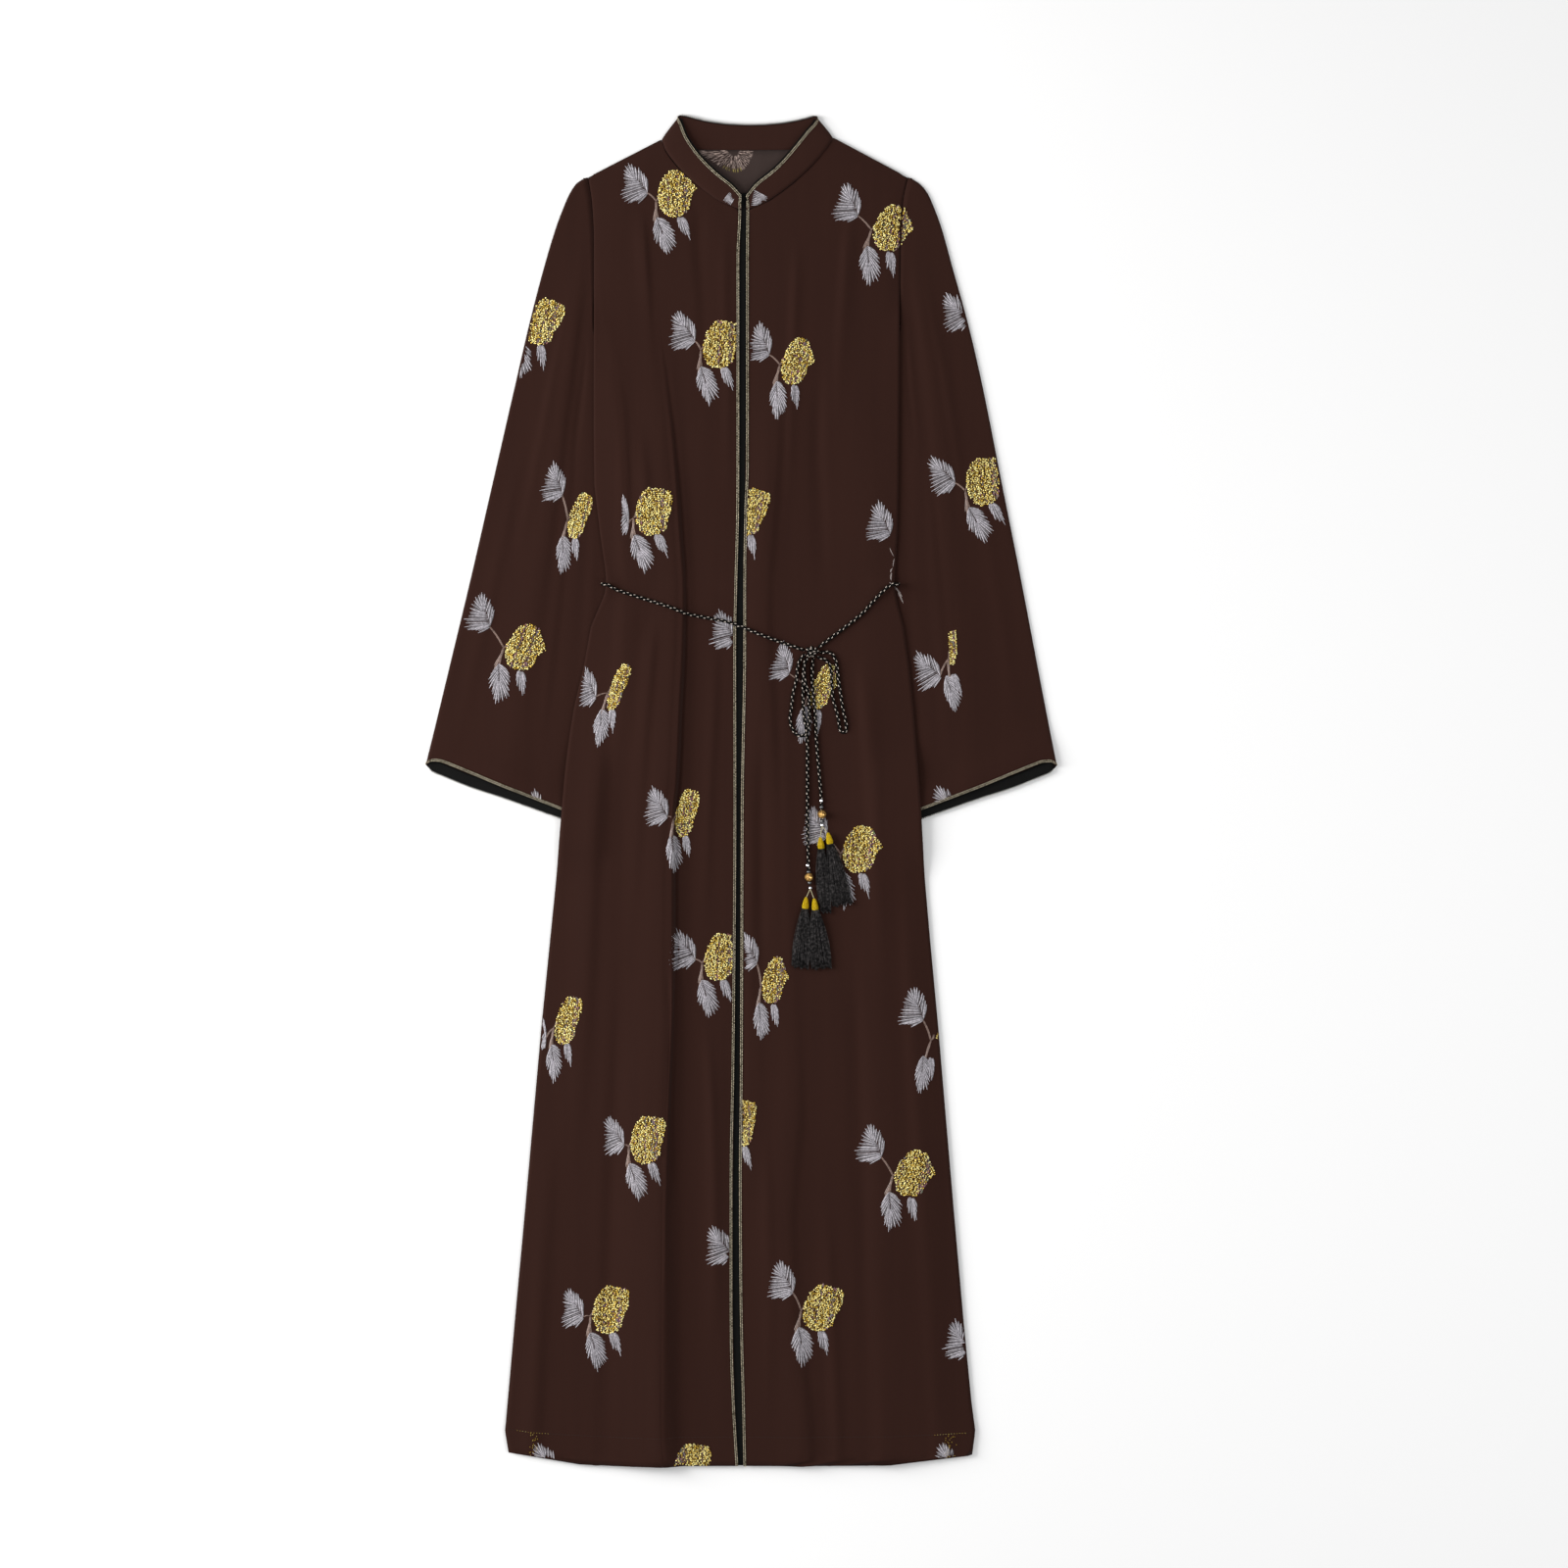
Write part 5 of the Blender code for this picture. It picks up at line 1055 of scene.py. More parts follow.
cloth = {}
for name, facts in FRONTS.items():
    tree = tree_of(frame["nodes"][name])
    panel_top = facts["inside"][0][0]
    count = round((GARMENT_LENGTH - panel_top) / ROW_STEP)
    grid = []
    for r in range(count + 1):
        level = panel_top + (GARMENT_LENGTH - EDGE_CLEAR - panel_top) * r / count
        inside = smooth_value(facts["inside"], 1, level)
        side_edge = outline_x(tree, inside, level, facts["side"])
        front_edge = outline_x(tree, inside, level, -facts["side"])
        xs = spaced(side_edge, front_edge, PLAIN_COLUMNS)
        if name == "front_right":
            width = front_edge - side_edge
            share = (smooth_value(DEEP_FOLD, 1, level) - side_edge) / width
            crest = side_edge + width * min(FOLD_SHARES[1], max(FOLD_SHARES[0], share))
            foot = crest + DEEP_FOLD_STEEP * min(1.0, width / FULL_FOLD_WIDTH)
            ends = (side_edge, crest, foot, front_edge)
            xs = [x for stretch in zip(ends, ends[1:], FOLD_COLUMNS) for x in spaced(*stretch)]
        row = []
        for x in (*xs, front_edge):
            point = place(x, with_hem(x, level))
            z = top_at(tree, point.x, point.y)
            if z is None:
                z = top_at(tree, point.x + (0.0002 if x < inside else -0.0002), point.y)
            point.z = row[-1].z if z is None else z
            row.append(point)
        grid.append(row)
    grid = softened(grid)
    for row in grid:
        for point in row:
            rim = min((point - row[0]).length, (row[-1] - point).length)
            point.z += smoothstep(rim / RIM_FADE) * crease_height(name, point.x, GARMENT_LENGTH / 2 - point.y)
    cloth[name] = shell_mesh(name + "_cloth", grid, crepe_look(name + "_crepe"))
    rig.replaces(cloth[name], name)
    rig.slot(cloth[name], "crepe")
    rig.ride(cloth[name], "root")
    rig.sheet(cloth[name], flat=facts["cut"], held="laid", rests_on=["back"], area=facts["cut_area"])


# The back, cut in one piece, which lies on the board under the fronts. Only its neck shows, inside
# the collar, where one sheer layer of the crepe looks greyer.
BACK_TOP_EDGE = (
    (-0.1653, 0.0676), (-0.1400, 0.0546), (-0.1100, 0.0392), (-0.0861, 0.0269), (-0.0703, 0.0346),
    (-0.0438, 0.0375), (0.0050, 0.0377), (0.0500, 0.0375), (0.0840, 0.0347), (0.0988, 0.0248),
    (0.1250, 0.0388), (0.1550, 0.0548), (0.1791, 0.0676),
)
SHEER_DARK = (0.031, 0.020, 0.0175)
SHEER_LIGHT = (0.046, 0.031, 0.0275)
BACK_ROW_STEP = 0.0085
BACK_COLUMNS = 60
BACK_LEVEL_FROM = 0.150
SHOULDER_DEPTH = 0.045
SHOULDER_IN = (0.0061, 0.0077)

right_top, top_down = BACK_TOP_EDGE[0]
left_top = BACK_TOP_EDGE[-1][0]
tree = tree_of(frame["nodes"]["back"])
grid = []
count = round((GARMENT_LENGTH - top_down) / BACK_ROW_STEP)
for r in range(count + 1):
    level = top_down + EDGE_CLEAR + (GARMENT_LENGTH - 2 * EDGE_CLEAR - top_down) * r / count
    keep = 1.0 - smoothstep((level - top_down) / (BACK_LEVEL_FROM - top_down))
    if level > BACK_LEVEL_FROM:
        right_x, left_x = outline_x(tree, -0.10, level, -1), outline_x(tree, 0.10, level, 1)
    else:
        past_shoulder = smoothstep((level - top_down) / SHOULDER_DEPTH)
        right_x = right_top + SHOULDER_IN[0] * past_shoulder
        left_x = left_top - SHOULDER_IN[1] * past_shoulder
    row = []
    for c in range(BACK_COLUMNS + 1):
        share = c / BACK_COLUMNS
        x = right_x + (left_x - right_x) * share
        at = right_top + (left_top - right_top) * share
        shift = (np.interp(at, *zip(*BACK_TOP_EDGE)) - top_down) * keep
        point = place(x, with_hem(x, level) + float(shift))
        z = top_at(tree, point.x, point.y)
        point.z = z if z is not None else (row[-1].z if row else 0.0012)
        row.append(point)
    grid.append(row)
grid = softened(grid)
for row in grid:
    for point in row:
        raised = point.z + crease_height("back", point.x, GARMENT_LENGTH / 2 - point.y)
        point.z = max(raised, SHELL + EDGE_CLEAR)
cloth["back"] = shell_mesh("back_cloth", grid, crepe_look("back_crepe", SHEER_DARK, SHEER_LIGHT))
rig.replaces(cloth["back"], "back")
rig.slot(cloth["back"], "crepe")
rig.ride(cloth["back"], "root")
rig.sheet(cloth["back"], flat=(0.520, 1.440), held="laid", rests_on=["board"], area=0.575)


# The set-in sleeves: flat tubes from the armhole to a flared cuff, folded along both long edges.
# The back layer hangs lower at the cuff, so that its black facing shows.
SLEEVES = {
    "sleeve_right": {
        "side": -1,
        "outer": (
            (-0.1657, 0.0674), (-0.1759, 0.0724), (-0.1844, 0.0840), (-0.1928, 0.1030), (-0.1992, 0.1199),
            (-0.2129, 0.1650), (-0.2287, 0.2256), (-0.2435, 0.2890), (-0.2678, 0.3946), (-0.2921, 0.5003),
            (-0.3175, 0.6059), (-0.3403, 0.7010),
        ),
        "underarm": (-0.1347, 0.2942), "cuff_inner": (-0.1506, 0.7710),
    },
    "sleeve_left": {
        "side": 1,
        "outer": (
            (0.1795, 0.0674), (0.1896, 0.0724), (0.2002, 0.0840), (0.2087, 0.1030), (0.2150, 0.1199),
            (0.2277, 0.1650), (0.2446, 0.2256), (0.2594, 0.2890), (0.2805, 0.3946), (0.3016, 0.5003),
            (0.3217, 0.6059), (0.3403, 0.7020),
        ),
        "underarm": (0.1463, 0.2942), "cuff_inner": (0.1506, 0.7710),
    },
}
# The cuff's two edges below the straight line between its folds: share across, front, back
CUFF_EDGES = (
    (0.00, 0.0000, 0.0000), (0.04, -0.0060, 0.0055), (0.10, -0.0085, 0.0060), (0.25, -0.0075, 0.0070),
    (0.45, -0.0058, 0.0055), (0.70, -0.0050, 0.0050), (0.90, -0.0040, 0.0040), (0.97, -0.0025, 0.0025),
    (1.00, 0.0000, 0.0000),
)
# Sleeve creases: share across at the top and at the cuff, half widths, and the rows where they run
SLEEVE_CREASES = {
    "sleeve_right": (
        (0.30, 0.26, 0.006, 0.010, 0.0012, 0.10, 0.62), (0.56, 0.62, 0.009, 0.005, 0.0013, 0.20, 0.97),
        (0.68, 0.40, 0.006, 0.006, -0.0009, 0.06, 0.34), (0.17, 0.14, 0.009, 0.007, 0.0010, 0.40, 0.99),
        (0.84, 0.86, 0.007, 0.009, 0.0008, 0.30, 0.85),
    ),
    "sleeve_left": (
        (0.26, 0.32, 0.010, 0.006, 0.0012, 0.08, 0.58), (0.50, 0.60, 0.006, 0.009, 0.0014, 0.26, 0.98),
        (0.70, 0.46, 0.006, 0.006, -0.0009, 0.05, 0.30), (0.14, 0.18, 0.008, 0.009, 0.0009, 0.45, 0.97),
        (0.82, 0.84, 0.009, 0.006, 0.0009, 0.24, 0.80),
    ),
}
ARMHOLE_CLEAR = 0.0009
ARMHOLE_LEAVES_EDGE = 0.224
CUFF_LIFT = 0.0016
SIDE_TOP = {
    -1: ((0.0676, -0.1653), (0.0924, -0.1611), (0.1320, -0.1590), (0.2256, -0.1590)),
    1: ((0.0676, 0.1791), (0.0924, 0.1738), (0.1320, 0.1712), (0.2256, 0.1706)),
}
SHOULDER_DOWN = 0.0674


def armhole_point(facts, share):
    """A point of the armhole seam, by its share of the way from the shoulder to the underarm."""
    side = facts["side"]
    arm_x, arm_down = facts["underarm"]
    down = SHOULDER_DOWN + (arm_down - SHOULDER_DOWN) * share
    edge = smooth_value(SIDE_TOP[side], 1, down)
    if down > ARMHOLE_LEAVES_EDGE:
        past = (down - ARMHOLE_LEAVES_EDGE) / (arm_down - ARMHOLE_LEAVES_EDGE)
        edge += (arm_x - edge) * past**1.6
    return edge + side * ARMHOLE_CLEAR, down


def sleeve_plan(facts, share, row, wall):
    """Where a point of the sleeve lies: share across from the outer fold, row from armhole to cuff."""
    rows = measured(facts["outer"])
    at = row * rows[-1][0]
    arm, cuff = facts["underarm"], facts["cuff_inner"]
    outer = smooth_value(rows, 1, at), smooth_value(rows, 2, at)
    inner = [a + (c - a) * row for a, c in zip(arm, cuff)]
    straight = [a + (b - a) * share for a, b in zip(facts["outer"][0], arm)]
    keep = (1.0 - row) ** 4
    x, down = [
        o + (i - o) * share + (real - line) * keep
        for o, i, real, line in zip(outer, inner, armhole_point(facts, share), straight)
    ]
    down += smooth_value(CUFF_EDGES, 1 if wall == "front" else 2, share) * row**6
    return x, down


def sleeve_lift(row):
    return CUFF_LIFT * smoothstep((row - 0.950) / 0.025)


SLEEVE_ROWS = 96
OUTER_FOLD = [0.003, 0.009, 0.018]
INNER_FOLD = [0.982, 0.991, 0.997]
FRONT_SHARES = [0.0, *OUTER_FOLD, *(0.03 + 0.94 * i / 42 for i in range(43)), *INNER_FOLD, 1.0]
BACK_SHARES = [*INNER_FOLD[::-1], *(0.96 - 0.92 * i / 12 for i in range(13)), *OUTER_FOLD[::-1]]
FOLD_ROUND = 0.018
FOLD_MIDDLE = 0.45
SLEEVE_WIDTH = 0.19
SLEEVE_HEIGHT = 0.0032


def fullness(share):
    """How full a sleeve is beside its folds: 0 on a fold and 1 away from both."""
    near = min(1.0, min(share, 1 - share) / FOLD_ROUND)
    return math.sqrt(1 - (1 - near) ** 2)


def sleeve_crease(name, share, row):
    total = 0.0
    for top, cuff, before, after, height, begins, ends in SLEEVE_CREASES[name]:
        if begins < row < ends:
            offset = (share - top - (cuff - top) * row) * SLEEVE_WIDTH
            reach = before if offset < 0 else after
            lasts = math.sin(math.pi * (row - begins) / (ends - begins))
            total += height * lasts * math.exp(-((offset / reach) ** 2))
    return total * smoothstep(min(share, 1 - share) / 0.10)


for name, facts in SLEEVES.items():
    tree = tree_of(frame["nodes"][name])
    front = []
    for r in range(SLEEVE_ROWS + 1):
        row = r / SLEEVE_ROWS
        line = []
        for share in FRONT_SHARES:
            inside = min(0.97, max(0.03, share))
            cast = sleeve_plan(facts, inside, min(0.998, max(0.003, row)), "front")
            top = top_at(tree, *place(*cast).xy)
            point = place(*sleeve_plan(facts, share, row, "front"))
            point.z = top if top is not None else sleeve_lift(row) + SLEEVE_HEIGHT
            line.append(point)
        front.append(line)
    grid = []
    for r, line in enumerate(softened(front)):
        row = r / SLEEVE_ROWS
        low_z = sleeve_lift(row) + EDGE_CLEAR
        ring = []
        for share, point in zip(FRONT_SHARES, line):
            middle = low_z + (point.z - low_z) * FOLD_MIDDLE
            top = point.z + sleeve_crease(name, share, row)
            ring.append(Vector((point.x, point.y, middle + (top - middle) * fullness(share))))
        for share in BACK_SHARES:
            fold = ring[0] if share < 0.5 else ring[len(FRONT_SHARES) - 1]
            z = fold.z + (low_z - fold.z) * fullness(share)
            ring.append(place(*sleeve_plan(facts, share, row, "back"), z))
        grid.append(ring)
    cloth[name] = shell_mesh(name + "_cloth", grid, crepe_look(name + "_crepe"), closed=True)
    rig.replaces(cloth[name], name)
    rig.slot(cloth[name], "crepe")
    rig.ride(cloth[name], "root")
    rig.sheet(cloth[name], flat=(0.410, 0.690), held="laid", rests_on=["board"], area=0.175)


# The armhole seams' turnings: a narrow strip of the same crepe inside each armhole, which joins the
# body to the sleeve and closes the line between them.
TURNING_BODY = 0.0060
TURNING_SLEEVE = 0.0046
TURNING_ROWS = 60
TURNING_HEIGHT = 0.0019
TURNING_WALL = 0.0004
TURNING_FROM = 0.004
TURNING_SHARE = 0.70

turning_look = crepe_look("armhole_crepe")
for name, facts in SLEEVES.items():
    side = facts["side"]
    grid = []
    for r in range(TURNING_ROWS + 1):
        x, down = armhole_point(facts, TURNING_FROM + TURNING_SHARE * r / TURNING_ROWS)
        strip = (x - side * TURNING_BODY, x, x + side * TURNING_SLEEVE)
        grid.append([place(at, down, TURNING_HEIGHT) for at in strip])
    turning = shell_mesh("armhole_turning" + name[6:], grid, turning_look, thickness=TURNING_WALL)
    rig.slot(turning, "crepe")
    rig.ride(turning, "root")
    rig.sheet(turning, flat=(0.0106, 0.17), held="laid", rests_on=["back_cloth", name + "_cloth"])


# The stand collar: a double strip of crepe, closed round the neck and open at the throat. It is
# sewn to the neck along its lower edge and turns over at each side of the neck. Rows from the right
# front round the back to the left front: seam x, seam down, top x, top down, turn (0 front, 1 back).
COLLAR_WALL = 0.0012
COLLAR_ROWS = (
    (-0.0001, 0.1024, -0.0001, 0.0885, 0.0), (-0.0100, 0.0986, -0.0045, 0.0825, 0.0),
    (-0.0217, 0.0938, -0.0111, 0.0755, 0.0), (-0.0446, 0.0778, -0.0269, 0.0629, 0.0),
    (-0.0675, 0.0562, -0.0481, 0.0407, 0.0), (-0.0815, 0.0372, -0.0597, 0.0227, 0.0),
    (-0.0845, 0.0290, -0.0650, 0.0090, 0.12), (-0.0858, 0.0262, -0.0675, 0.0030, 0.5),
    (-0.0835, 0.0275, -0.0645, 0.0004, 0.88), (-0.0780, 0.0302, -0.0600, 0.0010, 1.0),
    (-0.0620, 0.0352, -0.0480, 0.0040, 1.0), (-0.0438, 0.0366, -0.0360, 0.0068, 1.0),
    (-0.0120, 0.0371, -0.0100, 0.0100, 1.0), (0.0132, 0.0371, 0.0132, 0.0106, 1.0),
    (0.0386, 0.0371, 0.0400, 0.0090, 1.0), (0.0700, 0.0355, 0.0620, 0.0054, 1.0),
    (0.0890, 0.0290, 0.0750, 0.0020, 1.0), (0.0955, 0.0256, 0.0785, 0.0010, 0.88),
    (0.0984, 0.0240, 0.0812, 0.0036, 0.5), (0.0972, 0.0268, 0.0790, 0.0090, 0.12),
    (0.0935, 0.0325, 0.0720, 0.0170, 0.0), (0.0800, 0.0500, 0.0607, 0.0312, 0.0),
    (0.0560, 0.0728, 0.0390, 0.0560, 0.0), (0.0268, 0.0937, 0.0153, 0.0755, 0.0),
    (0.0150, 0.0990, 0.0095, 0.0825, 0.0), (0.0054, 0.1024, 0.0054, 0.0885, 0.0),
)
COLLAR_STEPS = 5
COLLAR_CORNERS = (7, 18)
COLLAR_LIFTS = (0.0026, 0.0026)  # of its inner side, and what that gains away from the turns
COLLAR_LIFT_WITHIN = 0.012
# Heights of the seam and of the top edge: over the inner side in front, over the board at the back
COLLAR_HEIGHTS = ((0.0018, 0.0006), (0.0032, 0.0019))
COLLAR_COLUMNS = 8
COLLAR_SEAM_IN = 0.0009
COLLAR_BOW = 0.0005
COLLAR_DIP = 0.0004


def collar_sections():
    """Rows of (seam point, top point, outward direction) on the collar's outer face."""
    rows = []
    last = len(COLLAR_ROWS) - 1
    keyed = [(float(i), *row) for i, row in enumerate(COLLAR_ROWS)]
    for step in range(last * COLLAR_STEPS + 1):
        at = step / COLLAR_STEPS
        seam_x, seam_down, top_x, top_down, turn = (smooth_value(keyed, c, at) for c in range(1, 6))
        side = -1.0 if at < last / 2 else 1.0
        corner = keyed[COLLAR_CORNERS[0 if side < 0 else 1]]
        from_fold = math.dist((seam_x, seam_down), corner[1:3])
        inner = COLLAR_LIFTS[0] + COLLAR_LIFTS[1] * (1.0 - math.exp(-from_fold / COLLAR_LIFT_WITHIN))
        seam_z, top_z = ((inner + front) * (1.0 - turn) + back * turn for front, back in COLLAR_HEIGHTS)
        angle = math.pi * turn
        outward = Vector((side * math.sin(angle), 0.25 * math.sin(angle), math.cos(angle))).normalized()
        rows.append((place(seam_x, seam_down, seam_z), place(top_x, top_down, top_z), outward))
    return rows


collar_rows = collar_sections()
grid = []
for seam, top, outward in collar_rows:
    seam = seam + (seam - top).normalized() * COLLAR_SEAM_IN
    line = []
    for step in range(COLLAR_COLUMNS + 1):
        share = step / COLLAR_COLUMNS
        bow = COLLAR_BOW * math.sin(math.pi * share) - COLLAR_DIP * math.exp(-((share / 0.10) ** 2))
        line.append(seam.lerp(top, share) + outward * bow)
    grid.append(line)
collar_crepe = crepe_look("collar_crepe", (0.0235, 0.0076, 0.0049), (0.0300, 0.0102, 0.0064))
cloth["collar"] = shell_mesh("collar_cloth", grid, collar_crepe, thickness=COLLAR_WALL, outward_up=False)
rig.replaces(cloth["collar"], "collar")
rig.slot(cloth["collar"], "crepe")
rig.ride(cloth["collar"], "root")
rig.sheet(
    cloth["collar"], flat=(0.455, 0.062), held="folded", rests_on=["front_right_cloth", "back_cloth"],
    area=0.0130,
)


# Black satin ribbon: a tape behind the front opening, which shows as a narrow black line between
# the two edges, and a facing inside the longer back layer of each cuff.
satin_look = Look("black_satin", 0.62, 0.07)
calc = satin_look.calc
diagonal = (0.0, 0.0, math.radians(45.0))
turned = satin_look.add("ShaderNodeMapping", Rotation=diagonal, Vector=satin_look.place_on()).outputs[0]
split = satin_look.add("ShaderNodeSeparateXYZ", Vector=turned)
twill = calc("ABSOLUTE", calc("SINE", calc("MULTIPLY", split.outputs[0], 5200.0)))
sheen = calc("MULTIPLY", calc("ADD", twill, satin_look.noise(120.0, 3.0)), 0.5)
satin_look.feed("Base Color", satin_look.mix(sheen, (0.0020, 0.0021, 0.0020), (0.0055, 0.0055, 0.0050)))
satin_look.relief(twill, 0.4, 0.0003)

# The front opening, by distance down: the right edge's x and the left edge's x
BRAID_LINES = (
    (0.0885, -0.0016, 0.0069), (0.1030, -0.0016, 0.0069), (0.1537, -0.0037, 0.0066),
    (0.3800, -0.0037, 0.0066), (0.4263, -0.0040, 0.0048), (0.5100, -0.0060, 0.0037),
    (0.5700, -0.0071, 0.0037), (0.7430, -0.0069, 0.0011), (0.9170, -0.0079, 0.0005),
    (1.0338, -0.0092, 0.0000), (1.1500, -0.0111, -0.0011), (1.2663, -0.0111, -0.0005),
    (1.3244, -0.0108, 0.0005), (1.3825, -0.0090, 0.0021), (1.4575, -0.0048, 0.0037),
)
TAPE_WIDTH = 0.0150
TAPE_ENDS = (0.0850, 1.4568)
TAPE_ROWS = 228
TAPE_COLUMNS = 6
RIBBON = 0.0005
grid = []
for r in range(TAPE_ROWS + 1):
    down = TAPE_ENDS[0] + (TAPE_ENDS[1] - TAPE_ENDS[0]) * r / TAPE_ROWS
    middle = (smooth_value(BRAID_LINES, 1, down) + smooth_value(BRAID_LINES, 2, down)) / 2
    tops = [node_top("front_tape", middle, place(0, down + d).y) for d in (0.0, 0.002, -0.002)]
    z = max([top for top in tops if top is not None], default=0.004)
    row = []
    for step in range(TAPE_COLUMNS + 1):
        share = step / TAPE_COLUMNS - 0.5
        row.append(place(middle + TAPE_WIDTH * share, down, z + 0.0001 * math.cos(math.pi * share * 2)))
    grid.append(row)
grid = softened(grid, along=0.012)
tape = shell_mesh("front_tape_satin", grid, satin_look, thickness=RIBBON)
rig.replaces(tape, "front_tape")
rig.slot(tape, "black_facing")
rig.ride(tape, "root")
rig.sheet(tape, flat=(TAPE_WIDTH, 1.372), held="laid", rests_on=["back_cloth"])

FACING_EDGE = 0.0003
FACING_DEPTH = 0.0130
FACING_ROW_SHARE = 0.04
FACING_LIFT = 0.0008
FACING_ROWS = 7
FACING_COLUMNS = 60
for name, facts in SLEEVES.items():
    grid = []
    for r in range(FACING_ROWS + 1):
        depth = FACING_EDGE + (FACING_DEPTH - FACING_EDGE) * r / FACING_ROWS
        line = []
        for c in range(FACING_COLUMNS + 1):
            share = 0.012 + 0.976 * c / FACING_COLUMNS
            low = place(*sleeve_plan(facts, share, 1.0, "back"))
            high = place(*sleeve_plan(facts, share, 1.0 - FACING_ROW_SHARE, "back"))
            row = 1.0 - FACING_ROW_SHARE * depth / (high - low).length
            point = low + (high - low).normalized() * depth
            point.z = sleeve_lift(row) + SHELL + FACING_LIFT
            line.append(point)
        grid.append(line)
    facing = shell_mesh("cuff_facing_satin" + name[6:], grid, satin_look, thickness=RIBBON)
    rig.replaces(facing, "cuff_facing" + name[6:])
    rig.slot(facing, "black_facing")
    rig.ride(facing, "root")
    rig.sheet(facing, flat=(0.205, FACING_DEPTH), held="laid", rests_on=[name + "_cloth"])


# The beaded braid: a narrow black tape with two rows of tiny pale gold and silver beads. One length
# runs up the right front edge, round the collar's top edge and down the left front edge, and one
# runs round each cuff.
BRAID_WIDTH = 0.0032
TAPE_PROFILE = ((-0.5, 0.00005), (-0.5, 0.0004), (0.5, 0.0004), (0.5, 0.00005))
BEAD_PITCH = 0.00165
BEAD_ROWS = (-0.00086, 0.00086)
BEAD_SEAT = 0.00035
BEAD_LENGTH = 0.00076
BEAD_WIDTH = 0.00060
BEAD_HEIGHT = 0.00062
BEAD_TONE = 0.62
DULL_SHARE = 0.12

bead_look = Look("braid_beads", 0.34, 0.5, 0.35)
tone = bead_look.add("ShaderNodeAttribute", {"attribute_name": "tone"}).outputs["Fac"]
bead_look.feed("Base Color", bead_look.mix(tone, (0.12, 0.09, 0.045), (0.66, 0.58, 0.42)))
bead_look.relief(bead_look.noise(2600.0), 0.4, 0.0002)
binding_look = Look("braid_tape", 0.85, 0.08)
rib = binding_look.noise(1600.0)
binding_look.feed("Base Color", binding_look.mix(rib, (0.003, 0.003, 0.003), (0.010, 0.009, 0.008)))
binding_look.relief(rib, 0.5, 0.0002)


def drawn_mesh(name, points, faces, attribute, values, *looks):
    """A mesh of corners that each carry a tone, from 0 to 1, or a tint."""
    data = bpy.data.meshes.new(name)
    data.from_pydata([tuple(p) for p in points], [], faces)
    if attribute == "tone":
        data.attributes.new("tone", "FLOAT", "POINT").data.foreach_set("value", values)
    else:
        channels = [channel for tint in values for channel in (*tint, 1.0)]
        data.attributes.new("tint", "FLOAT_COLOR", "POINT").data.foreach_set("color", channels)
    return placed(data, *looks)


def bead_shape(sides=5):
    """A small domed bead: its corners at full length 1, and its faces."""
    rim = circle(sides)
    corners = [(x, y, 0.0) for x, y in rim] + [(0.72 * x, 0.72 * y, 0.75) for x, y in rim] + [(0.0, 0.0, 1.0)]
    faces = [tuple(range(sides))[::-1]]
    for k in range(sides):
        m = (k + 1) % sides
        faces += [(k, m, sides + m, sides + k), (sides + k, sides + m, 2 * sides)]
    return corners, faces


def beads_mesh(name, places, look):
    """Many beads in one mesh. A place is a bead's seat, its three half sizes as directions, and its tone."""
    corners, faces = bead_shape()
    points, tones, all_faces = [], [], []
    for seat, ahead, aside, up, tone in places:
        first = len(points)
        points += [seat + ahead * x + aside * y + up * z for x, y, z in corners]
        tones += [tone] * len(corners)
        all_faces += [tuple(first + k for k in face) for face in faces]
    return drawn_mesh(name, points, all_faces, "tone", tones, look)


def braid_pieces(name, path, closed=False):
    """The braid along a path of (middle, across, outward): its tape and its two rows of beads."""
    rng = random.Random(name)
    mesh = bmesh.new()
    rings = []
    for middle, across, outward in path[::2] if closed else path[:-1:2] + [path[-1]]:
        corners = [middle + across * BRAID_WIDTH * a + outward * b for a, b in TAPE_PROFILE]
        rings.append([mesh.verts.new(corner) for corner in corners])
    skin(mesh, rings, closed=closed, smooth=False)
    bmesh.ops.recalc_face_normals(mesh, faces=mesh.faces)
    tape = object_of(name + "_tape", mesh, binding_look)
    places = []
    for i, (middle, across, outward) in enumerate(path):
        ahead = (path[min(i + 1, len(path) - 1)][0] - path[max(i - 1, 0)][0]).normalized()
        for row in BEAD_ROWS:
            seat = middle + across * row + outward * BEAD_SEAT + ahead * (BEAD_PITCH / 2 if row > 0 else 0)
            wide = BEAD_WIDTH * (1.0 + 0.1 * rng.random())
            tone = BEAD_TONE + 0.60 * (rng.random() - 0.5) - (0.35 if rng.random() < DULL_SHARE else 0)
            tone = min(1.0, max(0.0, tone))
            places.append((seat, ahead * BEAD_LENGTH, across * wide, outward * BEAD_HEIGHT, tone))
    for piece in (tape, beads_mesh(name + "_beads", places, bead_look)):
        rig.slot(piece, "beaded_braid")
        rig.ride(piece, "root")
    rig.replaces(tape, name)


def spread_path(points, step):
    """(middle, across, outward) at even steps along points that carry their own directions."""
    keys = [0.0]
    for before, after in zip(points, points[1:]):
        keys.append(keys[-1] + (after[0] - before[0]).length)
    rows = [[*middle, *across, *outward] for middle, across, outward in points]
    count = round(keys[-1] / step)
    path = []
    for i in range(count + 1):
        at = keys[-1] * i / count
        values = [float(np.interp(at, keys, [row[c] for row in rows])) for c in range(9)]
        path.append((Vector(values[0:3]), Vector(values[3:6]).normalized(), Vector(values[6:9]).normalized()))
    return path


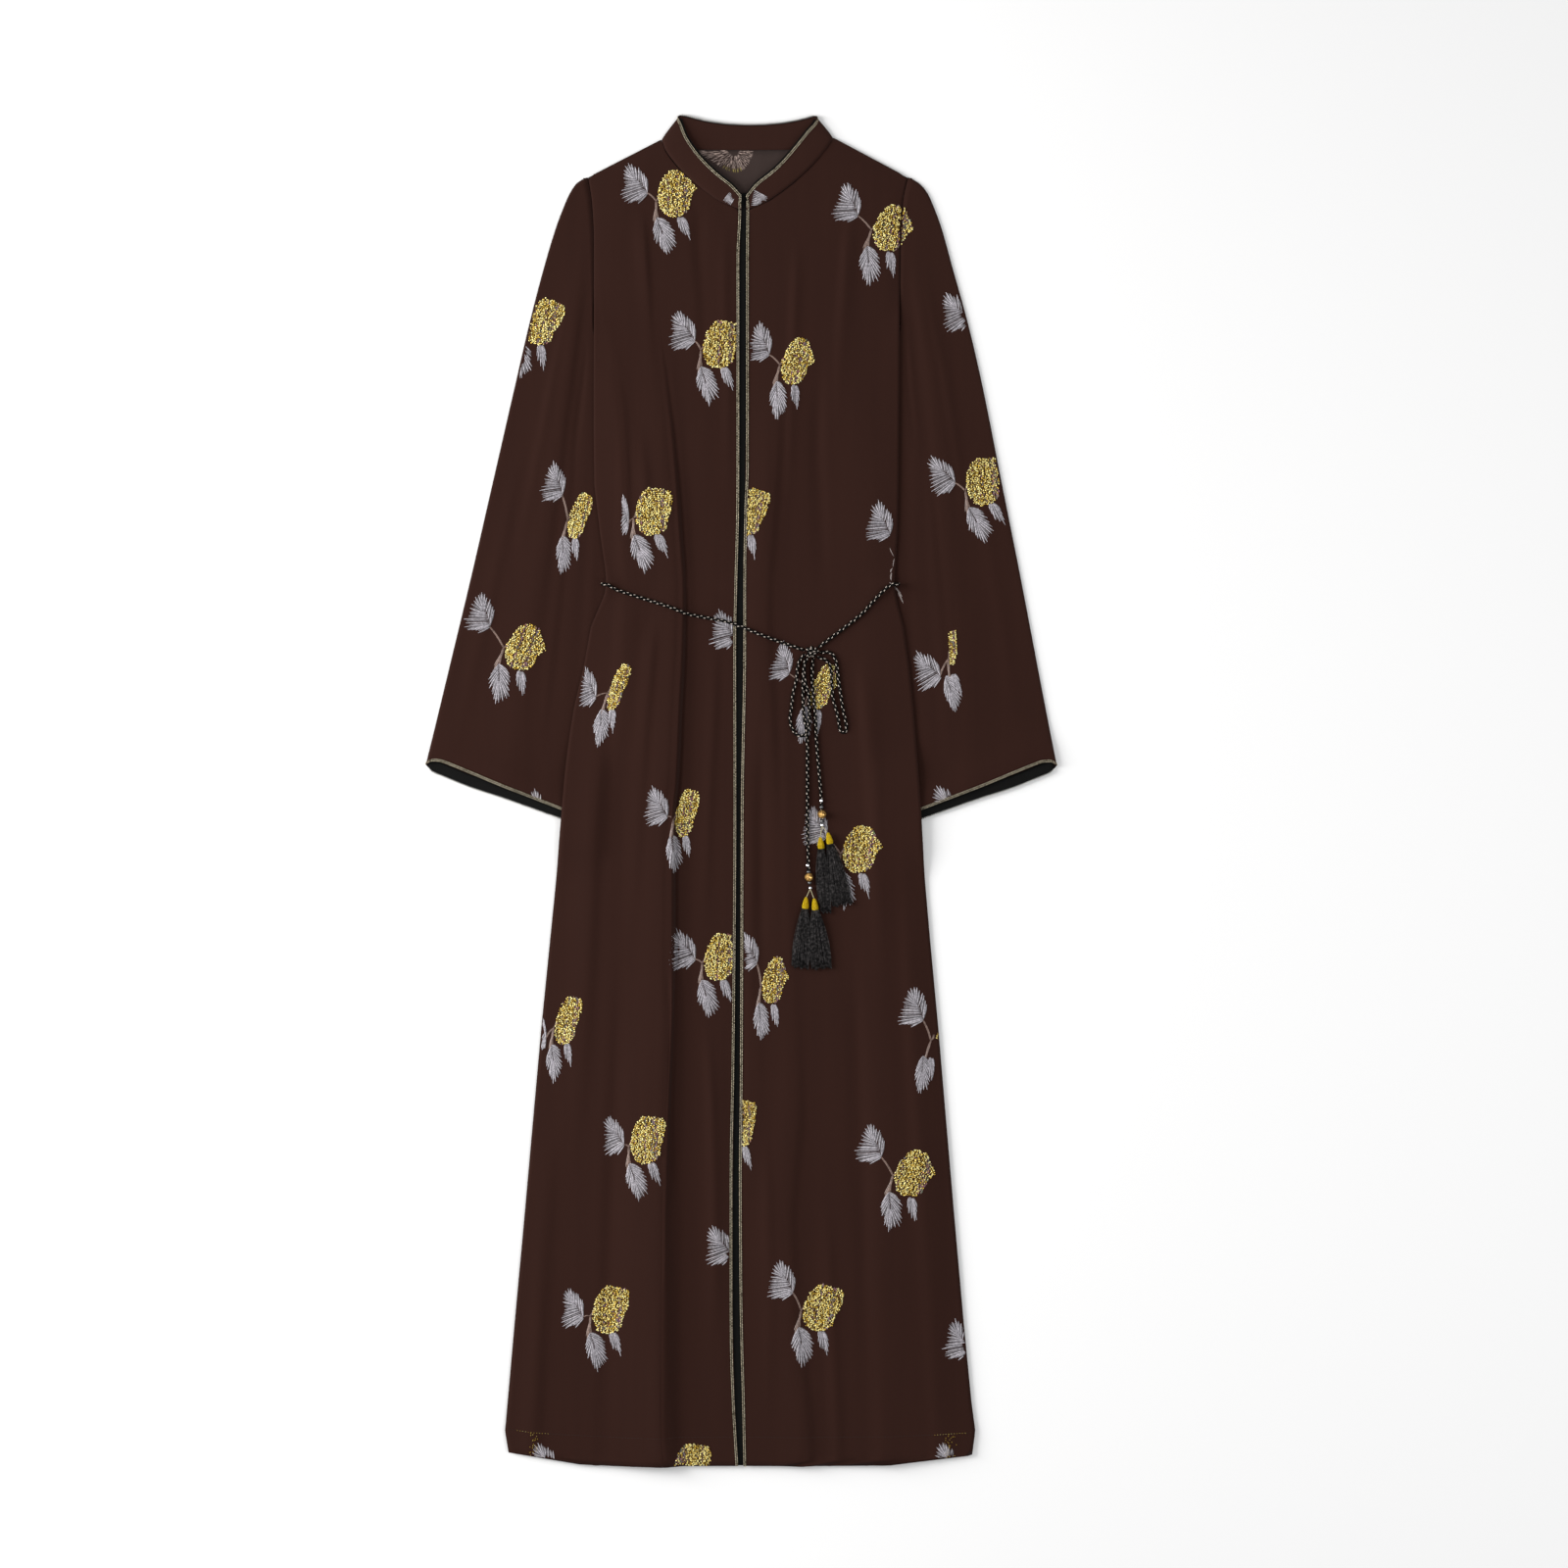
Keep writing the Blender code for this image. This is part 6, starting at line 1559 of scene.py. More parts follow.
ASIDE = Vector((1, 0, 0))
NECK_EDGE_LIFT = 0.0052
EDGE_ENDS = (0.1036, 1.4572)
EDGE_ROWS = 400
THROAT_DOWN = 0.0975
THROAT_X = (-0.0017, 0.0070)
ROW_ABOVE_CUFF = 0.985
CUFF_FOLD = 0.02
CUFF_STEPS = 60
CAST_HEIGHT = 0.1
WALL_HEIGHTS = {"front": 0.0038, "back": 0.0006}
shell_trees = {name: tree_of(piece) for name, piece in cloth.items()}


def edge_points(side, name, start, end):
    """Points up or down one front edge, on its cloth."""
    found = []
    for i in range(EDGE_ROWS + 1):
        down = start + (end - start) * i / EDGE_ROWS
        x = smooth_value(BRAID_LINES, 1 if side < 0 else 2, down)
        y = place(0, down).y
        tops = [top_at(shell_trees[name], x + s, y) for s in (0.0, side * 0.0008, side * 0.0016)]
        tops = [top for top in tops if top is not None]
        z = max(tops) if tops else (found[-1][0].z if found else NECK_EDGE_LIFT)
        found.append((Vector((x, y, z)), ASIDE, UP))
    return found


collar_points = []
last = len(collar_rows) - 1
for i, (seam, top, outward) in enumerate(collar_rows):
    ahead = (collar_rows[min(i + 1, last)][1] - collar_rows[max(i - 1, 0)][1]).normalized()
    collar_edge = top + (seam - top).normalized() * BRAID_WIDTH / 2
    collar_points.append((collar_edge, ahead.cross(outward).normalized(), outward))
for end, x in zip((0, -1), THROAT_X):
    collar_points[end] = (place(x, THROAT_DOWN, collar_points[end][0].z), ASIDE, UP)
right_points = edge_points(-1, "front_right", *EDGE_ENDS[::-1])
left_points = edge_points(1, "front_left", *EDGE_ENDS)
braid_pieces("edge_braid", spread_path(right_points + collar_points + left_points, BEAD_PITCH))

for name, facts in SLEEVES.items():
    ring = []
    for wall, up, ends in (("front", 1, (0.0, 1.0)), ("back", -1, (1.0, 0.0))):
        for share in spaced(*ends, CUFF_STEPS):
            point = place(*sleeve_plan(facts, share, 1.0, wall))
            higher = place(*sleeve_plan(facts, share, ROW_ABOVE_CUFF, wall))
            up_sleeve = (higher - point).normalized()
            inside = point + up_sleeve * BRAID_WIDTH / 2
            near = min(1.0, min(share, 1 - share) / CUFF_FOLD)
            side_way = ASIDE * facts["side"] * (1 if share < 0.5 else -1)
            out = (UP * up * near + side_way * (1 - near)).normalized()
            cast_from = Vector((inside.x, inside.y, CAST_HEIGHT * up))
            hit = shell_trees[name].ray_cast(cast_from, -up * UP)[0]
            inside.z = hit.z if hit is not None else WALL_HEIGHTS[wall]
            ring.append((inside, up_sleeve, out))
    braid_pieces("cuff_braid" + name[6:], spread_path(ring + [ring[0]], BEAD_PITCH)[:-1], closed=True)


# The embroidery: sprigs scattered at even distances, each a flower of gold sequins and bugle beads
# with stitched grey leaves and taupe stems. It was worked before cutting, so seams and edges cut
# the sprigs off, and the pieces here are dropped or shortened where they leave their panel.
DRAWN = 0.00106  # metres to a drawn unit, in which the flowers and the leaves are given
FLOWER_EDGES = {
    "full": (
        (-4, -23), (3, -22.5), (9, -22), (18, -20), (21, -14), (20, -6), (18.5, 1), (15.5, 8), (14.5, 18),
        (9, 23), (2, 25.5), (-5, 26), (-12, 22), (-16.5, 13), (-17.5, 3), (-15, -9), (-10, -18),
    ),
    "lobed": (
        (-6, -23), (2, -24.5), (8, -23), (13, -16), (18, -10), (22.5, -4), (17, 2), (15.5, 8), (14.5, 16),
        (9, 22), (2, 24), (-5, 25), (-12, 21), (-16.5, 12), (-18, 3), (-15.5, -9), (-11, -18),
    ),
    "bud": ((-8, -14), (24, -14), (24, 4), (-8, 4)),
    "short": ((-12, -19), (18, -19), (20, 3), (4, 15), (-16, 15)),
}
# The outermost and turning stitches of each leaf, in order round it: where they start on the vein and
# where they end, x and down in drawn units. The lower and small leaves are drawn from the flower's
# middle and the upper one from its own.
LEAVES = {
    "lower": {"stitches": 38, "width": 1.40, "rows": (
        (-18.5, 25.0, -11.0, 26.5), (-18.5, 25.6, -4.6, 31.5), (-17.4, 28.5, -2.2, 36.8),
        (-16.2, 31.0, -1.0, 42.5), (-14.4, 35.0, 0.8, 48.6), (-13.0, 38.6, 1.2, 53.8),
        (-12.1, 41.2, -1.6, 56.8), (-12.0, 42.0, -4.6, 59.2), (-12.6, 41.8, -7.6, 63.4),
        (-13.4, 40.8, -10.4, 59.8), (-14.2, 38.2, -13.4, 58.4), (-15.0, 35.6, -15.4, 52.4),
        (-15.8, 33.6, -18.8, 49.8), (-17.0, 30.4, -21.8, 44.4), (-17.8, 28.0, -22.6, 39.6),
        (-18.6, 25.6, -21.4, 33.4),
    )},
    "small": {"stitches": 16, "width": 1.30, "rows": (
        (8.0, 24.5, 12.5, 29.5), (7.0, 24.5, 14.6, 36.5), (6.5, 25.0, 15.6, 47.0), (5.5, 25.0, 11.2, 43.3),
        (4.5, 24.5, 7.2, 41.0), (3.5, 24.5, 4.1, 36.0), (2.5, 25.0, 2.4, 30.0),
    )},
    "upper": {"stitches": 42, "width": 1.40, "rows": (
        (13.2, 7.2, 13.1, -6.8), (12.6, 5.5, 9.6, -11.7), (8.2, -0.6, 6.0, -15.5),
        (5.0, -4.0, 4.9, -17.5), (3.0, -5.6, 2.0, -17.3), (1.2, -7.0, -1.0, -19.9),
        (0.2, -8.0, -5.6, -22.4), (-0.6, -8.0, -10.4, -16.8), (3.2, -5.2, -10.2, -8.0),
        (6.3, -2.8, -9.9, 0.3), (9.0, 0.8, -11.8, 8.0), (11.0, 4.0, -10.8, 12.5), (12.0, 5.8, -7.5, 18.3),
        (12.8, 7.0, 0.4, 15.6), (13.4, 8.2, 4.9, 17.0),
    )},
}
STEM_NODE = (-19.5, 8.0)
SPRIGS = (  # panel, x and down of the flower in metres, turn in degrees, then the upper leaf's middle in mm
    ("front_right", -0.0713, 0.0850, 0, (-44, -8)), ("front_left", 0.1622, 0.1220, 16, (-48, -24)),
    ("sleeve_right", -0.2129, 0.2224, 16, (-44, -22)), ("front_right", -0.0227, 0.2467, 3, (-41, -11)),
    ("front_left", 0.0586, 0.2657, 14, (-39, -17)), ("sleeve_right", -0.1738, 0.4316, 14, (-29, -32)),
    ("front_right", -0.0956, 0.4274, 0, (-30, 7)), ("front_left", 0.0111, 0.4274, 11, None),
    ("sleeve_left", 0.2604, 0.3946, -9, (-45, -3)),
    ("sleeve_right", -0.2340, 0.5742, 20, (-48, -34)), ("front_right", -0.1284, 0.6165, 4, (-37, 4)),
    ("front_left", 0.0882, 0.6165, 18, (-45, -24)), ("sleeve_left", 0.2277, 0.5774, -10, (-28, 24)),
    ("front_right", -0.0597, 0.7517, 4, (-32, -3)), ("front_left", 0.1284, 0.7918, 8, (-50, -22)),
    ("front_right", -0.0227, 0.9070, 1, (-41, -4)), ("front_left", 0.0354, 0.9334, 8, (-30, -28)),
    ("front_right", -0.1844, 0.9757, -3, (-30, 14)), ("front_left", 0.2150, 0.9936, 18, (-30, -29)),
    ("front_right", -0.1009, 1.1035, -2, (-37, 0)), ("front_left", 0.0005, 1.0866, 2, None),
    ("front_left", 0.1854, 1.1415, 16, (-46, -29)), ("front_right", -0.1421, 1.2873, 1, (-40, 2)),
    ("front_left", 0.0861, 1.2852, 11, (-43, -26)), ("front_right", -0.0544, 1.4575, 0, None),
    ("sleeve_left", 0.1622, 0.1220, 16, None),
)
# How the small folds of the cloth change a sprig, by its number in the list: the share of its
# width that shows, its lean, how far it moves aside in drawn units, and the share of the upper leaf
FOLDS = {
    2: (0.92, 0.0, -1.0, 1.0), 4: (0.80, 0.0, 1.0, 0.9), 5: (0.52, 0.0, -1.0, 0.85),
    6: (1.0, 0.0, 0.0, 0.28), 7: (0.80, 0.0, 0.0, 1.0), 10: (0.42, -0.22, -4.0, 0.65),
    11: (0.60, 0.0, 0.0, 0.78), 12: (0.24, -0.12, 0.0, 1.0), 13: (0.58, -0.06, 0.0, 0.9),
    15: (0.92, -0.05, 0.0, 1.0), 16: (0.64, 0.0, 0.0, 0.9), 17: (0.66, -0.20, -3.0, 0.22),
    18: (0.30, 0.0, -2.0, 1.0), 19: (0.93, -0.04, -1.0, 0.8), 20: (0.72, 0.0, 0.0, 1.0),
    22: (0.97, -0.05, 0.0, 0.85),
}
LEAF_SHOWN_LEAST = 0.72
EDGE_OF = {**{number: "lobed" for number in (0, 1, 4, 9, 11, 14, 16, 21, 25)}, 12: "short", 18: "bud"}
# Columns of a flower where the stitching shows between the beads
BARE_COLUMNS = {
    4: (3.0, 7.0), 9: (4.0, 9.0), 11: (8.0, 12.0), 13: (6.0, 9.5), 16: (6.0, 12.0), 21: (10.0, 16.5),
    24: (-16.0, -5.0),
}
USUAL_BARE = (8.5, 12.5)
# A leaf's stitches lie raised and sunk by turns: how much longer, wider and higher, and their shades
RAISED_STITCH = (0.05, 0.9, 0.0010, 1.05, 1.42)
SUNK_STITCH = (-0.06, 1.1, 0.0005, 0.30, 0.54)
FLOWER_LEFT, FLOWER_RIGHT = -18.0, 22.0
FLOWER_TOP, FLOWER_FOOT = -24.5, 27.0
COLUMN_PITCH = 1.38
SEQUIN_WIDTH = 1.80
LOOSE_SHARE = 0.20
LONE_LEAVES = (  # panel, x and down of an upper leaf whose flower was cut away, and its turn
    ("sleeve_left", 0.2308, 0.2150, -8), ("front_right", -0.0195, 0.5584, 4),
    ("front_right", -0.0248, 1.2218, 0), ("front_left", 0.2330, 1.3243, 10),
    ("sleeve_right", -0.2213, 0.7530, 12), ("sleeve_left", 0.2203, 0.7474, -8),
    ("front_right", -0.2130, 1.4560, 0), ("front_left", 0.2200, 1.4560, 8),
    ("front_left", 0.1484, 0.4421, 14),
)
# What the side seam leaves of the sprig above the belt's left end: x, down, x, down, width
SEAM_STEMS = (
    (0.1600, 0.4675, 0.1645, 0.4770, 0.0010), (0.1660, 0.4776, 0.1664, 0.4792, 0.0018),
    (0.1650, 0.4790, 0.1636, 0.4880, 0.0010), (0.1628, 0.4895, 0.1608, 0.4940, 0.0019),
    (0.1620, 0.4945, 0.1614, 0.5030, 0.0015), (0.1598, 0.5048, 0.1668, 0.5105, 0.0016),
    (0.1604, 0.5100, 0.1660, 0.5096, 0.0012), (0.1650, 0.5088, 0.1718, 0.5160, 0.0018),
    (0.1672, 0.5102, 0.1734, 0.5200, 0.0018), (0.1688, 0.5130, 0.1738, 0.5250, 0.0016),
    (0.1702, 0.5140, 0.1746, 0.5270, 0.0014),
)
SIDE_EDGE = 0.1680
TRIM_MARGIN = 0.0019
PANEL_MARGIN = 0.0008
SHORTEST_STITCH = 0.0008
STITCH_STEP = 0.0042
STITCH_SUNK = 0.0001
SEQUIN_HEIGHT = 0.0009
FRONT_LAYER_ABOVE = 0.0028
LEAF_GREY = (0.50, 0.475, 0.51)
STEM_TAUPE = (0.27, 0.185, 0.155)
PATCH_MAUVE = (0.30, 0.205, 0.185)
SEAM_GREY = (0.33, 0.28, 0.265)

stitch_look = Look("embroidery_thread", 0.42, 0.45)
tint = stitch_look.add("ShaderNodeAttribute", {"attribute_name": "tint"}).outputs["Color"]
strand, dash = stitch_look.noise(1500.0), stitch_look.noise(420.0, 1.0)
calc = stitch_look.calc
fleck = calc("ADD", calc("MULTIPLY", calc("SUBTRACT", strand, 0.5), 3.2), calc("MULTIPLY", dash, 1.5))
shade = stitch_look.spread(fleck, 0.2, 1.3, 0.38, 1.25)
shaded = stitch_look.add("ShaderNodeVectorMath", {"operation": "SCALE"}, i0=tint, Scale=shade)
stitch_look.feed("Base Color", shaded.outputs[0])
stitch_look.relief(strand, 0.5, 0.0003)
sequin_look = Look("gold_sequins", 0.30, 0.5, 0.5)
tone = sequin_look.add("ShaderNodeAttribute", {"attribute_name": "tone"}).outputs["Fac"]
ramp = sequin_look.add("ShaderNodeValToRGB", Fac=tone)
ramp.color_ramp.elements[0].color = (0.165, 0.092, 0.018, 1.0)
ramp.color_ramp.elements[1].color = (0.98, 0.90, 0.40, 1.0)
ramp.color_ramp.elements.new(0.5).color = (0.72, 0.48, 0.050, 1.0)
sequin_look.feed("Base Color", ramp.outputs[0])
sequin_look.relief(sequin_look.noise(1800.0), 0.5, 0.0003)


def tinted(colour, shade):
    return tuple(channel * shade for channel in colour)


def inside_outline(x, y, outline):
    crossings = 0
    for (ax, ay), (bx, by) in zip(outline, outline[1:] + outline[:1]):
        if (ay > y) != (by > y) and x < ax + (bx - ax) * (y - ay) / (by - ay):
            crossings += 1
    return crossings % 2 == 1


def trim_covers(panel, x, down):
    """Whether a point of a front lies under its edge braid."""
    if panel == "front_right":
        return x > smooth_value(BRAID_LINES, 1, down) - TRIM_MARGIN
    if panel == "front_left":
        return x < smooth_value(BRAID_LINES, 2, down) + TRIM_MARGIN
    return False


def rod_faces(first, rings, sides):
    """Faces of a rod whose corners are numbered ring by ring, with both its ends."""
    last = first + sides * (rings - 1)
    faces = []
    for start in range(first, last, sides):
        for m in range(sides):
            n = (m + 1) % sides
            faces.append((start + m, start + n, start + sides + n, start + sides + m))
    return [*faces, tuple(range(first, first + sides))[::-1], tuple(range(last, last + sides))]


class Embroidery:
    """Collects the stitches and the beads that lie on one panel."""

    def __init__(self, panel):
        self.panel = panel
        self.tree = shell_trees[panel]
        self.points, self.faces, self.tints, self.beads = [], [], [], []

    def on_panel(self, x, down):
        if trim_covers(self.panel, x, down):
            return None
        flat = place(x, down)
        z = top_at(self.tree, flat.x, flat.y)
        near = ((PANEL_MARGIN, 0), (-PANEL_MARGIN, 0), (0, PANEL_MARGIN), (0, -PANEL_MARGIN))
        around = [z, *(top_at(self.tree, flat.x + s, flat.y + t) for s, t in near)]
        if None in around or (self.panel.startswith("sleeve") and min(around) < FRONT_LAYER_ABOVE):
            return None
        return Vector((flat.x, flat.y, z))

    def stitch(self, start, end, width, height, tint, bow=0.0):
        """One satin stitch between two points given as (x, down): a low ridge with pointed ends."""
        way = Vector((end[0] - start[0], end[1] - start[1]))
        if way.length < SHORTEST_STITCH:
            return
        side = Vector((-way.y, way.x)).normalized()
        pieces = max(2, math.ceil(way.length / STITCH_STEP))
        runs = [[]]
        for k in range(pieces + 1):
            share = k / pieces
            swing = side * bow * math.sin(math.pi * share)
            point = self.on_panel(start[0] + way.x * share + swing.x, start[1] + way.y * share + swing.y)
            if point is None:
                runs.append([])
            else:
                runs[-1].append(point)
        line = max(runs, key=len)
        if len(line) < 3:
            return
        self.faces += rod_faces(len(self.points), len(line), 3)
        last = len(line) - 1
        sunk = UP * STITCH_SUNK
        for k, point in enumerate(line):
            ahead = (line[min(k + 1, last)] - line[max(k - 1, 0)]).normalized()
            full = min(1.0, 0.45 + 3.0 * k / last, 0.40 + 2.6 * (1.0 - k / last))
            half = ahead.cross(UP).normalized() * width * 0.5 * full
            self.points += [point - half - sunk, point + UP * height * full, point + half - sunk]
            self.tints += [tint] * 3

    def bead(self, x, down, angle, length, width, tone, lift=0.0):
        point = self.on_panel(x, down)
        if point is None:
            return
        ahead = Vector((math.sin(angle), -math.cos(angle), 0.0))
        across = Vector((ahead.y, -ahead.x, 0.0))
        sizes = ahead * length / 2, across * width / 2, UP * SEQUIN_HEIGHT
        self.beads.append((point + UP * lift, *sizes, tone))

    def leaf(self, kind, turned, rng):
        """A leaf of satin stitches from its vein to its jagged edge, pale and shaded by turns."""
        facts = LEAVES[kind]
        travelled = [row[0] for row in measured([row[2:] for row in facts["rows"]])]
        for k in range(facts["stitches"]):
            at = travelled[-1] * k / (facts["stitches"] - 1)
            ax, ay, bx, by = (float(np.interp(at, travelled, column)) for column in zip(*facts["rows"]))
            longer, wide, height, *shades = RAISED_STITCH if k % 2 else SUNK_STITCH
            reach = 1.0 + longer + rng.uniform(-0.09, 0.09)
            tint = tinted(LEAF_GREY, rng.uniform(*shades))
            start, end = turned(ax, ay), turned(ax + (bx - ax) * reach, ay + (by - ay) * reach)
            bow = rng.uniform(-0.3, 0.3) * DRAWN
            self.stitch(start, end, facts["width"] * DRAWN * wide, height, tint, bow)

    def flower(self, turned, turn, rng, edge, shown, bare):
        """Columns of sequins inside the flower's outline, brighter at its rim and foot, with columns
        where the stitching shows between them and a few loose sequins on top."""
        outline = list(FLOWER_EDGES[edge])
        bare_columns = [bare, *((start, start + 1.9) for start in (rng.uniform(-14, 0), rng.uniform(0, 14)))]
        across = FLOWER_LEFT
        while across < FLOWER_RIGHT:
            streak = rng.uniform(-0.22, 0.20)
            down = FLOWER_TOP + rng.uniform(0.0, 1.6)
            while down < FLOWER_FOOT:
                long = rng.uniform(0.9, 2.1)
                middle = down + long / 2
                down += long + 0.10
                wander = across + rng.uniform(-0.95, 0.95)
                if not inside_outline(wander, middle, outline):
                    continue
                x, y = turned(wander, middle)
                lean = rng.gauss(0.0, 0.85) - (0.5 if wander > 3 and middle > 6 else 0.0) * rng.random()
                in_patch = any(low < wander < high for low, high in bare_columns)
                if rng.random() < (0.60 if in_patch else 0.05):
                    aside, half = 0.3 * long * math.sin(lean), 0.6 * long
                    ends = turned(wander - aside, middle - half), turned(wander + aside, middle + half)
                    mauve = tuple(channel * rng.uniform(0.6, 1.3) for channel in PATCH_MAUVE)
                    self.stitch(*ends, 1.5 * DRAWN, 0.0006, mauve)
                    continue
                rim = 0.0 if inside_outline(wander * 1.10, middle * 1.10, outline) else 0.20
                bright = rng.betavariate(0.60, 0.64) + streak + rim + (0.10 if middle > 8 else 0.0)
                self.bead(x, y, turn + lean, long * DRAWN, SEQUIN_WIDTH * DRAWN, min(1.0, max(0.0, bright)))
                if rng.random() < LOOSE_SHARE:
                    x += rng.uniform(-0.5, 0.5) * DRAWN
                    self.bead(x, y, turn + lean * 2, 1.7 * DRAWN, 1.5 * DRAWN, rng.uniform(0.75, 1.0), 0.0006)
            across += COLUMN_PITCH / shown

    def finish(self):
        name = "embroidery_" + self.panel
        pieces = [drawn_mesh(name, self.points, self.faces, "tint", self.tints, stitch_look)]
        if self.beads:
            pieces.append(beads_mesh("sequins_" + self.panel, self.beads, sequin_look))
        for piece in pieces:
            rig.slot(piece, "beaded_braid")
            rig.ride(piece, "root")


embroidery = {name: Embroidery(name) for name in ("front_right", "front_left", "sleeve_right", "sleeve_left")}
for number, (panel, at_x, at_down, degrees, leaf_at) in enumerate(SPRIGS):
    rng = random.Random(number)
    work = embroidery[panel]
    turn = math.radians(degrees)
    shown, lean, aside, leaf_shown = FOLDS.get(number, (1.0, 0.0, 0.0, 1.0))

    def turned(x, y, origin=(at_x, at_down), turn=turn, shown=shown, lean=lean, aside=aside):
        """A drawn point narrowed by the folds, turned clockwise and moved to its place on the garment."""
        x = x * shown + y * lean + aside
        return (
            origin[0] + DRAWN * (x * math.cos(turn) - y * math.sin(turn)),
            origin[1] + DRAWN * (x * math.sin(turn) + y * math.cos(turn)),
        )

    node = turned(*STEM_NODE)
    stems = [(node, turned(-16.5, 1.0)), (node, turned(-17.0, 27.0))]
    if leaf_at is not None:
        leaf_origin = (at_x + leaf_at[0] / 1000, at_down + leaf_at[1] / 1000)

        def leaf_turned(x, y):
            return turned(x, y, leaf_origin, shown=leaf_shown, lean=0.0, aside=0.0)

        work.leaf("upper", leaf_turned, rng)
        stems.append((node, leaf_turned(12.5, 7.0)))
    for start, end in stems:
        for shift in (-0.0005, 0.0005):
            ends = (start[0] + shift, start[1]), (end[0] + shift, end[1])
            work.stitch(*ends, 0.0012, 0.0005, STEM_TAUPE, bow=0.001)
    for k in range(3):
        ends = turned(-18.5, 9.5 + k), turned(-22.5 + 1.2 * k, 31 - 2.5 * abs(k - 1))
        work.stitch(*ends, 0.0017, 0.0005, STEM_TAUPE)
    fuller = max(1.0, LEAF_SHOWN_LEAST / shown)
    for kind, middle in (("lower", -10.5), ("small", 9.0)):
        work.leaf(kind, lambda x, y: turned(middle + (x - middle) * fuller, y), rng)
    work.flower(turned, turn, rng, EDGE_OF.get(number, "full"), shown, BARE_COLUMNS.get(number, USUAL_BARE))
for number, (panel, at_x, at_down, degrees) in enumerate(LONE_LEAVES):
    turn = math.radians(degrees)
    work = embroidery[panel]
    work.leaf("upper", lambda x, y: turned(x, y, (at_x, at_down), turn), random.Random(100 + number))
for start_x, start_down, end_x, end_down, width in SEAM_STEMS:
    ends = (start_x, start_down), (end_x, end_down)
    for panel in ("front_left", "sleeve_left") if end_x > SIDE_EDGE else ("front_left",):
        embroidery[panel].stitch(*ends, width, 0.0005, SEAM_GREY, bow=0.0004)
for work in embroidery.values():
    work.finish()


# Leaf ends that show on the collar's front ends, cut off by the neck seam, and the back of one
# flower, which shows inside the neck as a fan of short curved brown threads, with a little gold at
# its lower edge.
COLLAR_LEAVES = (  # where its stitches start and where they end, first and last, and their number
    (((-0.0215, 0.0962), (-0.0112, 0.1026)), ((-0.0118, 0.0842), (-0.0064, 0.0938)), 9),
    (((0.0138, 0.0826), (0.0098, 0.1020)), ((0.0318, 0.0918), (0.0212, 0.0990)), 11),
)
work = Embroidery("collar")
rng = random.Random(7)
for *lines, count in COLLAR_LEAVES:
    for k in range(count):
        begin, finish = (Vector(first).lerp(Vector(last), k / (count - 1)) for first, last in lines)
        finish = begin.lerp(finish, rng.uniform(0.86, 1.06))
        work.stitch(begin, finish, 0.0015, 0.0006, tinted(LEAF_GREY, rng.uniform(0.75, 1.15)))
work.finish()

FAN_CENTRE = (-0.0068, 0.0400)
FAN_RINGS = (  # distance from the centre, half length and number of threads of each ring
    (0.0060, 0.0022, 17), (0.0105, 0.0024, 28), (0.0142, 0.0022, 34), (0.0176, 0.0020, 38),
)
FAN_TURN = (-16.0, 204.0)
FAN_REACHES = ((-20.0, 1.0), (30.0, 1.0), (90.0, 1.12), (140.0, 1.45), (178.0, 2.0), (196.0, 2.0))
FAN_BROWN = (0.42, 0.32, 0.28)
FAN_GOLD = (0.30, 0.24, 0.07)
work = Embroidery("back")
rng = random.Random(9)
for distance, half, count in FAN_RINGS:
    for k in range(count):
        degrees = FAN_TURN[0] + FAN_TURN[1] * (k + rng.uniform(-0.25, 0.25)) / (count - 1)
        angle = math.radians(degrees)
        way_x = math.cos(angle) * smooth_value(FAN_REACHES, 1, degrees)
        way_down = math.sin(angle) * (0.62 + 0.38 * abs(math.sin(angle))) * 1.14
        near, far = distance - half * rng.uniform(0.8, 1.1), distance + half * rng.uniform(0.8, 1.15)
        start, end = ((FAN_CENTRE[0] + way_x * at, FAN_CENTRE[1] + way_down * at) for at in (near, far))
        low_edge = distance > 0.016 and 70.0 < degrees < 125.0
        tint = tinted(FAN_GOLD if low_edge else FAN_BROWN, rng.uniform(0.55, 1.30))
        work.stitch(start, end, 0.00115, 0.0005, tint, bow=rng.choice((-0.0006, 0.0006)))
work.finish()


# The turned-up hem is caught down with blind stitches 31 mm above the edge. Near two of its folds
# the sequins of covered sprigs gleam through the cloth.
HEM_DEPTH = 0.0312
HEM_PITCH = 0.0034
HEM_STITCH = 0.0026
HEM_THREAD = (0.011, 0.0045, 0.0034)
FOLD_GLEAMS = 30
STITCH_GLEAMS = 12
HEMS = {  # where its stitching starts and ends, and the middle of its gleams
    "front_right": (-0.262, -0.012, -0.2235),
    "front_left": (0.004, 0.268, 0.2235),
}
for panel, (x, hem_end, middle) in HEMS.items():
    work = Embroidery(panel)
    rng = random.Random(panel)
    while x < hem_end:
        down = smooth_value(HEM_LINE, 1, x) - HEM_DEPTH + rng.uniform(-0.0002, 0.0002)
        work.stitch((x, down), (x + HEM_STITCH, down + 0.0002), 0.0007, 0.00012, HEM_THREAD)
        x += HEM_PITCH
    for k in range(FOLD_GLEAMS):
        down = smooth_value(HEM_LINE, 1, middle) - HEM_DEPTH * rng.uniform(0.10, 1.0)
        x = middle + rng.gauss(0.0, 0.0028)
        work.bead(x, down, rng.uniform(-0.4, 0.4), rng.uniform(0.0007, 0.0016), 0.0007, rng.uniform(0.2, 0.7))
    for k in range(STITCH_GLEAMS):
        x = middle + 0.003 * (k - STITCH_GLEAMS // 2) * (1 if middle < 0 else -1)
        work.bead(x, smooth_value(HEM_LINE, 1, x) - HEM_DEPTH, 1.5, 0.0009, 0.0007, rng.uniform(0.3, 0.9))
    work.panel += "_hem"
    work.finish()


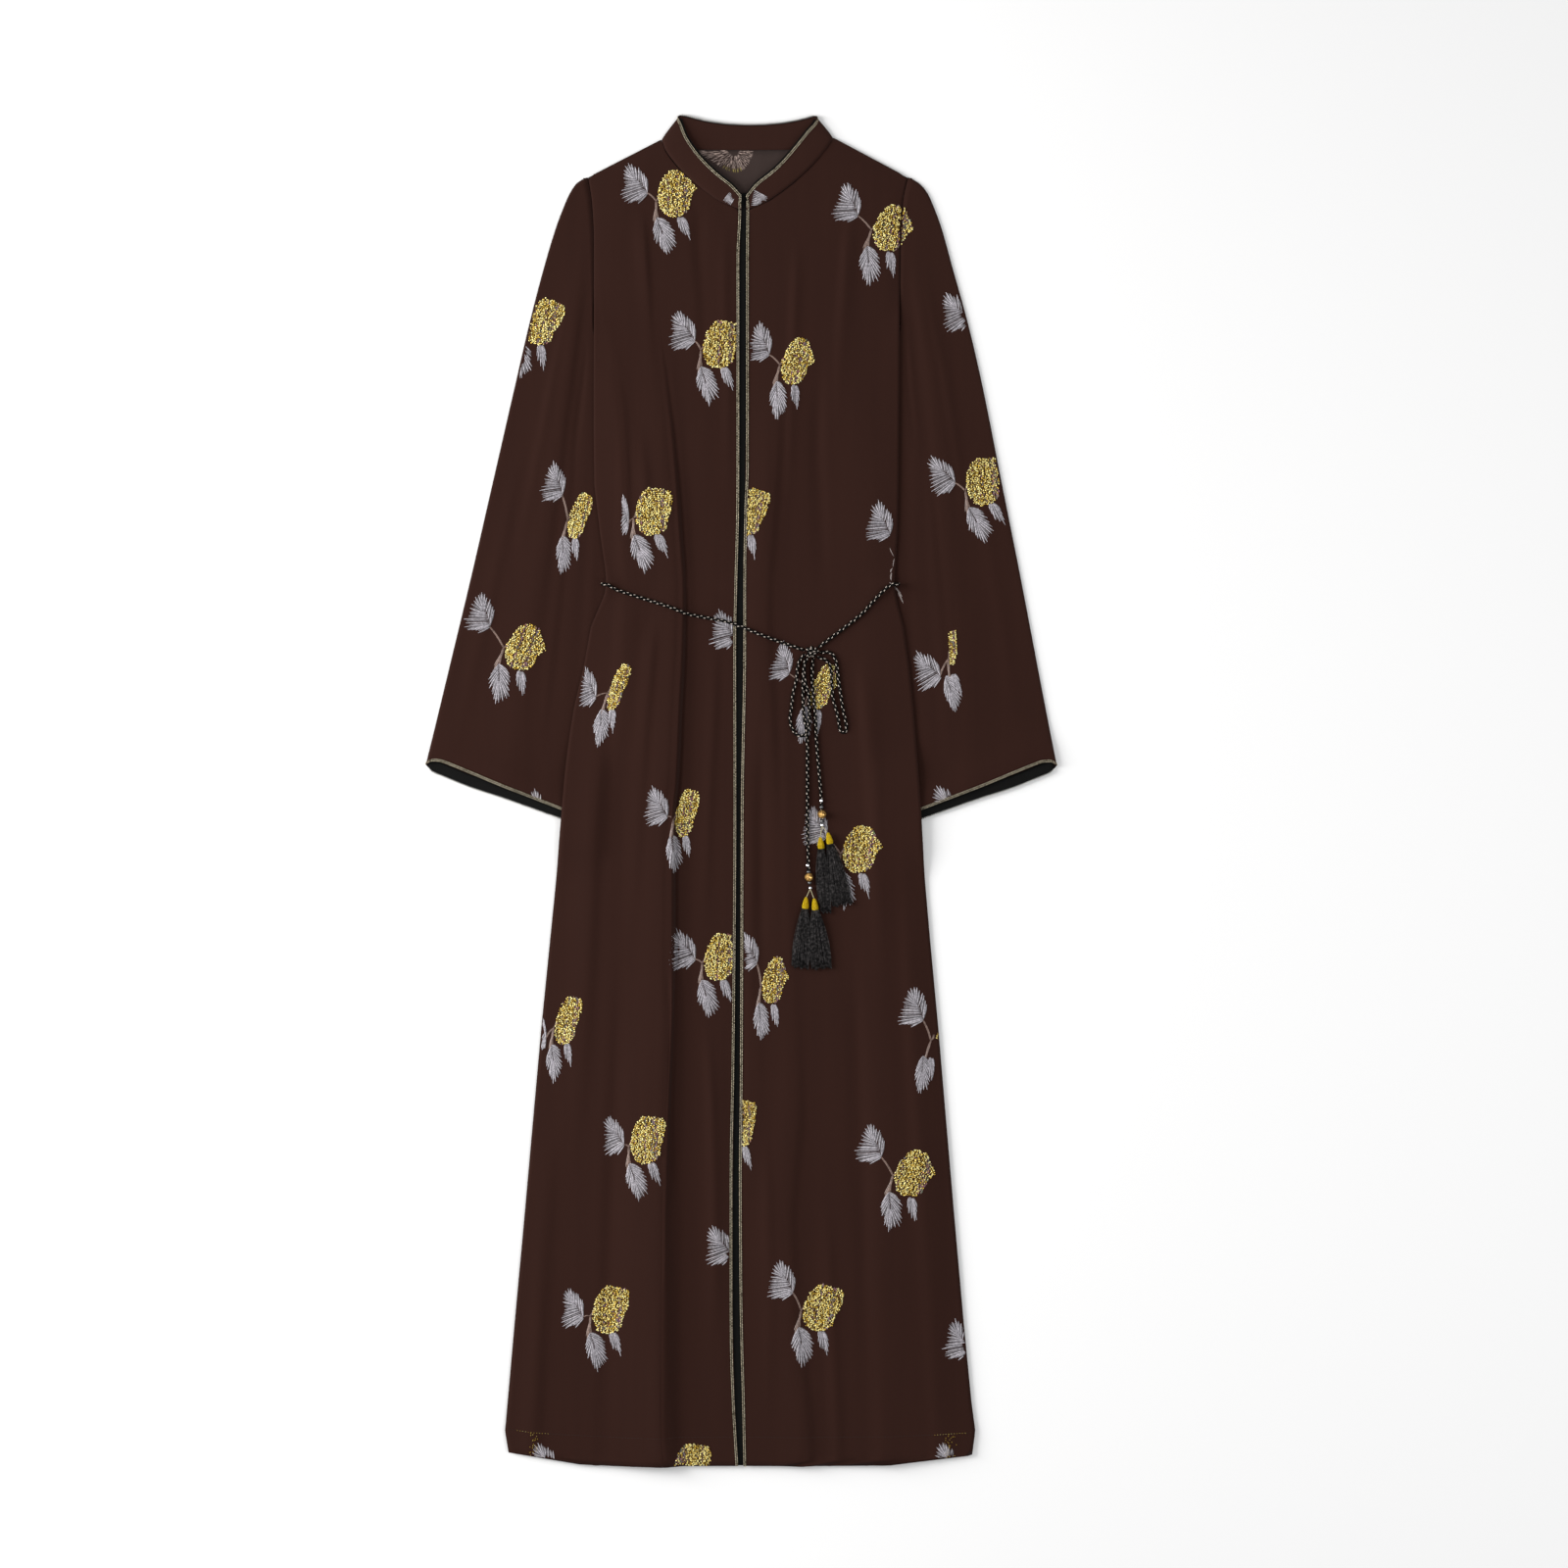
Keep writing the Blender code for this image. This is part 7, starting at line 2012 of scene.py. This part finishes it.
# The picot: the braid's own black edge, with a row of tiny pale thread loops, which shows where the
# braid's reverse faces up: inside the collar's edge and along the longer back edge of each cuff.
PICOT_STEP = 0.0021
PICOT_TINT = (0.74, 0.72, 0.69)
PICOT_HALF_LOOP = 0.00045
PICOT_THREAD = 0.0004
STRIP_HEIGHT = 0.0003
CUFF_PICOT_LIFT = 0.0013
INNER_EDGE_IN = 0.0016
INNER_EDGE_UP = 0.0012
PICOT_LOOP = ((-0.0007, 0.0004), (0.0002, 0.0008), (0.0010, 0.0003))  # outward and up


def picot(name, path, loops=True, strip_in=0.0016, strip_out=0.0004):
    """A black strip along a path of (point, outward direction, up), with loops over its edge."""
    points = []
    for point, outward, up in path:
        inner, outer, high = point - outward * strip_in, point + outward * strip_out, up * STRIP_HEIGHT
        points += [inner, inner + high, outer + high, outer]
    faces = rod_faces(0, len(path), 4)
    strip_faces = len(faces)
    for point, outward, up in path if loops else ():
        ahead = outward.cross(up).normalized() * PICOT_HALF_LOOP
        faces += rod_faces(len(points), len(PICOT_LOOP), 3)
        for reach, height in PICOT_LOOP:
            middle = point + outward * reach + up * height
            points += [middle - ahead, middle + ahead, middle - up * PICOT_THREAD]
    strip = drawn_mesh(name, points, faces, "tint", [PICOT_TINT] * len(points), binding_look, stitch_look)
    for number, face in enumerate(strip.data.polygons):
        face.material_index = 0 if number < strip_faces else 1
    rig.slot(strip, "beaded_braid")
    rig.ride(strip, "root")


back_top = [
    (top - outward * (COLLAR_WALL + 0.0002), (top - seam).normalized(), -outward)
    for seam, top, outward in collar_rows if outward.z < -0.9
]
picot("collar_picot", spread_path(back_top, PICOT_STEP))
for number, rows in enumerate((collar_rows[2:36], collar_rows[-36:-2]), 1):
    inner_edge = [
        (top - outward * INNER_EDGE_IN + rising * INNER_EDGE_UP, rising, outward)
        for seam, top, outward in rows if outward.z > 0.3 for rising in [(top - seam).normalized()]
    ]
    picot(f"collar_inner_edge_{number}", spread_path(inner_edge, PICOT_STEP), loops=False, strip_out=0.0008)
for name, facts in SLEEVES.items():
    line = []
    for share in spaced(CUFF_FOLD, 1.0 - CUFF_FOLD, CUFF_STEPS):
        point = place(*sleeve_plan(facts, share, 1.0, "back"))
        out = (point - place(*sleeve_plan(facts, share, ROW_ABOVE_CUFF, "back"))).normalized()
        point.z = sleeve_lift(1.0) + SHELL + CUFF_PICOT_LIFT
        line.append((point, out, UP))
    picot("cuff_picot" + name[6:], spread_path(line, PICOT_STEP), strip_in=0.0006)


visual_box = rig.bounds()
with open("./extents.json", "w") as sizes:
    json.dump({"cad": [list(map(float, p)) for p in cad_box], "visual": [list(map(float, p)) for p in visual_box]}, sizes)
